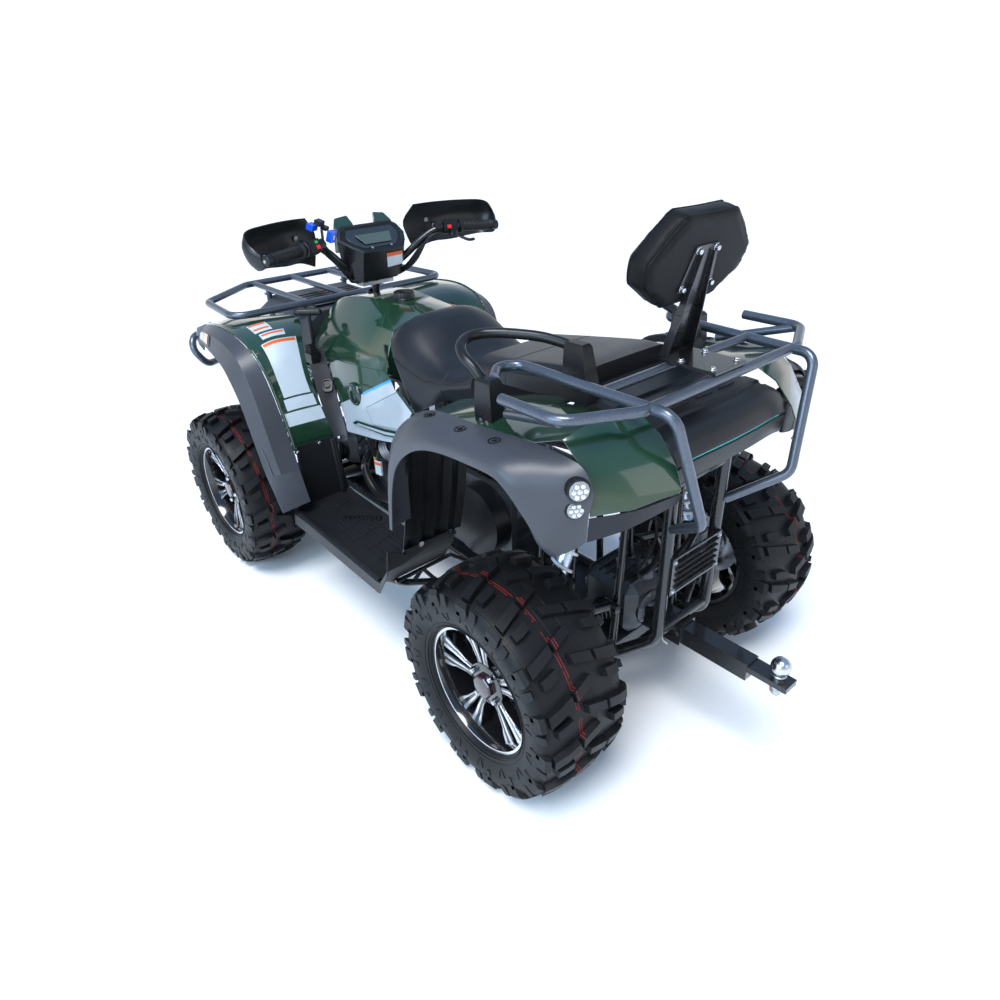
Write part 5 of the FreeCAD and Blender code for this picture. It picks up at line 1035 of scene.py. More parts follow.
def backrest():
    half = [(p.x, p.y) for p in rounded([Vector((y, up, 0)) for y, up in PAD_OUTLINE], 0.030, 5)]
    loop = half + [(-y, up) for y, up in reversed(half[1:-1])]
    outline = [on_pad(y, up, 0) for y, up in loop]
    front = on_pad(0, 0, 1) - on_pad(0, 0, 0)
    pad = crowned_pad("backrest_cushion", outline, front, 0.062, PAD_VINYL)
    soften(pad, 0.0048, 1.2, 0.0016)
    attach(pad, "chassis")
    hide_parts("backrest_pad")
    for k, out in enumerate((0.010, 0.050)):
        middle = on_pad(0, 0.105, out)
        line = [on_pad(y, up, out) for y, up in loop]
        shape = Shape()
        shape.tube([p + (p - middle).normalized() * -0.0062 for p in line], 0.0024, count=8, steps=3,
            closed=True)
        shape.build("backrest_piping_%d" % k, PAD_VINYL, "chassis", 60)
    shape = Shape()
    back = -front
    # folded post: a web close behind the pad with two flanges that narrow upwards
    levels = [(-0.8085, 0.0500, 0.0240, 1.0770), (-0.8350, 0.0395, 0.0190, 1.1750),
        (-0.8480, 0.0330, 0.0160, 1.2260), (-0.8690, 0.0225, 0.0125, 1.3100)]
    for below, above in zip(levels, levels[1:]):
        shape.loft([folded_ring(*below), folded_ring(*above)])
    shape.box((-0.969, -0.060, 1.0690), (-0.821, 0.060, 1.0770))
    # the bracket on the pad's back: a spread plate with bolts at its corners
    plate_points = [on_pad(-0.062, 0.038, -0.0012), on_pad(0.062, 0.038, -0.0012),
        on_pad(0.040, 0.140, -0.0012), on_pad(-0.040, 0.140, -0.0012)]
    shape.prism([p + back * 0.0035 for p in plate_points], plate_points)
    for y, up in ((-0.052, 0.048), (0.052, 0.048), (-0.032, 0.130), (0.032, 0.130)):
        shape.turned(on_pad(y, up, -0.0045), back, [(0, 0.0085), (0.002, 0.0085), (0.0021, 0.0068),
            (0.009, 0.0065), (0.0105, 0.004)], 12, 1)
    for x in (-0.952, -0.868):
        for y in (-0.046, 0.046):
            shape.bolt((x, y, 1.0770), (0, 0, 1), 0.0065, 0.006, 1)
    piece = shape.build("backrest_bracket", [BLACK, STEEL], "chassis", 30, 0.0012)
    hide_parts("backrest_post")


def hand_rails():
    shape = Shape()
    for side in (1, -1):
        put = on_side(side)
        route = [put(-0.592, 0.392, 1.040), put(-0.562, 0.400, 1.074), put(-0.530, 0.402, 1.093),
            put(-0.496, 0.384, 1.107), put(-0.478, 0.348, 1.115), put(-0.486, 0.312, 1.1185),
            put(-0.515, 0.281, 1.120), put(-0.560, 0.250, 1.119), put(-0.604, 0.224, 1.116),
            put(-0.655, 0.206, 1.109), put(-0.690, 0.200, 1.102)]
        shape.tube(route, 0.0125, count=16, steps=6)
        # outer block clamps the rack's side tubes; the inner one stands on the tray
        block = [((-0.632, 0.372), (-0.576, 0.412), 0.945), ((-0.634, 0.372), (-0.574, 0.414), 0.985),
            ((-0.628, 0.374), (-0.578, 0.412), 1.052), ((-0.622, 0.380), (-0.584, 0.406), 1.060)]
        foot = [((-0.752, 0.178), (-0.664, 0.226), 0.985), ((-0.745, 0.180), (-0.668, 0.224), 1.030),
            ((-0.726, 0.186), (-0.668, 0.219), 1.112), ((-0.720, 0.190), (-0.674, 0.215), 1.1190)]
        for levels in (block, foot):
            shape.loft([[put(x, y, z) for x, y in (a, (b[0], a[1]), b, (a[0], b[1]))] for a, b, z in levels])
        for x in (-0.617, -0.596):
            shape.turned(put(x, 0.4135, 0.975), (0, side, 0), [(0, 0.006), (0.001, 0.006), (0.0012, 0.0045)],
                12)
            shape.bolt(put(x, 0.412, 0.962), (0, side, 0), 0.0045, 0.003, 1)
    piece = shape.build("hand_rails", [SATIN, ZINC], "chassis", 40, 0.004, 3)
    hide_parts("grab_handles")


def tail_lamps():
    clear = lens("clear_lens", (0.24, 0.25, 0.27), 0.08)
    cell = toned("led_cell", (0.62, 0.64, 0.68), 0.14, (0.75, 0.76, 0.78), 0.2, 120, metallic=0.9)
    shape = Shape()
    for side in (1, -1):
        for x, y, z, radius in ((-0.9165, 0.438, 0.922, 0.0235), (-0.9065, 0.436, 0.874, 0.0205)):
            place = Vector((x, y * side, z))
            line = Vector((-0.86, 0.46 * side, 0.10)).normalized()
            start = place - line * 0.040
            shape.turned(start, line, [(0, radius * 0.9), (0.005, radius * 1.06), (0.062, radius * 1.10),
                (0.068, radius * 1.04), (0.0685, radius * 0.95)], 28, 0)
            shape.turned(start, line, [(0.066, radius * 0.95), (0.070, radius * 0.9), (0.0725, radius * 0.6),
                (0.0735, radius * 0.05)], 28, 1)
            tangent, up = across(line)
            for k in range(7):
                offset = Vector()
                if k:
                    turn = k * math.pi / 3
                    offset = (tangent * math.cos(turn) + up * math.sin(turn)) * radius * 0.55
                shape.turned(start + offset + line * 0.0725, line,
                    [(0, radius * 0.24), (0.0012, radius * 0.22), (0.0022, radius * 0.10)], 12, 2)
    piece = shape.build("tail_lamp_units", [SATIN, clear, cell], "chassis", 35, 0.0006)
    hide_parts("tail_lamps")


tail_tray()
backrest()
hand_rails()
tail_lamps()


# Steering group: bar, grips, switches, levers, guards and the instrument pod

HAND_GUARD = [
    [(0.830, 0.430, 1.276), (0.842, 0.356, 1.222), (0.838, 0.372, 1.170), (0.829, 0.406, 1.120)],
    [(0.815, 0.544, 1.279), (0.829, 0.524, 1.232), (0.823, 0.524, 1.180), (0.808, 0.536, 1.146)],
    [(0.799, 0.664, 1.280), (0.814, 0.670, 1.240), (0.806, 0.666, 1.185), (0.790, 0.660, 1.150)],
    [(0.783, 0.792, 1.279), (0.797, 0.804, 1.240), (0.790, 0.800, 1.190), (0.775, 0.790, 1.158)],
    [(0.769, 0.896, 1.276), (0.779, 0.916, 1.236), (0.775, 0.904, 1.190), (0.763, 0.880, 1.163)],
    [(0.758, 0.944, 1.266), (0.758, 0.968, 1.232), (0.756, 0.948, 1.190), (0.747, 0.912, 1.165)],
    [(0.741, 0.948, 1.240), (0.736, 0.956, 1.222), (0.735, 0.940, 1.192), (0.729, 0.912, 1.168)],
    [(0.722, 0.916, 1.214), (0.717, 0.920, 1.208), (0.716, 0.914, 1.192), (0.715, 0.900, 1.176)],
]
BAR_ROUTE = [(0.470, 0.0, 1.088), (0.470, 0.060, 1.090), (0.462, 0.110, 1.108), (0.430, 0.190, 1.172),
    (0.404, 0.240, 1.200), (0.376, 0.305, 1.204), (0.335, 0.436, 1.198)]
GRIP_START, GRIP_END = Vector((0.374, 0.311, 1.204)), Vector((0.336, 0.434, 1.198))


def guards_and_mounts():
    tables = [shares(HAND_GUARD)]
    piece = sheet_piece("hand_guard_shells", tables, 0.0035, SATIN, 4, 3, "steering", 0.001,
        32)
    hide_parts("hand_guards")
    shape = Shape()
    for side in (1, -1):
        end = Vector((0.335, 0.436 * side, 1.198))
        line = Vector((-0.30, 0.95 * side, -0.02)).normalized()
        shape.turned(end, line, [(0, 0.0165), (0.018, 0.0165), (0.021, 0.013), (0.022, 0.006)], 20)
        shape.turned(end + line * 0.021, line, [(0, 0.006), (0.003, 0.0055)], 6, 1)
        shape.rod((0.404, 0.245 * side, 1.200), (0.474, 0.262 * side, 1.214), 0.0065, 12, 0)
        shape.bolt((0.503, 0.262 * side, 1.219), (0.93, 0.25 * side, 0.2), 0.006, 0.004, 1)
    shape.build("bar_ends", [SATIN, ZINC], "steering", 35, 0.0008)


def bars():
    shape = Shape()
    half = [Vector(p) for p in BAR_ROUTE]
    route = [mirrored(p) for p in reversed(half[1:])] + half
    shape.tube(route, 0.0125, count=16, steps=4)
    # clamp blocks on the column's yoke
    for y in (-0.052, 0.052):
        shape.box((0.452, y - 0.011, 1.052), (0.488, y + 0.011, 1.086), 1)
        shape.box((0.452, y - 0.011, 1.0875), (0.488, y + 0.011, 1.106), 1)
        for x in (0.4575, 0.4825):
            shape.bolt((x, y, 1.106), (0, 0, 1), 0.0042, 0.005, 2)
    shape.box((0.450, -0.064, 1.040), (0.490, 0.064, 1.052), 1)
    piece = shape.build("handlebar_assembly", [BLACK, CAST, ZINC], "steering", 35, 0.0012)
    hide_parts("handlebar")


def hand_grips():
    shape = Shape()
    for side in (1, -1):
        start = Vector((GRIP_START.x, GRIP_START.y * side, GRIP_START.z))
        end = Vector((GRIP_END.x, GRIP_END.y * side, GRIP_END.z))
        line = (end - start).normalized()
        length = (end - start).length
        profile = [(0.0, 0.0235), (0.004, 0.0245), (0.007, 0.0235), (0.010, 0.0180)]
        place = 0.014
        while place < length - 0.012:
            profile += [(place, 0.0178), (place + 0.0012, 0.0168), (place + 0.0030, 0.0168),
                (place + 0.0042, 0.0178)]
            place += 0.0066
        profile += [(length - 0.006, 0.0180), (length - 0.003, 0.0195), (length, 0.0185)]
        shape.turned(start, line, profile, 28)
        # a worn-in palm rest raised on the grip
        across_line = line.cross(Vector((0, 0, 1))).normalized()
        for k in range(5):
            place = start + line * (0.030 + 0.015 * k) + Vector((0, 0, 0.0165))
            shape.tube([place - across_line * 0.012 - Vector((0, 0, 0.004)), place + line * 0.004,
                place + across_line * 0.012 - Vector((0, 0, 0.004))], 0.0032, 0, 8, 3)
    piece = shape.build("grip_sleeves", GRIP, "steering", 40)
    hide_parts("hand_controls")


def switches():
    red_tone, green_tone = (0.75, 0.012, 0.010), (0.02, 0.42, 0.10)
    red = toned("red_button", red_tone, 0.3, red_tone, 0.04, 60, coat=0.5)
    green = toned("green_button", green_tone, 0.3, green_tone, 0.04, 60, coat=0.5)
    shape = Shape()
    for side in (1, -1):
        put = on_side(side)
        line = put(-0.30, 0.95, -0.03).normalized()
        hold = put(0.385, 0.276, 1.204)
        # two-part housing round the bar
        shape.turned(hold - line * 0.026, line, [(0, 0.019), (0.003, 0.0225), (0.024, 0.0232),
            (0.0245, 0.0222), (0.0275, 0.0222), (0.028, 0.0232), (0.051, 0.0225), (0.054, 0.019)], 24)
        # the near face of the housing with its buttons
        back = Vector((-0.86, -0.27 * side, 0.42)).normalized()
        up = line.cross(back).normalized() * side
        plate = hold + back * 0.019
        for a, b, c, d, high, index in ((-0.024, 0.024, -0.018, 0.020, 0.0075, 0),
                (-0.015, -0.001, -0.013, -0.001, 0.0115, 1), (-0.013, -0.003, 0.005, 0.013, 0.0105,
                2 if side > 0 else 0), (0.004, 0.016, -0.008, 0.010, 0.0095, 0)):
            corners = [plate + line * p + up * q for p, q in ((a, c), (b, c), (b, d), (a, d))]
            shape.prism(corners, [p + back * high for p in corners], index)
        # brake perch, reservoir and lever
        perch = put(0.396, 0.236, 1.207)
        shape.turned(perch - line * 0.011, line, [(0, 0.0195), (0.022, 0.0195)], 20)
        arm = put(0.428, 0.244, 1.206)
        shape.prism([perch + Vector((0.006, 0, q)) - line * 0.010 for q in (-0.009, 0.009)]
            + [perch + Vector((0.006, 0, q)) + line * 0.010 for q in (0.009, -0.009)],
            [arm + Vector((0, 0, q)) - line * 0.008 for q in (-0.007, 0.007)]
            + [arm + Vector((0, 0, q)) + line * 0.008 for q in (0.007, -0.007)], 0)
        shape.turned(arm + Vector((0, 0, -0.010)), (0, 0, 1), [(0, 0.009), (0.020, 0.009)], 14, 3)
        route = [arm + Vector((0.004, 0, 0)), put(0.430, 0.286, 1.204), put(0.424, 0.330, 1.201),
            put(0.402, 0.400, 1.198), put(0.397, 0.424, 1.197)]
        shape.tube(route, 0.0058, 3, 10, 4, flat=(0.0066, 0.0040))
        shape.turned(put(0.397, 0.424, 1.197) - line * 0.004, line,
            [(0, 0.0045), (0.003, 0.0072), (0.009, 0.0072), (0.012, 0.004)], 12, 3)
        if side < 0:
            # thumb lever under the right grip
            shape.turned(put(0.376, 0.288, 1.176), (0, 0, 1), [(0, 0.019), (0.020, 0.019)], 20)
            shape.tube([put(0.366, 0.290, 1.182), put(0.345, 0.303, 1.170), put(0.325, 0.318, 1.162),
                put(0.318, 0.336, 1.163)], 0.0065, 0, 10, 4, flat=(0.0075, 0.0050))
    shape.build("switch_units", [SATIN, red, green, ZINC], "steering", 35, 0.0012)


def blue_switch():
    """The blue bracket and its small sender above the left switch."""
    blue_tone, white_tone = (0.008, 0.08, 0.62), (0.82, 0.83, 0.84)
    blue = toned("blue_plastic", blue_tone, 0.28, blue_tone, 0.04, 40, coat=0.5)
    white = toned("white_plate", white_tone, 0.4, white_tone, 0.02, 90)
    shape = Shape()
    stem = Vector((0.398, 0.222, 1.222))
    shape.rod(stem - Vector((0, 0, 0.010)), stem + Vector((0.006, -0.004, 0.030)), 0.0045, 10, 1)
    for centre, size, turn, index in (((0.416, 0.244, 1.262), (0.024, 0.030, 0.018), 0.5, 0),
            ((0.410, 0.220, 1.272), (0.022, 0.028, 0.016), 0.5, 1),
            ((0.398, 0.190, 1.228), (0.020, 0.026, 0.034), 0.45, 0),
            ((0.4085, 0.204, 1.255), (0.020, 0.020, 0.012), 0.5, 1)):
        turned = Matrix.Rotation(turn, 4, "Z") @ Matrix.Rotation(-0.35, 4, "Y")
        low, high = -Vector(size) / 2, Vector(size) / 2
        corners = [Vector((x, y, z)) for x in (low.x, high.x) for y in (low.y, high.y)
            for z in (low.z, high.z)]
        placed = [Vector(centre) + turned @ c for c in corners]
        shape.prism([placed[0], placed[2], placed[6], placed[4]],
            [placed[1], placed[3], placed[7], placed[5]], index)
        if size[2] > 0.03:
            face = [Vector(centre) + turned @ Vector((-size[0] / 2 - 0.0006, y, z))
                for y, z in ((-0.004, -0.008), (0.004, -0.008), (0.004, 0.007), (-0.004, 0.007))]
            inside = [p + turned @ Vector((0.0006, 0, 0)) for p in face]
            shape.prism(inside, face, 2)
    shape.build("blue_sender", [blue, SATIN, white], "steering", 30, 0.0015)


POD_TOP = [(0.395, 0.078, 1.160), (0.428, 0.112, 1.178), (0.465, 0.134, 1.197), (0.488, 0.122, 1.222),
    (0.497, 0.100, 1.236)]


def ring_of(half):
    """A closed ring from the left half, near side first."""
    return [Vector(p) for p in half] + [Vector((p[0], -p[1], p[2])) for p in reversed(half)]


def pod():
    glass = lens("display_glass", (0.010, 0.012, 0.012), 0.05)
    lcd_tone = (0.055, 0.075, 0.060)
    green_lcd = toned("display_face", lcd_tone, 0.25, lcd_tone, 0.06, 300, coat=0.8)
    top = ring_of(POD_TOP)
    normal = Vector((-0.60, 0, 0.80)).normalized()
    middle = Vector((0.447, 0, 1.197))
    low = ring_of([(0.434, 0.068, 1.057), (0.446, 0.094, 1.064), (0.474, 0.106, 1.080), (0.496, 0.098, 1.100),
        (0.508, 0.080, 1.112)])
    mid = ring_of([(0.412, 0.076, 1.112), (0.437, 0.108, 1.124), (0.470, 0.126, 1.142), (0.494, 0.114, 1.168),
        (0.505, 0.092, 1.180)])
    shape = Shape()

    def shrunk(ring, amount, lift):
        return [p + (middle - p).normalized() * amount + normal * lift for p in ring]

    rings = [low, mid, shrunk(top, 0.0, -0.006), top, shrunk(top, 0.004, 0.004), shrunk(top, 0.012, 0.0055),
        shrunk(top, 0.016, 0.001), shrunk(top, 0.017, 0.0005)]
    shape.loft(rings)
    # screws along the near lip
    for y in (-0.038, 0.038):
        shape.turned(Vector((0.4045, y, 1.172)) + normal * 0.002, normal,
            [(0, 0.0048), (0.0016, 0.0048), (0.0018, 0.003)], 12, 3)
    body = shape.build("pod_shell", [SATIN, glass, green_lcd, ZINC], "steering", 30, 0.0025, 3)
    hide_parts("instrument_pod")
    inner = Shape()
    face = shrunk(ring_of([(0.412, 0.062, 1.170), (0.440, 0.090, 1.186), (0.466, 0.104, 1.202),
        (0.482, 0.090, 1.222)]), 0, 0)
    base = [p - normal * 0.004 for p in face]
    inner.prism(base, [p + normal * 0.0035 for p in face], 0)
    window = [Vector(p) for p in ((0.424, 0.052, 1.180), (0.424, -0.052, 1.180), (0.462, -0.070, 1.206),
        (0.462, 0.070, 1.206))]
    inner.prism([p + normal * 0.0030 for p in window], [p + normal * 0.0046 for p in window], 1)
    inner.build("pod_display", [glass, green_lcd], "steering", 25, 0.0012)
    # forward cowl in body colour behind the display
    cowl = Shape()
    for side in (1, -1):
        fin = [(0.497, 0.106, 1.226), (0.512, 0.118, 1.236), (0.532, 0.100, 1.262), (0.528, 0.050, 1.268),
            (0.506, 0.040, 1.240)]
        lowered = [(0.512, 0.106, 1.150), (0.520, 0.118, 1.150), (0.538, 0.100, 1.160), (0.536, 0.050, 1.165),
            (0.514, 0.040, 1.155)]
        cowl.prism(*([Vector((x, y * side, z)) for x, y, z in ring] for ring in (lowered, fin)))
    cowl.build("pod_cowl", GREEN, "steering", 30, 0.005, 3)


def bar_cables():
    """Cables and hoses from the switches down to the frame behind the pod."""
    shape = Shape()
    for side, lead in ((1, 0.0), (1, 0.011), (1, 0.021), (-1, 0.0), (-1, 0.012), (-1, 0.023)):
        put = on_side(side)
        route = [put(0.410 - lead * 0.4, 0.232 - lead, 1.196),
            put(0.424 - lead * 0.6, 0.200 - lead * 0.6, 1.168 - lead * 0.3),
            put(0.432 - lead * 0.5, 0.160 - lead * 0.5, 1.128 - lead),
            put(0.446, 0.124 - lead * 0.6, 1.088 - lead * 0.8), put(0.482, 0.088 - lead, 1.058 - lead * 0.4),
            put(0.520, 0.058 - lead * 0.6, 1.046)]
        shape.tube(route, 0.0042 if lead else 0.0055, count=8, steps=6)
    shape.build("bar_cables", HOSE, "steering", 60)


guards_and_mounts()
bars()
hand_grips()
switches()
blue_switch()
pod()
bar_cables()


# Middle: side panels, tank fittings, gear lever, foot floors and splash panels

FOOTWELL = [
    [(0.722, 0.600, 0.571), (0.728, 0.646, 0.580), (0.728, 0.888, 0.583),
     (0.722, 0.905, 0.583), (0.720, 0.908, 0.575)],
    [(0.727, 0.580, 0.460), (0.732, 0.620, 0.460), (0.731, 0.870, 0.460),
     (0.725, 0.900, 0.460), (0.722, 0.905, 0.450)],
    [(0.728, 0.544, 0.360), (0.736, 0.592, 0.348), (0.733, 0.860, 0.348),
     (0.722, 1.000, 0.360), (0.718, 1.010, 0.324)],
    [(0.700, 0.540, 0.354), (0.700, 0.592, 0.348), (0.700, 0.910, 0.348),
     (0.700, 1.030, 0.360), (0.700, 1.042, 0.324)],
    [(0.580, 0.540, 0.348), (0.580, 0.592, 0.348), (0.580, 0.910, 0.348),
     (0.580, 1.030, 0.360), (0.580, 1.044, 0.324)],
    [(0.340, 0.540, 0.342), (0.340, 0.592, 0.342), (0.340, 0.930, 0.342),
     (0.335, 1.040, 0.354), (0.335, 1.052, 0.318)],
    [(0.306, 0.544, 0.420), (0.306, 0.592, 0.420), (0.304, 0.940, 0.420),
     (0.296, 1.045, 0.430), (0.295, 1.054, 0.415)],
    [(0.295, 0.550, 0.474), (0.295, 0.592, 0.474), (0.295, 0.940, 0.474),
     (0.288, 1.046, 0.500), (0.287, 1.054, 0.490)],
]
HEEL_ROWS = [(0.2965, 0.462), (0.274, 0.600), (0.264, 0.700), (0.246, 0.860)]
HEEL_FOLDS = 8


def side_panel_material():
    """Green above a slanted line, pale grey below it, and a blue line along the rear half of the edge."""
    material, tree, principled = shader("side_panel_paint", (0.62, 0.66, 0.67), 0.16, coat=1.0)
    place = node(tree, "ShaderNodeSeparateXYZ", {"Vector": place_of(tree)}).outputs

    def above(slope, level):
        run = node(tree, "ShaderNodeMath", {0: place["X"], 1: 0.250}, operation="SUBTRACT").outputs[0]
        rise = node(tree, "ShaderNodeMath", {0: run, 1: slope, 2: level}, operation="MULTIPLY_ADD").outputs[0]
        return node(tree, "ShaderNodeMath", {0: place["Z"], 1: rise}, operation="SUBTRACT").outputs[0]

    rear, front = above(-0.532, 0.744), above(-0.490, 0.744)
    height = node(tree, "ShaderNodeMath", {0: rear, 1: front}, operation="MINIMUM").outputs[0]
    is_green = node(tree, "ShaderNodeMath", {0: height, 1: 0.0}, operation="GREATER_THAN").outputs[0]
    off = node(tree, "ShaderNodeMath", {0: rear}, operation="ABSOLUTE").outputs[0]
    near = node(tree, "ShaderNodeMath", {0: off, 1: 0.0045}, operation="LESS_THAN").outputs[0]
    behind = node(tree, "ShaderNodeMath", {0: place["X"], 1: 0.245}, operation="LESS_THAN").outputs[0]
    is_blue = node(tree, "ShaderNodeMath", {0: near, 1: behind}, operation="MULTIPLY").outputs[0]
    pale = ramp(tree, noise_of(tree, 3), [(0.3, (0.37, 0.42, 0.46)), (0.7, (0.42, 0.47, 0.51))])
    two_tone = node(tree, "ShaderNodeMix", {"Factor": is_green}, data_type="RGBA")
    tree.links.new(pale, two_tone.inputs["A"])
    two_tone.inputs["B"].default_value = (*GREEN_TONE, 1)
    lined = node(tree, "ShaderNodeMix", {"Factor": is_blue}, data_type="RGBA")
    tree.links.new(two_tone.outputs["Result"], lined.inputs["A"])
    lined.inputs["B"].default_value = (0.02, 0.30, 0.82, 1)
    tree.links.new(lined.outputs["Result"], principled.inputs["Base Color"])
    bump(tree, principled, noise_of(tree, 9, 2.0), 0.03, 0.004)
    return material


SIDE_PAINT = side_panel_material()
PALE = painted("pale_panel", (0.36, 0.41, 0.45), 0.18, coat=1.0)
GREEN_DARK = painted("green_moulding", (0.006, 0.024, 0.016), 0.2, coat=0.8)
PLATE_WHITE = painted("plate_white", (0.58, 0.64, 0.68), 0.3, coat=0.3)
PLATE_ORANGE = painted("plate_orange", (0.80, 0.12, 0.015), 0.4, coat=0.1)
TREAD = rubber("tread_rubber", (0.006, 0.006, 0.006), 0.5)


def side_panels():
    half_sheet("side_panel_skins", SIDE_PANEL, -0.004, SIDE_PAINT, "side_panels", along=3,
        beside=2)
    shape = Shape()
    for side in (1, -1):
        put = on_side(side)
        # a five-sided raised field with dark green flanks
        field = [put(0.226, 0.2395, 0.706), put(0.036, 0.2255, 0.812), put(-0.046, 0.2265, 0.762),
            put(-0.004, 0.2370, 0.690), put(0.190, 0.2430, 0.654)]
        middle = sum(field, Vector()) / 5
        out = put(0, 0.0045, 0)
        lifted = [middle + (p - middle) * 0.94 + out for p in field]
        base = [p - out * 0.4 for p in field]
        shape.prism(base, lifted, 1)
        face = [middle + (p - middle) * 0.925 + out * 1.12 for p in field]
        under = [middle + (p - middle) * 0.935 + out * 0.9 for p in field]
        shape.prism(under, face, 0)
        # the lower moulding: a green ledge with a pale strip on it
        ledge = [(0.318, 0.243, 0.622), (0.290, 0.243, 0.640), (0.120, 0.2425, 0.662),
            (-0.040, 0.2385, 0.690), (-0.052, 0.2385, 0.672), (0.110, 0.243, 0.640)]
        low = [put(x, y - 0.002, z) for x, y, z in ledge]
        high = [put(x, y + 0.0048, z) for x, y, z in ledge]
        shape.prism(low, high, 1)
        strip = [(0.290, 0.2475, 0.626), (0.278, 0.2475, 0.634), (0.110, 0.2475, 0.655),
            (-0.028, 0.2435, 0.680), (-0.034, 0.2435, 0.674), (0.106, 0.2475, 0.646)]
        shape.prism([put(x, y - 0.002, z) for x, y, z in strip], [put(x, y + 0.0012, z) for x, y, z in strip],
            0)
        # the round cap ahead of the field
        shape.turned(put(0.296, 0.2335, 0.733), (0, side, 0),
            [(0, 0.040), (0.006, 0.040), (0.009, 0.037), (0.0095, 0.034), (0.0085, 0.032), (0.0115, 0.026),
            (0.0135, 0.014), (0.0140, 0.001)], 40, 1)
    shape.build("side_mouldings", [PALE, GREEN_DARK], "chassis", 30, 0.0014, 3)


def tank_fittings():
    shape = Shape()
    for side in (1, -1):
        put = on_side(side)
        # three slanted air slots ahead of the seat
        for k in range(3):
            top = put(0.150 - 0.012 * k, 0.1875 + 0.005 * k, 0.926 - 0.020 * k)
            end = put(0.138 - 0.012 * k, 0.1945 + 0.004 * k, 0.902 - 0.020 * k)
            shape.rod(top, end, 0.0042, 10, 0)
    # the rubber collar where the column passes
    shape.turned((0.4965, 0, 0.962), (-0.19, 0, 0.98), [(0, 0.034), (0.02, 0.034), (0.034, 0.026),
        (0.050, 0.021), (0.052, 0.017), (0.030, 0.016), (0.0, 0.016)], 32, 1)
    shape.build("tank_slots", [SATIN, HOSE], "chassis", 40, 0.0008)
    cap = Shape()
    middle = Vector((REAR_AXLE + WHEELBASE * 0.685, 0, 1.012))
    teeth = 28
    rings = []
    for z, radius, grip in ((0.0, 0.0372, 0), (0.006, 0.0378, 0), (0.009, 0.0365, 1), (0.022, 0.0362, 1),
            (0.0262, 0.0345, 1), (0.0275, 0.0310, 0), (0.0250, 0.0300, 0)):
        ring = []
        for k in range(teeth * 2):
            a = math.pi * k / teeth
            reach = radius - (0.0012 if grip and k % 2 else 0)
            ring.append(middle + Vector((math.cos(a), math.sin(a), 0)) * reach + Vector((0, 0, z)))
        rings.append(ring)
    cap.loft(rings)
    cap.box(middle + Vector((-0.026, -0.0055, 0.024)), middle + Vector((0.026, 0.0055, 0.0278)))
    piece = cap.build("fuel_cap_cover", SATIN, "chassis", 30, 0.0006)
    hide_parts("fuel_cap")


def gear_lever():
    shape = Shape()
    # gate housing on the fairing, a gaiter, the shaft and the knob
    shape.loft([[Vector((x, y, z)) for x, y in ((0.5135, 0.231), (0.5615, 0.231), (0.5615, 0.269),
        (0.5135, 0.269))] for z in (0.7925, 0.829)])
    shape.loft([[Vector((0.5375 + x * 0.02 * w, 0.25 + y * 0.015 * w, z))
        for x, y in ((1, 1), (-1, 1), (-1, -1), (1, -1))] for z, w in ((0.829, 1.05), (0.834, 1.0),
        (0.839, 0.8), (0.843, 0.85), (0.848, 0.65), (0.852, 0.70), (0.857, 0.45))], 1)
    shape.tube([(0.5400, 0.2400, 0.82), (0.5480, 0.2350, 0.88), (0.5660, 0.2270, 0.956)], 0.0062, 1, count=12)
    start, end = Vector((0.602, 0.266, 0.962)), Vector((0.536, 0.190, 0.962))
    line = (end - start).normalized()
    span = (end - start).length
    shape.turned(start, line, [(0, 0.004), (0.003, 0.0105), (0.012, 0.0140), (0.030, 0.0135), (0.050, 0.0120),
        (span - 0.020, 0.0132), (span - 0.006, 0.0125), (span - 0.001, 0.006)], 24, 0)
    piece = shape.build("gear_lever_unit", [SATIN, HOSE, STEEL], "chassis", 45, 0.0012)
    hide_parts("gear_lever")
    # the key socket lower on the fairing
    socket = Shape()
    normal = Vector((-0.62, 0.38, 0.68)).normalized()
    middle = Vector((0.4580, 0.2520, 0.7240))
    tangent, rise = across(normal)

    def ring(width, height, out, power=3.2, count=28):
        made = []
        for k in range(count):
            a = 2 * math.pi * k / count
            c, d = math.cos(a), math.sin(a)
            made.append(middle + tangent * width * math.copysign(abs(c) ** (2 / power), c)
                + rise * height * math.copysign(abs(d) ** (2 / power), d) + normal * out)
        return made

    socket.loft([ring(0.020, 0.027, -0.004), ring(0.020, 0.027, 0.004), ring(0.018, 0.025, 0.0062),
        ring(0.0135, 0.020, 0.0058), ring(0.0125, 0.019, 0.001)], 0)
    socket.turned(middle, normal, [(0.0, 0.011), (0.0045, 0.0105), (0.006, 0.009)], 24, 1)
    socket.build("socket", [SATIN, TRAY], "chassis", 40)


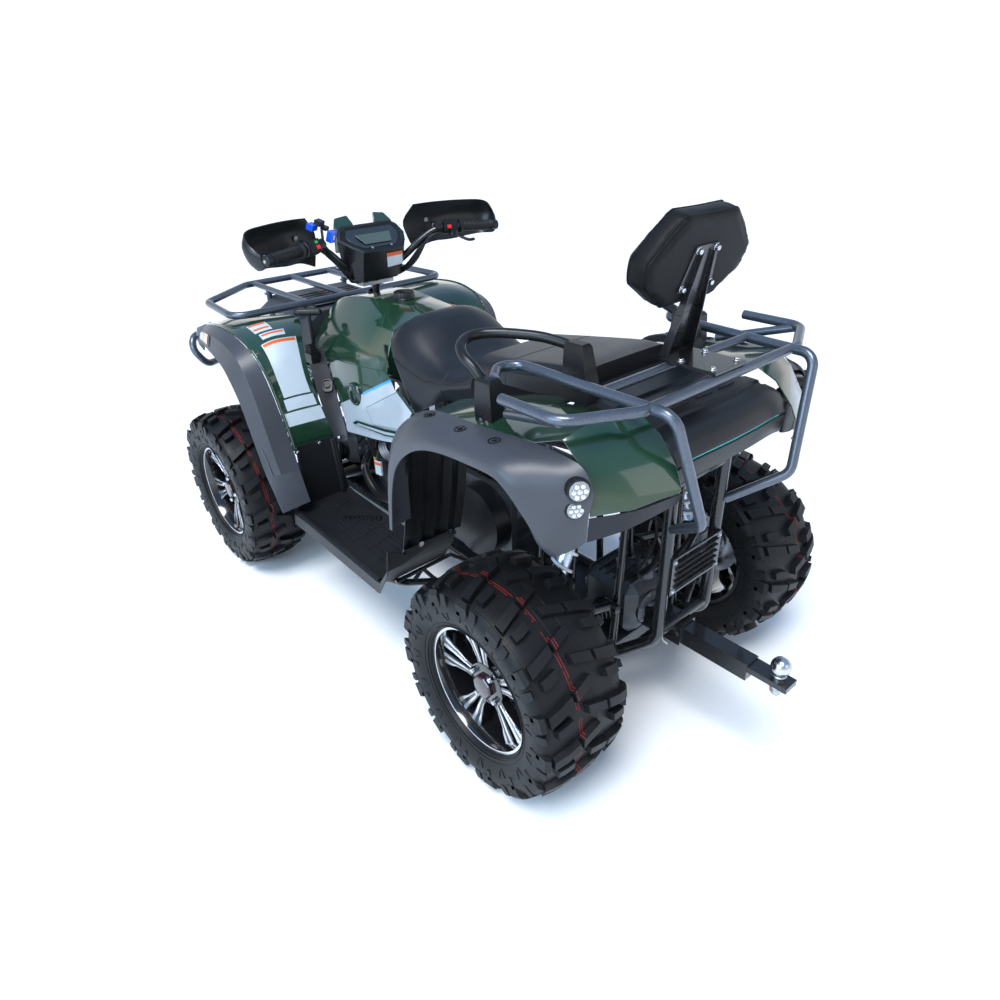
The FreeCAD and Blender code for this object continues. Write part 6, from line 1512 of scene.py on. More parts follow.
def footwells():
    shape = Shape()
    for side in (1, -1):
        grid = surface(shares(FOOTWELL), 1, 1)
        grid = [[Vector((p.x, p.y * side, p.z)) for p in row] for row in grid]
        sheet(shape, grid, -0.004 * side)
    piece = shape.build("foot_floor_skins", TRAY, "chassis", 30)
    bevelled(piece, 0.004, 3, 25)
    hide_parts("footwells")
    ribs = Shape()
    for side in (1, -1):
        put = on_side(side)

        def floor_at(x):
            return 0.3420 + 0.0058 * max(0.0, min(1.0, (x + 0.214) / 0.355))

        def rib(x0, y0, x1, y1, width=0.0055, height=0.0030):
            line = (put(x1, y1, 0) - put(x0, y0, 0)).normalized()
            beside = Vector((-line.y, line.x, 0)) * width / 2
            low = [put(x0, y0, floor_at(x0) - 0.001), put(x1, y1, floor_at(x1) - 0.001)]
            ends = [low[0] - beside, low[1] - beside, low[1] + beside, low[0] + beside]
            rise = Vector((0, 0, height + 0.001))
            top = [ends[0] + beside * 0.5 + rise, ends[1] + beside * 0.5 + rise,
                ends[2] - beside * 0.5 + rise, ends[3] - beside * 0.5 + rise]
            ribs.prism(ends, top, 0)
        # long ribs that fan out rearwards, and cross ribs under the toes
        for k in range(7):
            share = k / 6
            rib(0.235 - 0.02 * abs(k - 3), 0.330 + 0.100 * share, -0.190, 0.305 + 0.150 * share)
        for x in (0.335, 0.312, 0.289, 0.266):
            rib(x, 0.316, x - 0.010, 0.415, 0.007, 0.0034)
        for k in range(4):
            rib(0.150 - 0.075 * k, 0.302, 0.120 - 0.075 * k, 0.452, 0.005, 0.0022)
        # a slotted rubber bar across the floor
        start, end = put(0.196, 0.402, 0.351), put(0.100, 0.304, 0.351)
        line = (end - start).normalized()
        beside = Vector((-line.y, line.x, 0)) * 0.010
        for k in range(9):
            a = start + (end - start) * ((k + 0.08) / 9)
            b = start + (end - start) * ((k + 0.92) / 9)
            low = [a - beside, b - beside, b + beside, a + beside]
            ribs.prism([p - Vector((0, 0, 0.004)) for p in low], [p + Vector((0, 0, 0.006)) for p in low], 1)
        low = [start - beside * 1.3, end - beside * 1.3, end + beside * 1.3, start + beside * 1.3]
        ribs.prism([p - Vector((0, 0, 0.004)) for p in low], [p + Vector((0, 0, 0.0008)) for p in low], 1)
        # the raised roll along the outer rim, and the upright bead at the inner front corner
        ribs.tube([put(0.352, 0.489, 0.3565), put(0.300, 0.500, 0.357), put(0.140, 0.505, 0.3575),
            (-0.06, 0.507 * side, 0.354), put(-0.205, 0.509, 0.351)], 0.008, 0, count=12, steps=4,
            flat=(0.013, 0.0062))
        ribs.tube([put(0.356, 0.316, 0.574), put(0.361, 0.306, 0.46), put(0.3625, 0.298, 0.362)], 0.009, 0,
            count=12, steps=4)
        # screws on the front wall and beside it
        for x, y, z, line in ((0.357, 0.365, 0.572, (-1, 0, 0.1)), (0.352, 0.452, 0.566, (-1, 0, 0.1)),
                (0.372, 0.279, 0.560, (-0.8, 0.5 * side, 0.2))):
            place = put(x, y, z)
            ribs.turned(place, line, [(-0.002, 0.010), (0.0016, 0.010), (0.002, 0.0085)], 18, 0)
            ribs.turned(place, line, [(0.0015, 0.0055), (0.0045, 0.0052), (0.006, 0.0036)], 14, 2)
    ribs.build("foot_floor_ribs", [TRAY, TREAD, STEEL], "chassis", 40, 0.0008)


def splash_panels():
    """Black moulded panels with upright folds between the foot floor and the rear wheel."""
    shape = Shape()
    for side in (1, -1):
        rows = []
        for x_share, z in HEEL_ROWS:
            row = []
            for k in range(HEEL_FOLDS + 1):
                y_share = 0.50 + 0.425 * k / HEEL_FOLDS
                point = at(x_share + (0.006 if k % 2 else 0), y_share, z)
                row.append(Vector((point.x, point.y * side, point.z)))
            rows.append(row)
        sheet(shape, surface(rows, 3, 1), 0.004 * side)
    piece = shape.build("splash_skins", SATIN, "chassis", 20)
    bevelled(piece, 0.0030, 3, 6)
    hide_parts("heel_panels")


side_panels()
tank_fittings()
gear_lever()
footwells()
splash_panels()


# Chassis: dampers with springs, drive cases, hitch, front end and plates

def shocks():
    """A white coil spring round a silver damper at each wheel."""
    shape = Shape()
    for axle_x, wheel_y, top in ((FRONT_AXLE, 0.5055, 0.7104), (REAR_AXLE, 0.4515, 0.8093)):
        for side in (1, -1):
            low = Vector((axle_x, (wheel_y - 0.135) * side, 0.4337))
            high = Vector((axle_x, 0.1357 * side, top))
            line = (high - low).normalized()
            reach = (high - low).length
            for place in (low, high):
                shape.rod(place - Vector((0.023, 0, 0)), place + Vector((0.023, 0, 0)), 0.0143, 20, 1)
                shape.rod(place - Vector((0.027, 0, 0)), place + Vector((0.027, 0, 0)), 0.0065, 6, 3)
            body = reach * 0.56
            shape.turned(low, line, [(0.006, 0.010), (0.012, 0.021), (0.018, 0.0225), (body - 0.006, 0.0225),
                (body, 0.020), (body + 0.002, 0.0085), (reach - 0.030, 0.0085)], 28, 1)
            # threaded preload collars at the foot and a cup at the head
            for k in range(9):
                shape.turned(low + line * (0.036 + k * 0.0045), line,
                    [(0, 0.0225), (0.0015, 0.0243), (0.003, 0.0225)], 28, 1)
            shape.turned(low, line, [(0.030, 0.0225), (0.031, 0.034), (0.036, 0.034), (0.038, 0.031)], 28, 2)
            shape.turned(high, -line, [(0.012, 0.012), (0.014, 0.0335), (0.022, 0.0335), (0.026, 0.026)], 28,
                2)
            # the spring: a helix with closed ends
            start, end = 0.040, reach - 0.026
            side_dir, up_dir = across(line)
            turns = 7.5
            closed_part = 0.12
            count = 150
            route = []
            for k in range(count + 1):
                share = k / count
                closed = min(share, 1 - share) / closed_part
                ease = share
                if closed < 1:
                    ease = closed_part * closed ** 1.6
                    if share >= 0.5:
                        ease = 1 - ease
                angle = share * turns * 2 * math.pi
                place = low + line * (start + (end - start) * ease)
                route.append(place + (side_dir * math.cos(angle) + up_dir * math.sin(angle)) * 0.0290)
            shape.tube(route, 0.0048, 0, 10, 1)
    piece = shape.build("spring_dampers", [SPRING, SHOCK, BLACK, ZINC], "chassis", 40)
    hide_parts("shock_absorbers")


BALL_X = -1.2175
CASE_HEIGHT = 0.330
CASE_REACH = 0.0950


def drive_details():
    """Ribs, covers and bolts on the two gear cases, and the hitch's nut."""
    shape = Shape()
    for axle_x in (REAR_AXLE, FRONT_AXLE):
        # round covers on both ends with bolts round them
        for line, x in ((-1, axle_x - CASE_REACH), (1, axle_x + CASE_REACH)):
            shape.turned((x - 0.004 * line, 0, CASE_HEIGHT), (line, 0, 0),
                [(0, 0.052), (0.009, 0.052), (0.012, 0.047), (0.018, 0.030), (0.026, 0.028), (0.030, 0.022)],
                32, 0)
            for k in range(6):
                angle = k * math.pi / 3 + 0.3
                spot = (x + 0.005 * line, math.cos(angle) * 0.044, CASE_HEIGHT + math.sin(angle) * 0.044)
                shape.bolt(spot, (line, 0, 0), 0.0052, 0.005, 1)
        for k in range(6):
            x = axle_x - 0.070 + 0.028 * k
            shape.box((x - 0.002, -0.066, 0.413), (x + 0.002, 0.066, 0.4225))
        shape.rod((axle_x + 0.02, 0, 0.415), (axle_x + 0.02, 0, 0.436), 0.010, 12, 1, 0.002)
        for side in (1, -1):
            # ribbed boots on the half shafts
            for place, size in ((0.082, 0.036), (0.094, 0.032), (0.106, 0.028), (0.118, 0.0245),
                    (0.130, 0.021)):
                shape.turned((axle_x, place * side, AXLE_HEIGHT), (0, side, 0),
                    [(-0.005, size - 0.004), (0, size + 0.004), (0.005, size - 0.004)], 24, 2)
    # washer and nut under the tow ball, and the washer above the drawbar
    shape.turned((BALL_X, 0, 0.3085), (0, 0, -1), [(0, 0.0185), (0.0028, 0.0185), (0.003, 0.016)], 24, 1)
    shape.turned((BALL_X, 0, 0.3055), (0, 0, -1), [(0, 0.0165), (0.0145, 0.0165), (0.016, 0.014)], 6, 1)
    shape.turned((BALL_X, 0, 0.294), (0, 0, -1), [(0, 0.0098), (0.010, 0.0098), (0.0115, 0.008)], 16, 1)
    shape.turned((BALL_X, 0, 0.3445), (0, 0, 1), [(0, 0.0185), (0.003, 0.0185), (0.005, 0.0165)], 24, 1)
    # the hitch pin with its clip
    shape.rod((-0.905, -0.046, 0.317), (-0.905, 0.046, 0.317), 0.0062, 14, 1, 0.001)
    shape.tube([(-0.905, 0.046, 0.317), (-0.905, 0.056, 0.313), (-0.912, 0.058, 0.300),
        (-0.925, 0.054, 0.292)], 0.0045, 1, 10, 4)
    shape.build("drive_details", [ENGINE, ZINC, HOSE], "chassis", 35, 0.0006)


def rear_fittings():
    """Louvres, gussets, hoses and actuators between the rear uprights."""
    shape = Shape()
    for k in range(5):
        z = 0.505 + 0.0185 * k
        shape.prism([Vector((-0.9500, y, z)) for y in (-0.088, 0.088)]
            + [Vector((-0.9475, y, z)) for y in (0.088, -0.088)],
            [Vector((-0.9545, y, z + 0.0075)) for y in (-0.086, 0.086)]
            + [Vector((-0.9475, y, z + 0.0095)) for y in (0.086, -0.086)], 0)
    for y in (-0.095, 0.095):
        for z in (0.500, 0.590):
            shape.bolt((-0.9470, y, z), (-1, 0, 0), 0.0045, 0.004, 1)
    # gussets where the uprights meet the rails
    for y in (-1, 1):
        for heights, tip_x, tip_z in (((0.640, 0.700), -0.875, 0.705), ((0.395, 0.335), -0.860, 0.300)):
            walls = []
            for wall in (0.105 * y, 0.099 * y):
                walls.append([Vector((-0.925, wall, z)) for z in heights] + [Vector((tip_x, wall, tip_z))])
            shape.prism(*walls, 0)
    # hoses and a wiring loom
    for y, x, radius in ((0.062, -0.880, 0.0085), (0.046, -0.872, 0.0055), (-0.058, -0.885, 0.007),
            (0.085, -0.862, 0.0045)):
        shape.tube([(x + 0.03, y, 0.775), (x - 0.012, y + 0.012, 0.700), (x - 0.004, y - 0.012, 0.610),
            (x + 0.022, y + 0.004, 0.520), (x + 0.090, y * 0.6, 0.440)], radius, 2, 10, 6)
    # a silver actuator with its black plug beside the gear case
    shape.turned((-0.818, 0.034, 0.452), (0.1, 0, 1), [(0, 0.020), (0.004, 0.024), (0.040, 0.024),
        (0.046, 0.019), (0.062, 0.017)], 24, 3)
    shape.turned((-0.812, 0.034, 0.512), (0.1, 0, 1), [(0, 0.013), (0.022, 0.013), (0.025, 0.010)], 16, 2)
    shape.turned((-0.850, -0.040, 0.430), (-0.2, 0, 1), [(0, 0.026), (0.010, 0.030), (0.052, 0.030),
        (0.060, 0.024)], 24, 3)
    shape.build("rear_fittings", [BLACK, ZINC, HOSE, ENGINE], "chassis", 35, 0.0008)


def along_rows(rows, place):
    """A point of the smooth curve through a list of points, at a place counted in points."""
    k = min(max(int(place), 0), len(rows) - 2)
    before = rows[k - 1] if k else rows[k] * 2 - rows[k + 1]
    after = rows[k + 2] if k + 2 < len(rows) else rows[k + 1] * 2 - rows[k]
    return spline_point(before, rows[k], rows[k + 1], after, place - k)


def panel_point(rows, u, v):
    """A point of a body panel, at a place counted in rows and columns."""
    return along_rows([along_rows(row, v) for row in rows], u)


def panel_normal(rows, u, v, step):
    """The direction square to a body panel."""
    along = panel_point(rows, u + step, v) - panel_point(rows, u - step, v)
    return along.cross(panel_point(rows, u, v + step) - panel_point(rows, u, v - step)).normalized()


def film(shape, table, window, index, side=1, lift=0.0007, steps=(14, 8)):
    """A thin plate that follows a body panel: its window is given in rows and columns of the table."""
    rows = shares(table)
    (u0, u1), (v0, v1) = window
    grid = []
    for i in range(steps[0] + 1):
        u = u0 + (u1 - u0) * i / steps[0]
        grid.append([])
        for j in range(steps[1] + 1):
            v = v0 + (v1 - v0) * j / steps[1]
            middle = panel_point(rows, u, v)
            normal = panel_normal(rows, u, v, 0.02)
            if normal.dot(middle - Vector((middle.x - 0.2, 0, 0.3))) < 0:
                normal = -normal
            placed = middle + normal * lift
            grid[-1].append(Vector((placed.x, placed.y * side, placed.z)))
    facing = (grid[1][0] - grid[0][0]).cross(grid[0][1] - grid[0][0])
    outward = facing.dot(grid[0][0] - Vector((grid[0][0].x - 0.2, 0, 0.3))) > 0
    sheet(shape, grid, (0.0009 if outward else -0.0009), index)


def plates():
    """Blank plates with orange bands, and the pale band across the front fender."""
    shape = Shape()
    for window, index, lift in ((((1.78, 3.20), (0.22, 1.52)), 0, 0.0006),
            (((3.07, 3.17), (0.26, 1.48)), 1, 0.0018), (((1.57, 1.75), (0.15, 1.60)), 0, 0.0006),
            (((1.67, 1.72), (0.22, 0.90)), 1, 0.0018), (((3.34, 3.60), (0.52, 1.33)), 0, 0.0006),
            (((3.47, 3.54), (0.56, 1.29)), 1, 0.0018), (((3.70, 4.20), (0.80, 1.40)), 0, 0.0006),
            (((3.82, 3.90), (0.84, 1.36)), 1, 0.0018), (((4.10, 4.17), (0.84, 1.36)), 1, 0.0018),
            (((1.32, 1.54), (0.04, 1.90)), 0, 0.0006)):
        film(shape, FRONT_FENDER, window, index, 1, lift)
    for window, index, lift in ((((0.40, 1.33), (0.66, 1.52)), 0, 0.0006),
            (((0.43, 1.30), (0.69, 0.82)), 1, 0.0018), (((0.43, 1.30), (1.15, 1.26)), 1, 0.0018)):
        film(shape, TANK, window, index, -1, lift)
    shape.build("blank_plates", [PLATE_WHITE, PLATE_ORANGE], "chassis", 30)


def fender_ribbon():
    """A raised edge along the fender where it meets the flare, and the rim of the flare's lower piece."""
    shape = Shape()
    for side in (1, -1):
        line = [row[2] for row in shares(FRONT_FENDER)]
        route = [Vector((p.x, (p.y - 0.006) * side, p.z + 0.001)) for p in line]
        shape.tube(route, 0.004, 0, 8, 4, flat=(0.0045, 0.0045))
        # the lower rear piece of the flare, with its curved top rim
        top = [Vector((x, y * side, z)) for x, y, z in ((0.372, 0.5635, 0.604), (0.352, 0.5632, 0.578),
            (0.336, 0.5630, 0.548), (0.3315, 0.559, 0.520))]
        shape.tube(top, 0.0035, 1, 8, 4)
    shape.build("fender_edges", [GREEN, CHARCOAL], "chassis", 50)


def flare_recesses():
    """Round recesses with screws along the top of the rear flares, and screws on the black panels."""
    shape = Shape()
    rows = shares(REAR_FLARE)
    for side in (1, -1):
        for u, v in ((4.1, 0.42), (5.0, 0.62), (6.0, 0.60)):
            middle = panel_point(rows, u, v)
            normal = panel_normal(rows, u, v, 0.05)
            if normal.z < 0:
                normal = -normal
            place = Vector((middle.x, middle.y * side, middle.z))
            line = Vector((normal.x, normal.y * side, normal.z))
            shape.turned(place - line * 0.002, line, [(0, 0.0150), (0.0034, 0.0150), (0.0040, 0.0140),
                (0.0036, 0.0118), (0.0014, 0.0112)], 24, 0)
            shape.turned(place - line * 0.001, line, [(0, 0.0062), (0.0046, 0.0060), (0.0056, 0.0042)], 12, 1)
        for x, y, z in ((-0.298, 0.462, 0.470), (-0.3000, 0.405, 0.474), (-0.302, 0.300, 0.474)):
            shape.turned(Vector((x + 0.010, y * side, z)), (1, 0, 0.05),
                [(0, 0.0085), (0.0016, 0.0085), (0.002, 0.0062), (0.006, 0.0055), (0.0085, 0.003)], 16, 2)
    shape.build("flare_screws", [SATIN, BLACK, STEEL], "chassis", 40)


def front_end():
    """Head lamps, corner lamps with amber reflectors, and the nose's grille."""
    clear = lens("lamp_glass", (0.26, 0.28, 0.31), 0.06)
    amber, tree, principled = shader("amber_glass", (0.85, 0.30, 0.010), 0.12, coat=1.0)
    cells = node(tree, "ShaderNodeTexVoronoi", {"Vector": place_of(tree), "Scale": 240}).outputs["Distance"]
    bump(tree, principled, cells, 0.3, 0.001)
    varied(tree, principled, (0.85, 0.30, 0.010), 0.1, 90)
    shape = Shape()
    for window, index, lift in ((((6.60, 7.05), (1.06, 1.70)), 1, 0.0030),
            (((6.10, 6.55), (1.06, 1.70)), 2, 0.0030), (((5.98, 7.15), (1.00, 1.80)), 3, 0.0014)):
        for side in (1, -1):
            film(shape, FRONT_FLARE, window, index, side, lift, (6, 6))
    for side in (1, -1):
        put = on_side(side)
        frame_ring = [put(1.1635, 0.090, 0.640), put(1.1640, 0.190, 0.642), put(1.1600, 0.186, 0.694),
            put(1.1600, 0.096, 0.698)]
        out = Vector((0.016, 0, 0))
        shape.prism(frame_ring, [p + out for p in frame_ring], 0)
        middle = sum(frame_ring, Vector()) / 4
        glass = [middle + (p - middle) * 0.86 + out for p in frame_ring]
        shape.prism(glass, [middle + (p - middle) * 0.74 + out * 1.25 for p in frame_ring], 1)
    # corner lamps on the ends of the front flares
    for side in (1, -1):
        low = [Vector((x, y * side, z)) for x, y, z in ((0.995, 0.487, 0.826), (0.995, 0.415, 0.858),
            (1.105, 0.385, 0.800), (1.122, 0.440, 0.764))]
        high = [Vector((x, y * side, z)) for x, y, z in ((1.000, 0.478, 0.872), (1.000, 0.420, 0.884),
            (1.100, 0.395, 0.858), (1.124, 0.440, 0.838))]
        shape.prism(low, [a + (b - a) * 0.35 for a, b in zip(low, high)], 3)
        shape.prism([a + (b - a) * 0.35 for a, b in zip(low, high)], high, 1)
        # a bright cell and a black one on the lens
        outer = [low[0], low[3], high[3], high[0]]

        def on_face(share, rise):
            foot = outer[0].lerp(outer[1], share)
            return foot.lerp(outer[3].lerp(outer[2], share), rise)

        for k in (0, 1):
            start, end = 0.14 + 0.38 * k, 0.44 + 0.38 * k
            cell = [on_face(start, 0.45), on_face(end, 0.45), on_face(end, 0.88), on_face(start, 0.88)]
            away = (cell[1] - cell[0]).cross(cell[3] - cell[0]).normalized() * 0.0015
            if away.y * side < 0:
                away = -away
            shape.prism([p - away for p in cell], [p + away for p in cell], 0 if k else 4)
    # grille bars across the nose
    for k in range(5):
        z = 0.632 + 0.016 * k
        shape.rod((1.1630, -0.086, z), (1.1630, 0.086, z), 0.0035, 10, 0)
    # a ribbed panel on top of the nose, below the rack
    for k in range(7):
        x = 0.700 + 0.032 * k
        shape.box((x - 0.008, -0.130, 0.9395), (x + 0.008, 0.130, 0.9450))
    piece = shape.build("front_lamps", [SATIN, clear, amber, CHARCOAL, MACHINED], "chassis", 35,
        0.0008)
    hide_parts("headlamps")


def rack_details():
    """Weld beads at the racks' joints, and the small tabs on their legs."""
    shape = Shape()

    def bead(place, line, radius):
        side, up = across(line)
        ring = [Vector(place) + (side * math.cos(a) + up * math.sin(a)) * radius
            for a in (2 * math.pi * k / 14 for k in range(14))]
        shape.tube(ring, 0.0026, 0, 6, 2, closed=True)

    for y_share in (0.34, 0.0, -0.34):
        for x_share, reach in ((0.944, 0.013), (1.248, -0.013)):
            place = at(x_share, y_share, 0.965)
            bead(place + Vector((reach, 0, 0)), (1, 0, 0), 0.0088)
    for y in (0.28, -0.28):
        place = at(-0.081, 0, 1.058)
        bead(Vector((place.x, y * 0.985, place.z)), (0, 1, 0), 0.0090)
    for side in (1, -1):
        for x_share in (0.97, 1.16):
            place = at(x_share, 0.34 * side, 0.944)
            shape.turned(place, (0, 0, 1), [(0, 0.017), (0.003, 0.017), (0.0045, 0.012)], 18, 0)
            shape.bolt(place + Vector((0.012, 0.012 * side, 0.002)), (0, 0, 1), 0.004, 0.003, 1)
    shape.build("rack_welds", [RACK, ZINC], "chassis", 40)


shocks()
drive_details()
rear_fittings()
plates()
fender_ribbon()
flare_recesses()
front_end()
rack_details()


# Engine: castings, fins and covers, the hoses beside it, and the plate on the pod

PLATE_ON_POD = [(0.3987, -0.0135, 1.1471), (0.3982, -0.0754, 1.1486), (0.4147, -0.084, 1.1031),
    (0.4165, -0.0236, 1.0983)]


def cooled_cylinder(shape, low, high, middle, size):
    """A finned cylinder standing on the crankcase."""
    fins = 9
    for k in range(fins):
        z = low + (high - low) * k / fins
        shape.box((middle - size, -size, z), (middle + size, size, z + 0.0045), 0)
    core = size * 0.82
    shape.box((middle - core, -core, low), (middle + core, core, high), 0)


def engine_unit():
    shape = Shape()
    shape.box((-0.345, -0.100, 0.252), (0.008, 0.100, 0.275), 0)
    shape.box((-0.3845, -0.118, 0.270), (0.0455, 0.118, 0.400), 0)
    shape.box((-0.350, -0.108, 0.400), (0.010, 0.108, 0.452), 0)
    # the left plate that carries the belt cover
    shape.box((-0.3845, 0.112, 0.3405), (0.0455, 0.1353, 0.5705), 0)
    cooled_cylinder(shape, 0.452, 0.562, -0.075, 0.074)
    shape.box((-0.150, -0.070, 0.562), (0.000, 0.070, 0.600), 0)
    shape.box((-0.140, -0.058, 0.600), (-0.010, 0.058, 0.620), 0)
    for x in (-0.132, -0.018):
        for y in (-0.050, 0.050):
            shape.bolt((x, y, 0.6195), (0, 0, 1), 0.0055, 0.0024, 1)
    # ribs round the crankcase
    for k in range(11):
        x = -0.360 + 0.036 * k
        for y in (-0.1225, 0.1185):
            shape.box((x, y, 0.285), (x + 0.005, y + 0.004, 0.385), 0)
        shape.box((x, -0.095, 0.2535), (x + 0.005, 0.095, 0.2565), 0)
    # round covers on the right, bolted round their rims
    for x, z, radius in ((-0.100, 0.365, 0.086), (-0.285, 0.350, 0.062)):
        shape.turned((x, -0.112, z), (0, -1, 0), [(0, radius), (0.012, radius), (0.016, radius * 0.93),
            (0.018, radius * 0.62), (0.022, radius * 0.58), (0.0225, radius * 0.1)], 40, 0)
        for k in range(8):
            angle = k * math.pi / 4 + 0.2
            shape.bolt((x + math.cos(angle) * radius * 0.90, -0.126, z + math.sin(angle) * radius * 0.90),
                (0, -1, 0), 0.0050, 0.0050, 1)
    # starter motor, oil filler, drain plug and carburettor throat
    shape.turned((-0.030, -0.030, 0.425), (1, 0, 0), [(0, 0.027), (0.062, 0.027), (0.067, 0.022),
        (0.073, 0.012)], 24, 2)
    shape.turned((-0.255, -0.060, 0.452), (0, 0, 1), [(0, 0.017), (0.016, 0.017), (0.020, 0.013)], 12, 2)
    shape.turned((-0.180, 0, 0.256), (0, 0, -1), [(0, 0.013), (0.003, 0.012)], 6, 1)
    shape.turned((-0.149, 0.0, 0.520), (-1, 0, 0.25), [(0, 0.026), (0.018, 0.026), (0.020, 0.032),
        (0.060, 0.032), (0.064, 0.024)], 28, 3)
    shape.box((-0.245, -0.030, 0.486), (-0.205, 0.030, 0.560), 3)
    piece = shape.build("engine_castings", [ENGINE, ZINC, BLACK, CAST], "chassis", 30, 0.004,
        3)
    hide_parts("engine")


def ducts_and_hoses():
    """A silver clamp on a black air duct with a blank plate, a coolant hose, and a wiring plug."""
    shape = Shape()
    duct = [(0.110, 0.100, 0.560), (0.180, 0.140, 0.552), (0.236, 0.170, 0.512), (0.236, 0.180, 0.440),
        (0.200, 0.170, 0.380)]
    clamp, clamp_line = (0.222, 0.162, 0.528), (0.06, 0.030, -0.045)
    shape.tube(duct, 0.033, 0, 20, 6)
    for k in range(5):
        place = Vector(duct[2]).lerp(Vector(duct[3]), 0.15 + 0.17 * k)
        line = (Vector(duct[3]) - Vector(duct[2])).normalized()
        shape.turned(place, line, [(-0.003, 0.032), (0, 0.0365), (0.003, 0.032)], 24, 0)
    shape.turned(clamp, clamp_line,
        [(-0.020, 0.034), (-0.018, 0.043), (0.018, 0.043), (0.020, 0.034)], 28, 1)
    for k in range(3):
        shape.turned(clamp, clamp_line,
            [(-0.013 + 0.011 * k, 0.043), (-0.010 + 0.011 * k, 0.046), (-0.007 + 0.011 * k, 0.043)], 28, 1)
    plate = [Vector(p) for p in ((0.262, 0.2120, 0.484), (0.218, 0.2150, 0.492), (0.214, 0.2170, 0.440),
        (0.258, 0.2140, 0.432))]
    out = Vector((-0.2, 0.97, 0.12)).normalized()
    shape.prism([p - out * 0.010 for p in plate], plate, 2)
    band = [plate[0].lerp(plate[3], 0.06), plate[1].lerp(plate[2], 0.06), plate[1].lerp(plate[2], 0.28),
        plate[0].lerp(plate[3], 0.28)]
    shape.prism([p - out * 0.002 for p in band], [p + out * 0.0006 for p in band], 3)
    # coolant hose that dips past the frame rail to the engine's front
    shape.tube([(0.420, 0.130, 0.440), (0.400, 0.175, 0.395), (0.330, 0.185, 0.330), (0.240, 0.180, 0.318),
        (0.150, 0.150, 0.340), (0.040, 0.110, 0.372)], 0.0145, 0, 16, 6)
    for place in ((0.400, 0.175, 0.395), (0.150, 0.150, 0.340)):
        shape.turned(place, (-0.8, 0.0, -0.2), [(-0.005, 0.0148), (-0.005, 0.0165), (0.005, 0.0165),
            (0.005, 0.0148)], 20, 4)
    # wiring with a yellow plug
    for k in range(3):
        y = 0.150 + 0.008 * k
        shape.tube([(0.380, y, 0.600), (0.350, y + 0.012, 0.540), (0.318, y + 0.010, 0.470),
            (0.290, y - 0.010, 0.400), (0.240, y - 0.040, 0.360)], 0.0032, 0, 8, 5)
    shape.box((0.312, 0.168, 0.452), (0.324, 0.178, 0.466), 5)
    shape.box((0.310, 0.166, 0.432), (0.326, 0.180, 0.452), 0)
    yellow = moulded("yellow_plug", (0.40, 0.34, 0.06), 0.4)
    shape.build("ducts_and_hoses", [HOSE, CAST, PLATE_WHITE, PLATE_ORANGE, ZINC, yellow], "chassis", 40,
        0.001)


def pod_plate():
    """A blank plate on the pod's rear face."""
    shape = Shape()
    plate = [Vector(p) for p in PLATE_ON_POD]
    out = Vector((-0.940, 0.0, -0.342))
    shape.prism([p - out * 0.003 for p in plate], [p + out * 0.0010 for p in plate], 0)
    band = [plate[0], plate[1], plate[1].lerp(plate[2], 0.24), plate[0].lerp(plate[3], 0.24)]
    shape.prism([p - out * 0.002 for p in band], [p + out * 0.0016 for p in band], 1)
    shape.build("pod_plate", [PLATE_WHITE, PLATE_ORANGE], "steering", 30)


engine_unit()
ducts_and_hoses()
pod_plate()

LOOK = {
    "frame": BLACK, "suspension_arms": BLACK, "rear_hubs": CAST, "driveline": ENGINE,
    "shock_absorbers": SHOCK, "engine": ENGINE, "belt_cover": SATIN, "muffler": BLACK,
    "skid_plate": CHARCOAL, "tank_cover": GREEN, "rider_seat": VINYL, "tail_tray": TRAY,
    "passenger_seat": VINYL, "nose": CHARCOAL, "front_fenders": GREEN, "front_flares": CHARCOAL,
    "rear_fenders": GREEN, "rear_flares": CHARCOAL, "side_panels": GREEN, "heel_panels": SATIN,
    "footwells": CHARCOAL, "rear_rack": RACK, "front_rack": RACK, "front_bumper": RACK, "receiver": BLACK,
    "drawbar": BLACK, "tow_ball": STEEL, "grab_handles": SATIN, "backrest_post": BLACK,
    "backrest_pad": PAD_VINYL, "tail_lamps": SATIN, "headlamps": SATIN, "fuel_cap": SATIN,
    "steering_column": BLACK, "handlebar": BLACK, "hand_controls": GRIP, "instrument_pod": SATIN,
    "hand_guards": SATIN, "rear_valances": VALANCE, "inner_fairings": CHARCOAL, "gear_lever": SATIN,
    "rear_grille": BLACK, "left_knuckle": CAST, "right_knuckle": CAST, "left_tie_rod": ZINC,
    "right_tie_rod": ZINC,
}
for name, material in LOOK.items():
    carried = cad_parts[name]
    carried.data.materials.clear()
    carried.data.materials.append(material)


# Floor, light and camera

PALE_GREY = (0.90, 0.90, 0.90)
FLOOR_RADIUS = 60
# The fitted camera: place, then yaw, pitch and roll in degrees, and the lens in millimetres
CAMERA_PLACE = (-1.7742, 1.3752, 1.6075)
CAMERA_TURN = (-40.706, -29.455, -1.530)
CAMERA_LENS = 25.739


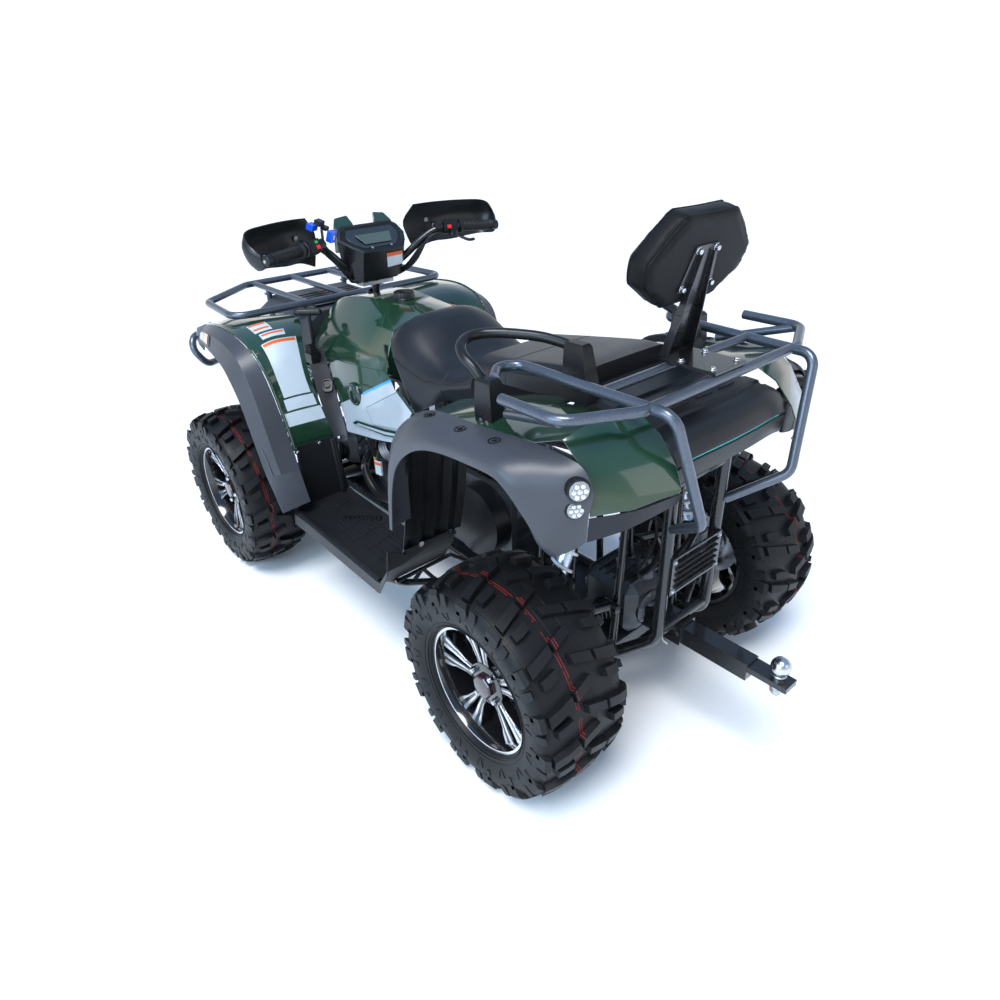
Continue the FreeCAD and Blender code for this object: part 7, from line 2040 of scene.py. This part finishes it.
def stage_and_camera():
    floor_material = toned("pale_floor", PALE_GREY, 0.75, PALE_GREY, 0.01, 0.4)
    count = 64
    turns = [2 * math.pi * k / count for k in range(count)]
    ring = [(math.cos(a) * FLOOR_RADIUS, math.sin(a) * FLOOR_RADIUS, 0) for a in turns]
    mesh = bpy.data.meshes.new("floor")
    mesh.from_pydata(ring, [], [tuple(range(count))])
    mesh.materials.append(floor_material)
    piece = bpy.data.objects.new("floor", mesh)
    bpy.context.scene.collection.objects.link(piece)
    world = bpy.data.worlds.new("studio")
    bpy.context.scene.world = world
    world.use_nodes = True
    tree = world.node_tree
    background = tree.nodes["Background"]
    direction = node(tree, "ShaderNodeTexCoord").outputs["Generated"]
    height = node(tree, "ShaderNodeSeparateXYZ", {"Vector": direction}).outputs["Z"]
    sky = ramp(tree, height, [(0.0, (1.0, 1.0, 1.0)), (0.14, (1.0, 1.0, 1.0)), (0.22, (0.60, 0.64, 0.69)),
        (0.50, (0.30, 0.42, 0.60)), (1.0, (0.22, 0.40, 0.72))])
    tree.links.new(sky, background.inputs["Color"])
    background.inputs["Strength"].default_value = 1.02

    def softbox(name, place, target, size, power, colour=(1, 1, 1)):
        light = bpy.data.lights.new(name, "AREA")
        light.shape = "RECTANGLE"
        light.size, light.size_y = size
        light.energy = power
        light.color = colour
        lamp = bpy.data.objects.new(name, light)
        bpy.context.scene.collection.objects.link(lamp)
        lamp.location = place
        lamp.rotation_euler = (Vector(target) - Vector(place)).to_track_quat("-Z", "Y").to_euler()

    sun = bpy.data.lights.new("sky_light", "SUN")
    sun.energy = 3.1
    sun.angle = math.radians(28)
    lamp = bpy.data.objects.new("sky_light", sun)
    bpy.context.scene.collection.objects.link(lamp)
    lamp.rotation_euler = Vector((0.20, -0.42, -1.0)).to_track_quat("-Z", "Y").to_euler()
    softbox("side", (-1.0, 4.2, 2.6), (0.1, 0, 0.5), (3.4, 2.0), 140, (0.52, 0.76, 1.0))
    softbox("back", (-4.4, -0.6, 2.2), (-0.8, 0, 0.5), (2.4, 1.4), 10, (1.0, 0.98, 0.95))

    camera = bpy.data.objects.new("camera", bpy.data.cameras.new("camera"))
    bpy.context.scene.collection.objects.link(camera)
    camera.data.sensor_width = 36
    camera.data.lens = CAMERA_LENS
    camera.data.clip_start, camera.data.clip_end = 0.05, 200
    yaw, pitch, roll = (math.radians(d) for d in CAMERA_TURN)
    ahead = Vector((math.cos(pitch) * math.cos(yaw), math.cos(pitch) * math.sin(yaw), math.sin(pitch)))
    level = ahead.cross(Vector((0, 0, 1))).normalized()
    above = level.cross(ahead)
    right = level * math.cos(roll) + above * math.sin(roll)
    up = above * math.cos(roll) - level * math.sin(roll)
    turn = Matrix((right, up, -ahead)).transposed().to_4x4()
    camera.matrix_world = Matrix.Translation(CAMERA_PLACE) @ turn
    bpy.context.scene.camera = camera
    bpy.context.scene.view_settings.view_transform = "Standard"


stage_and_camera()
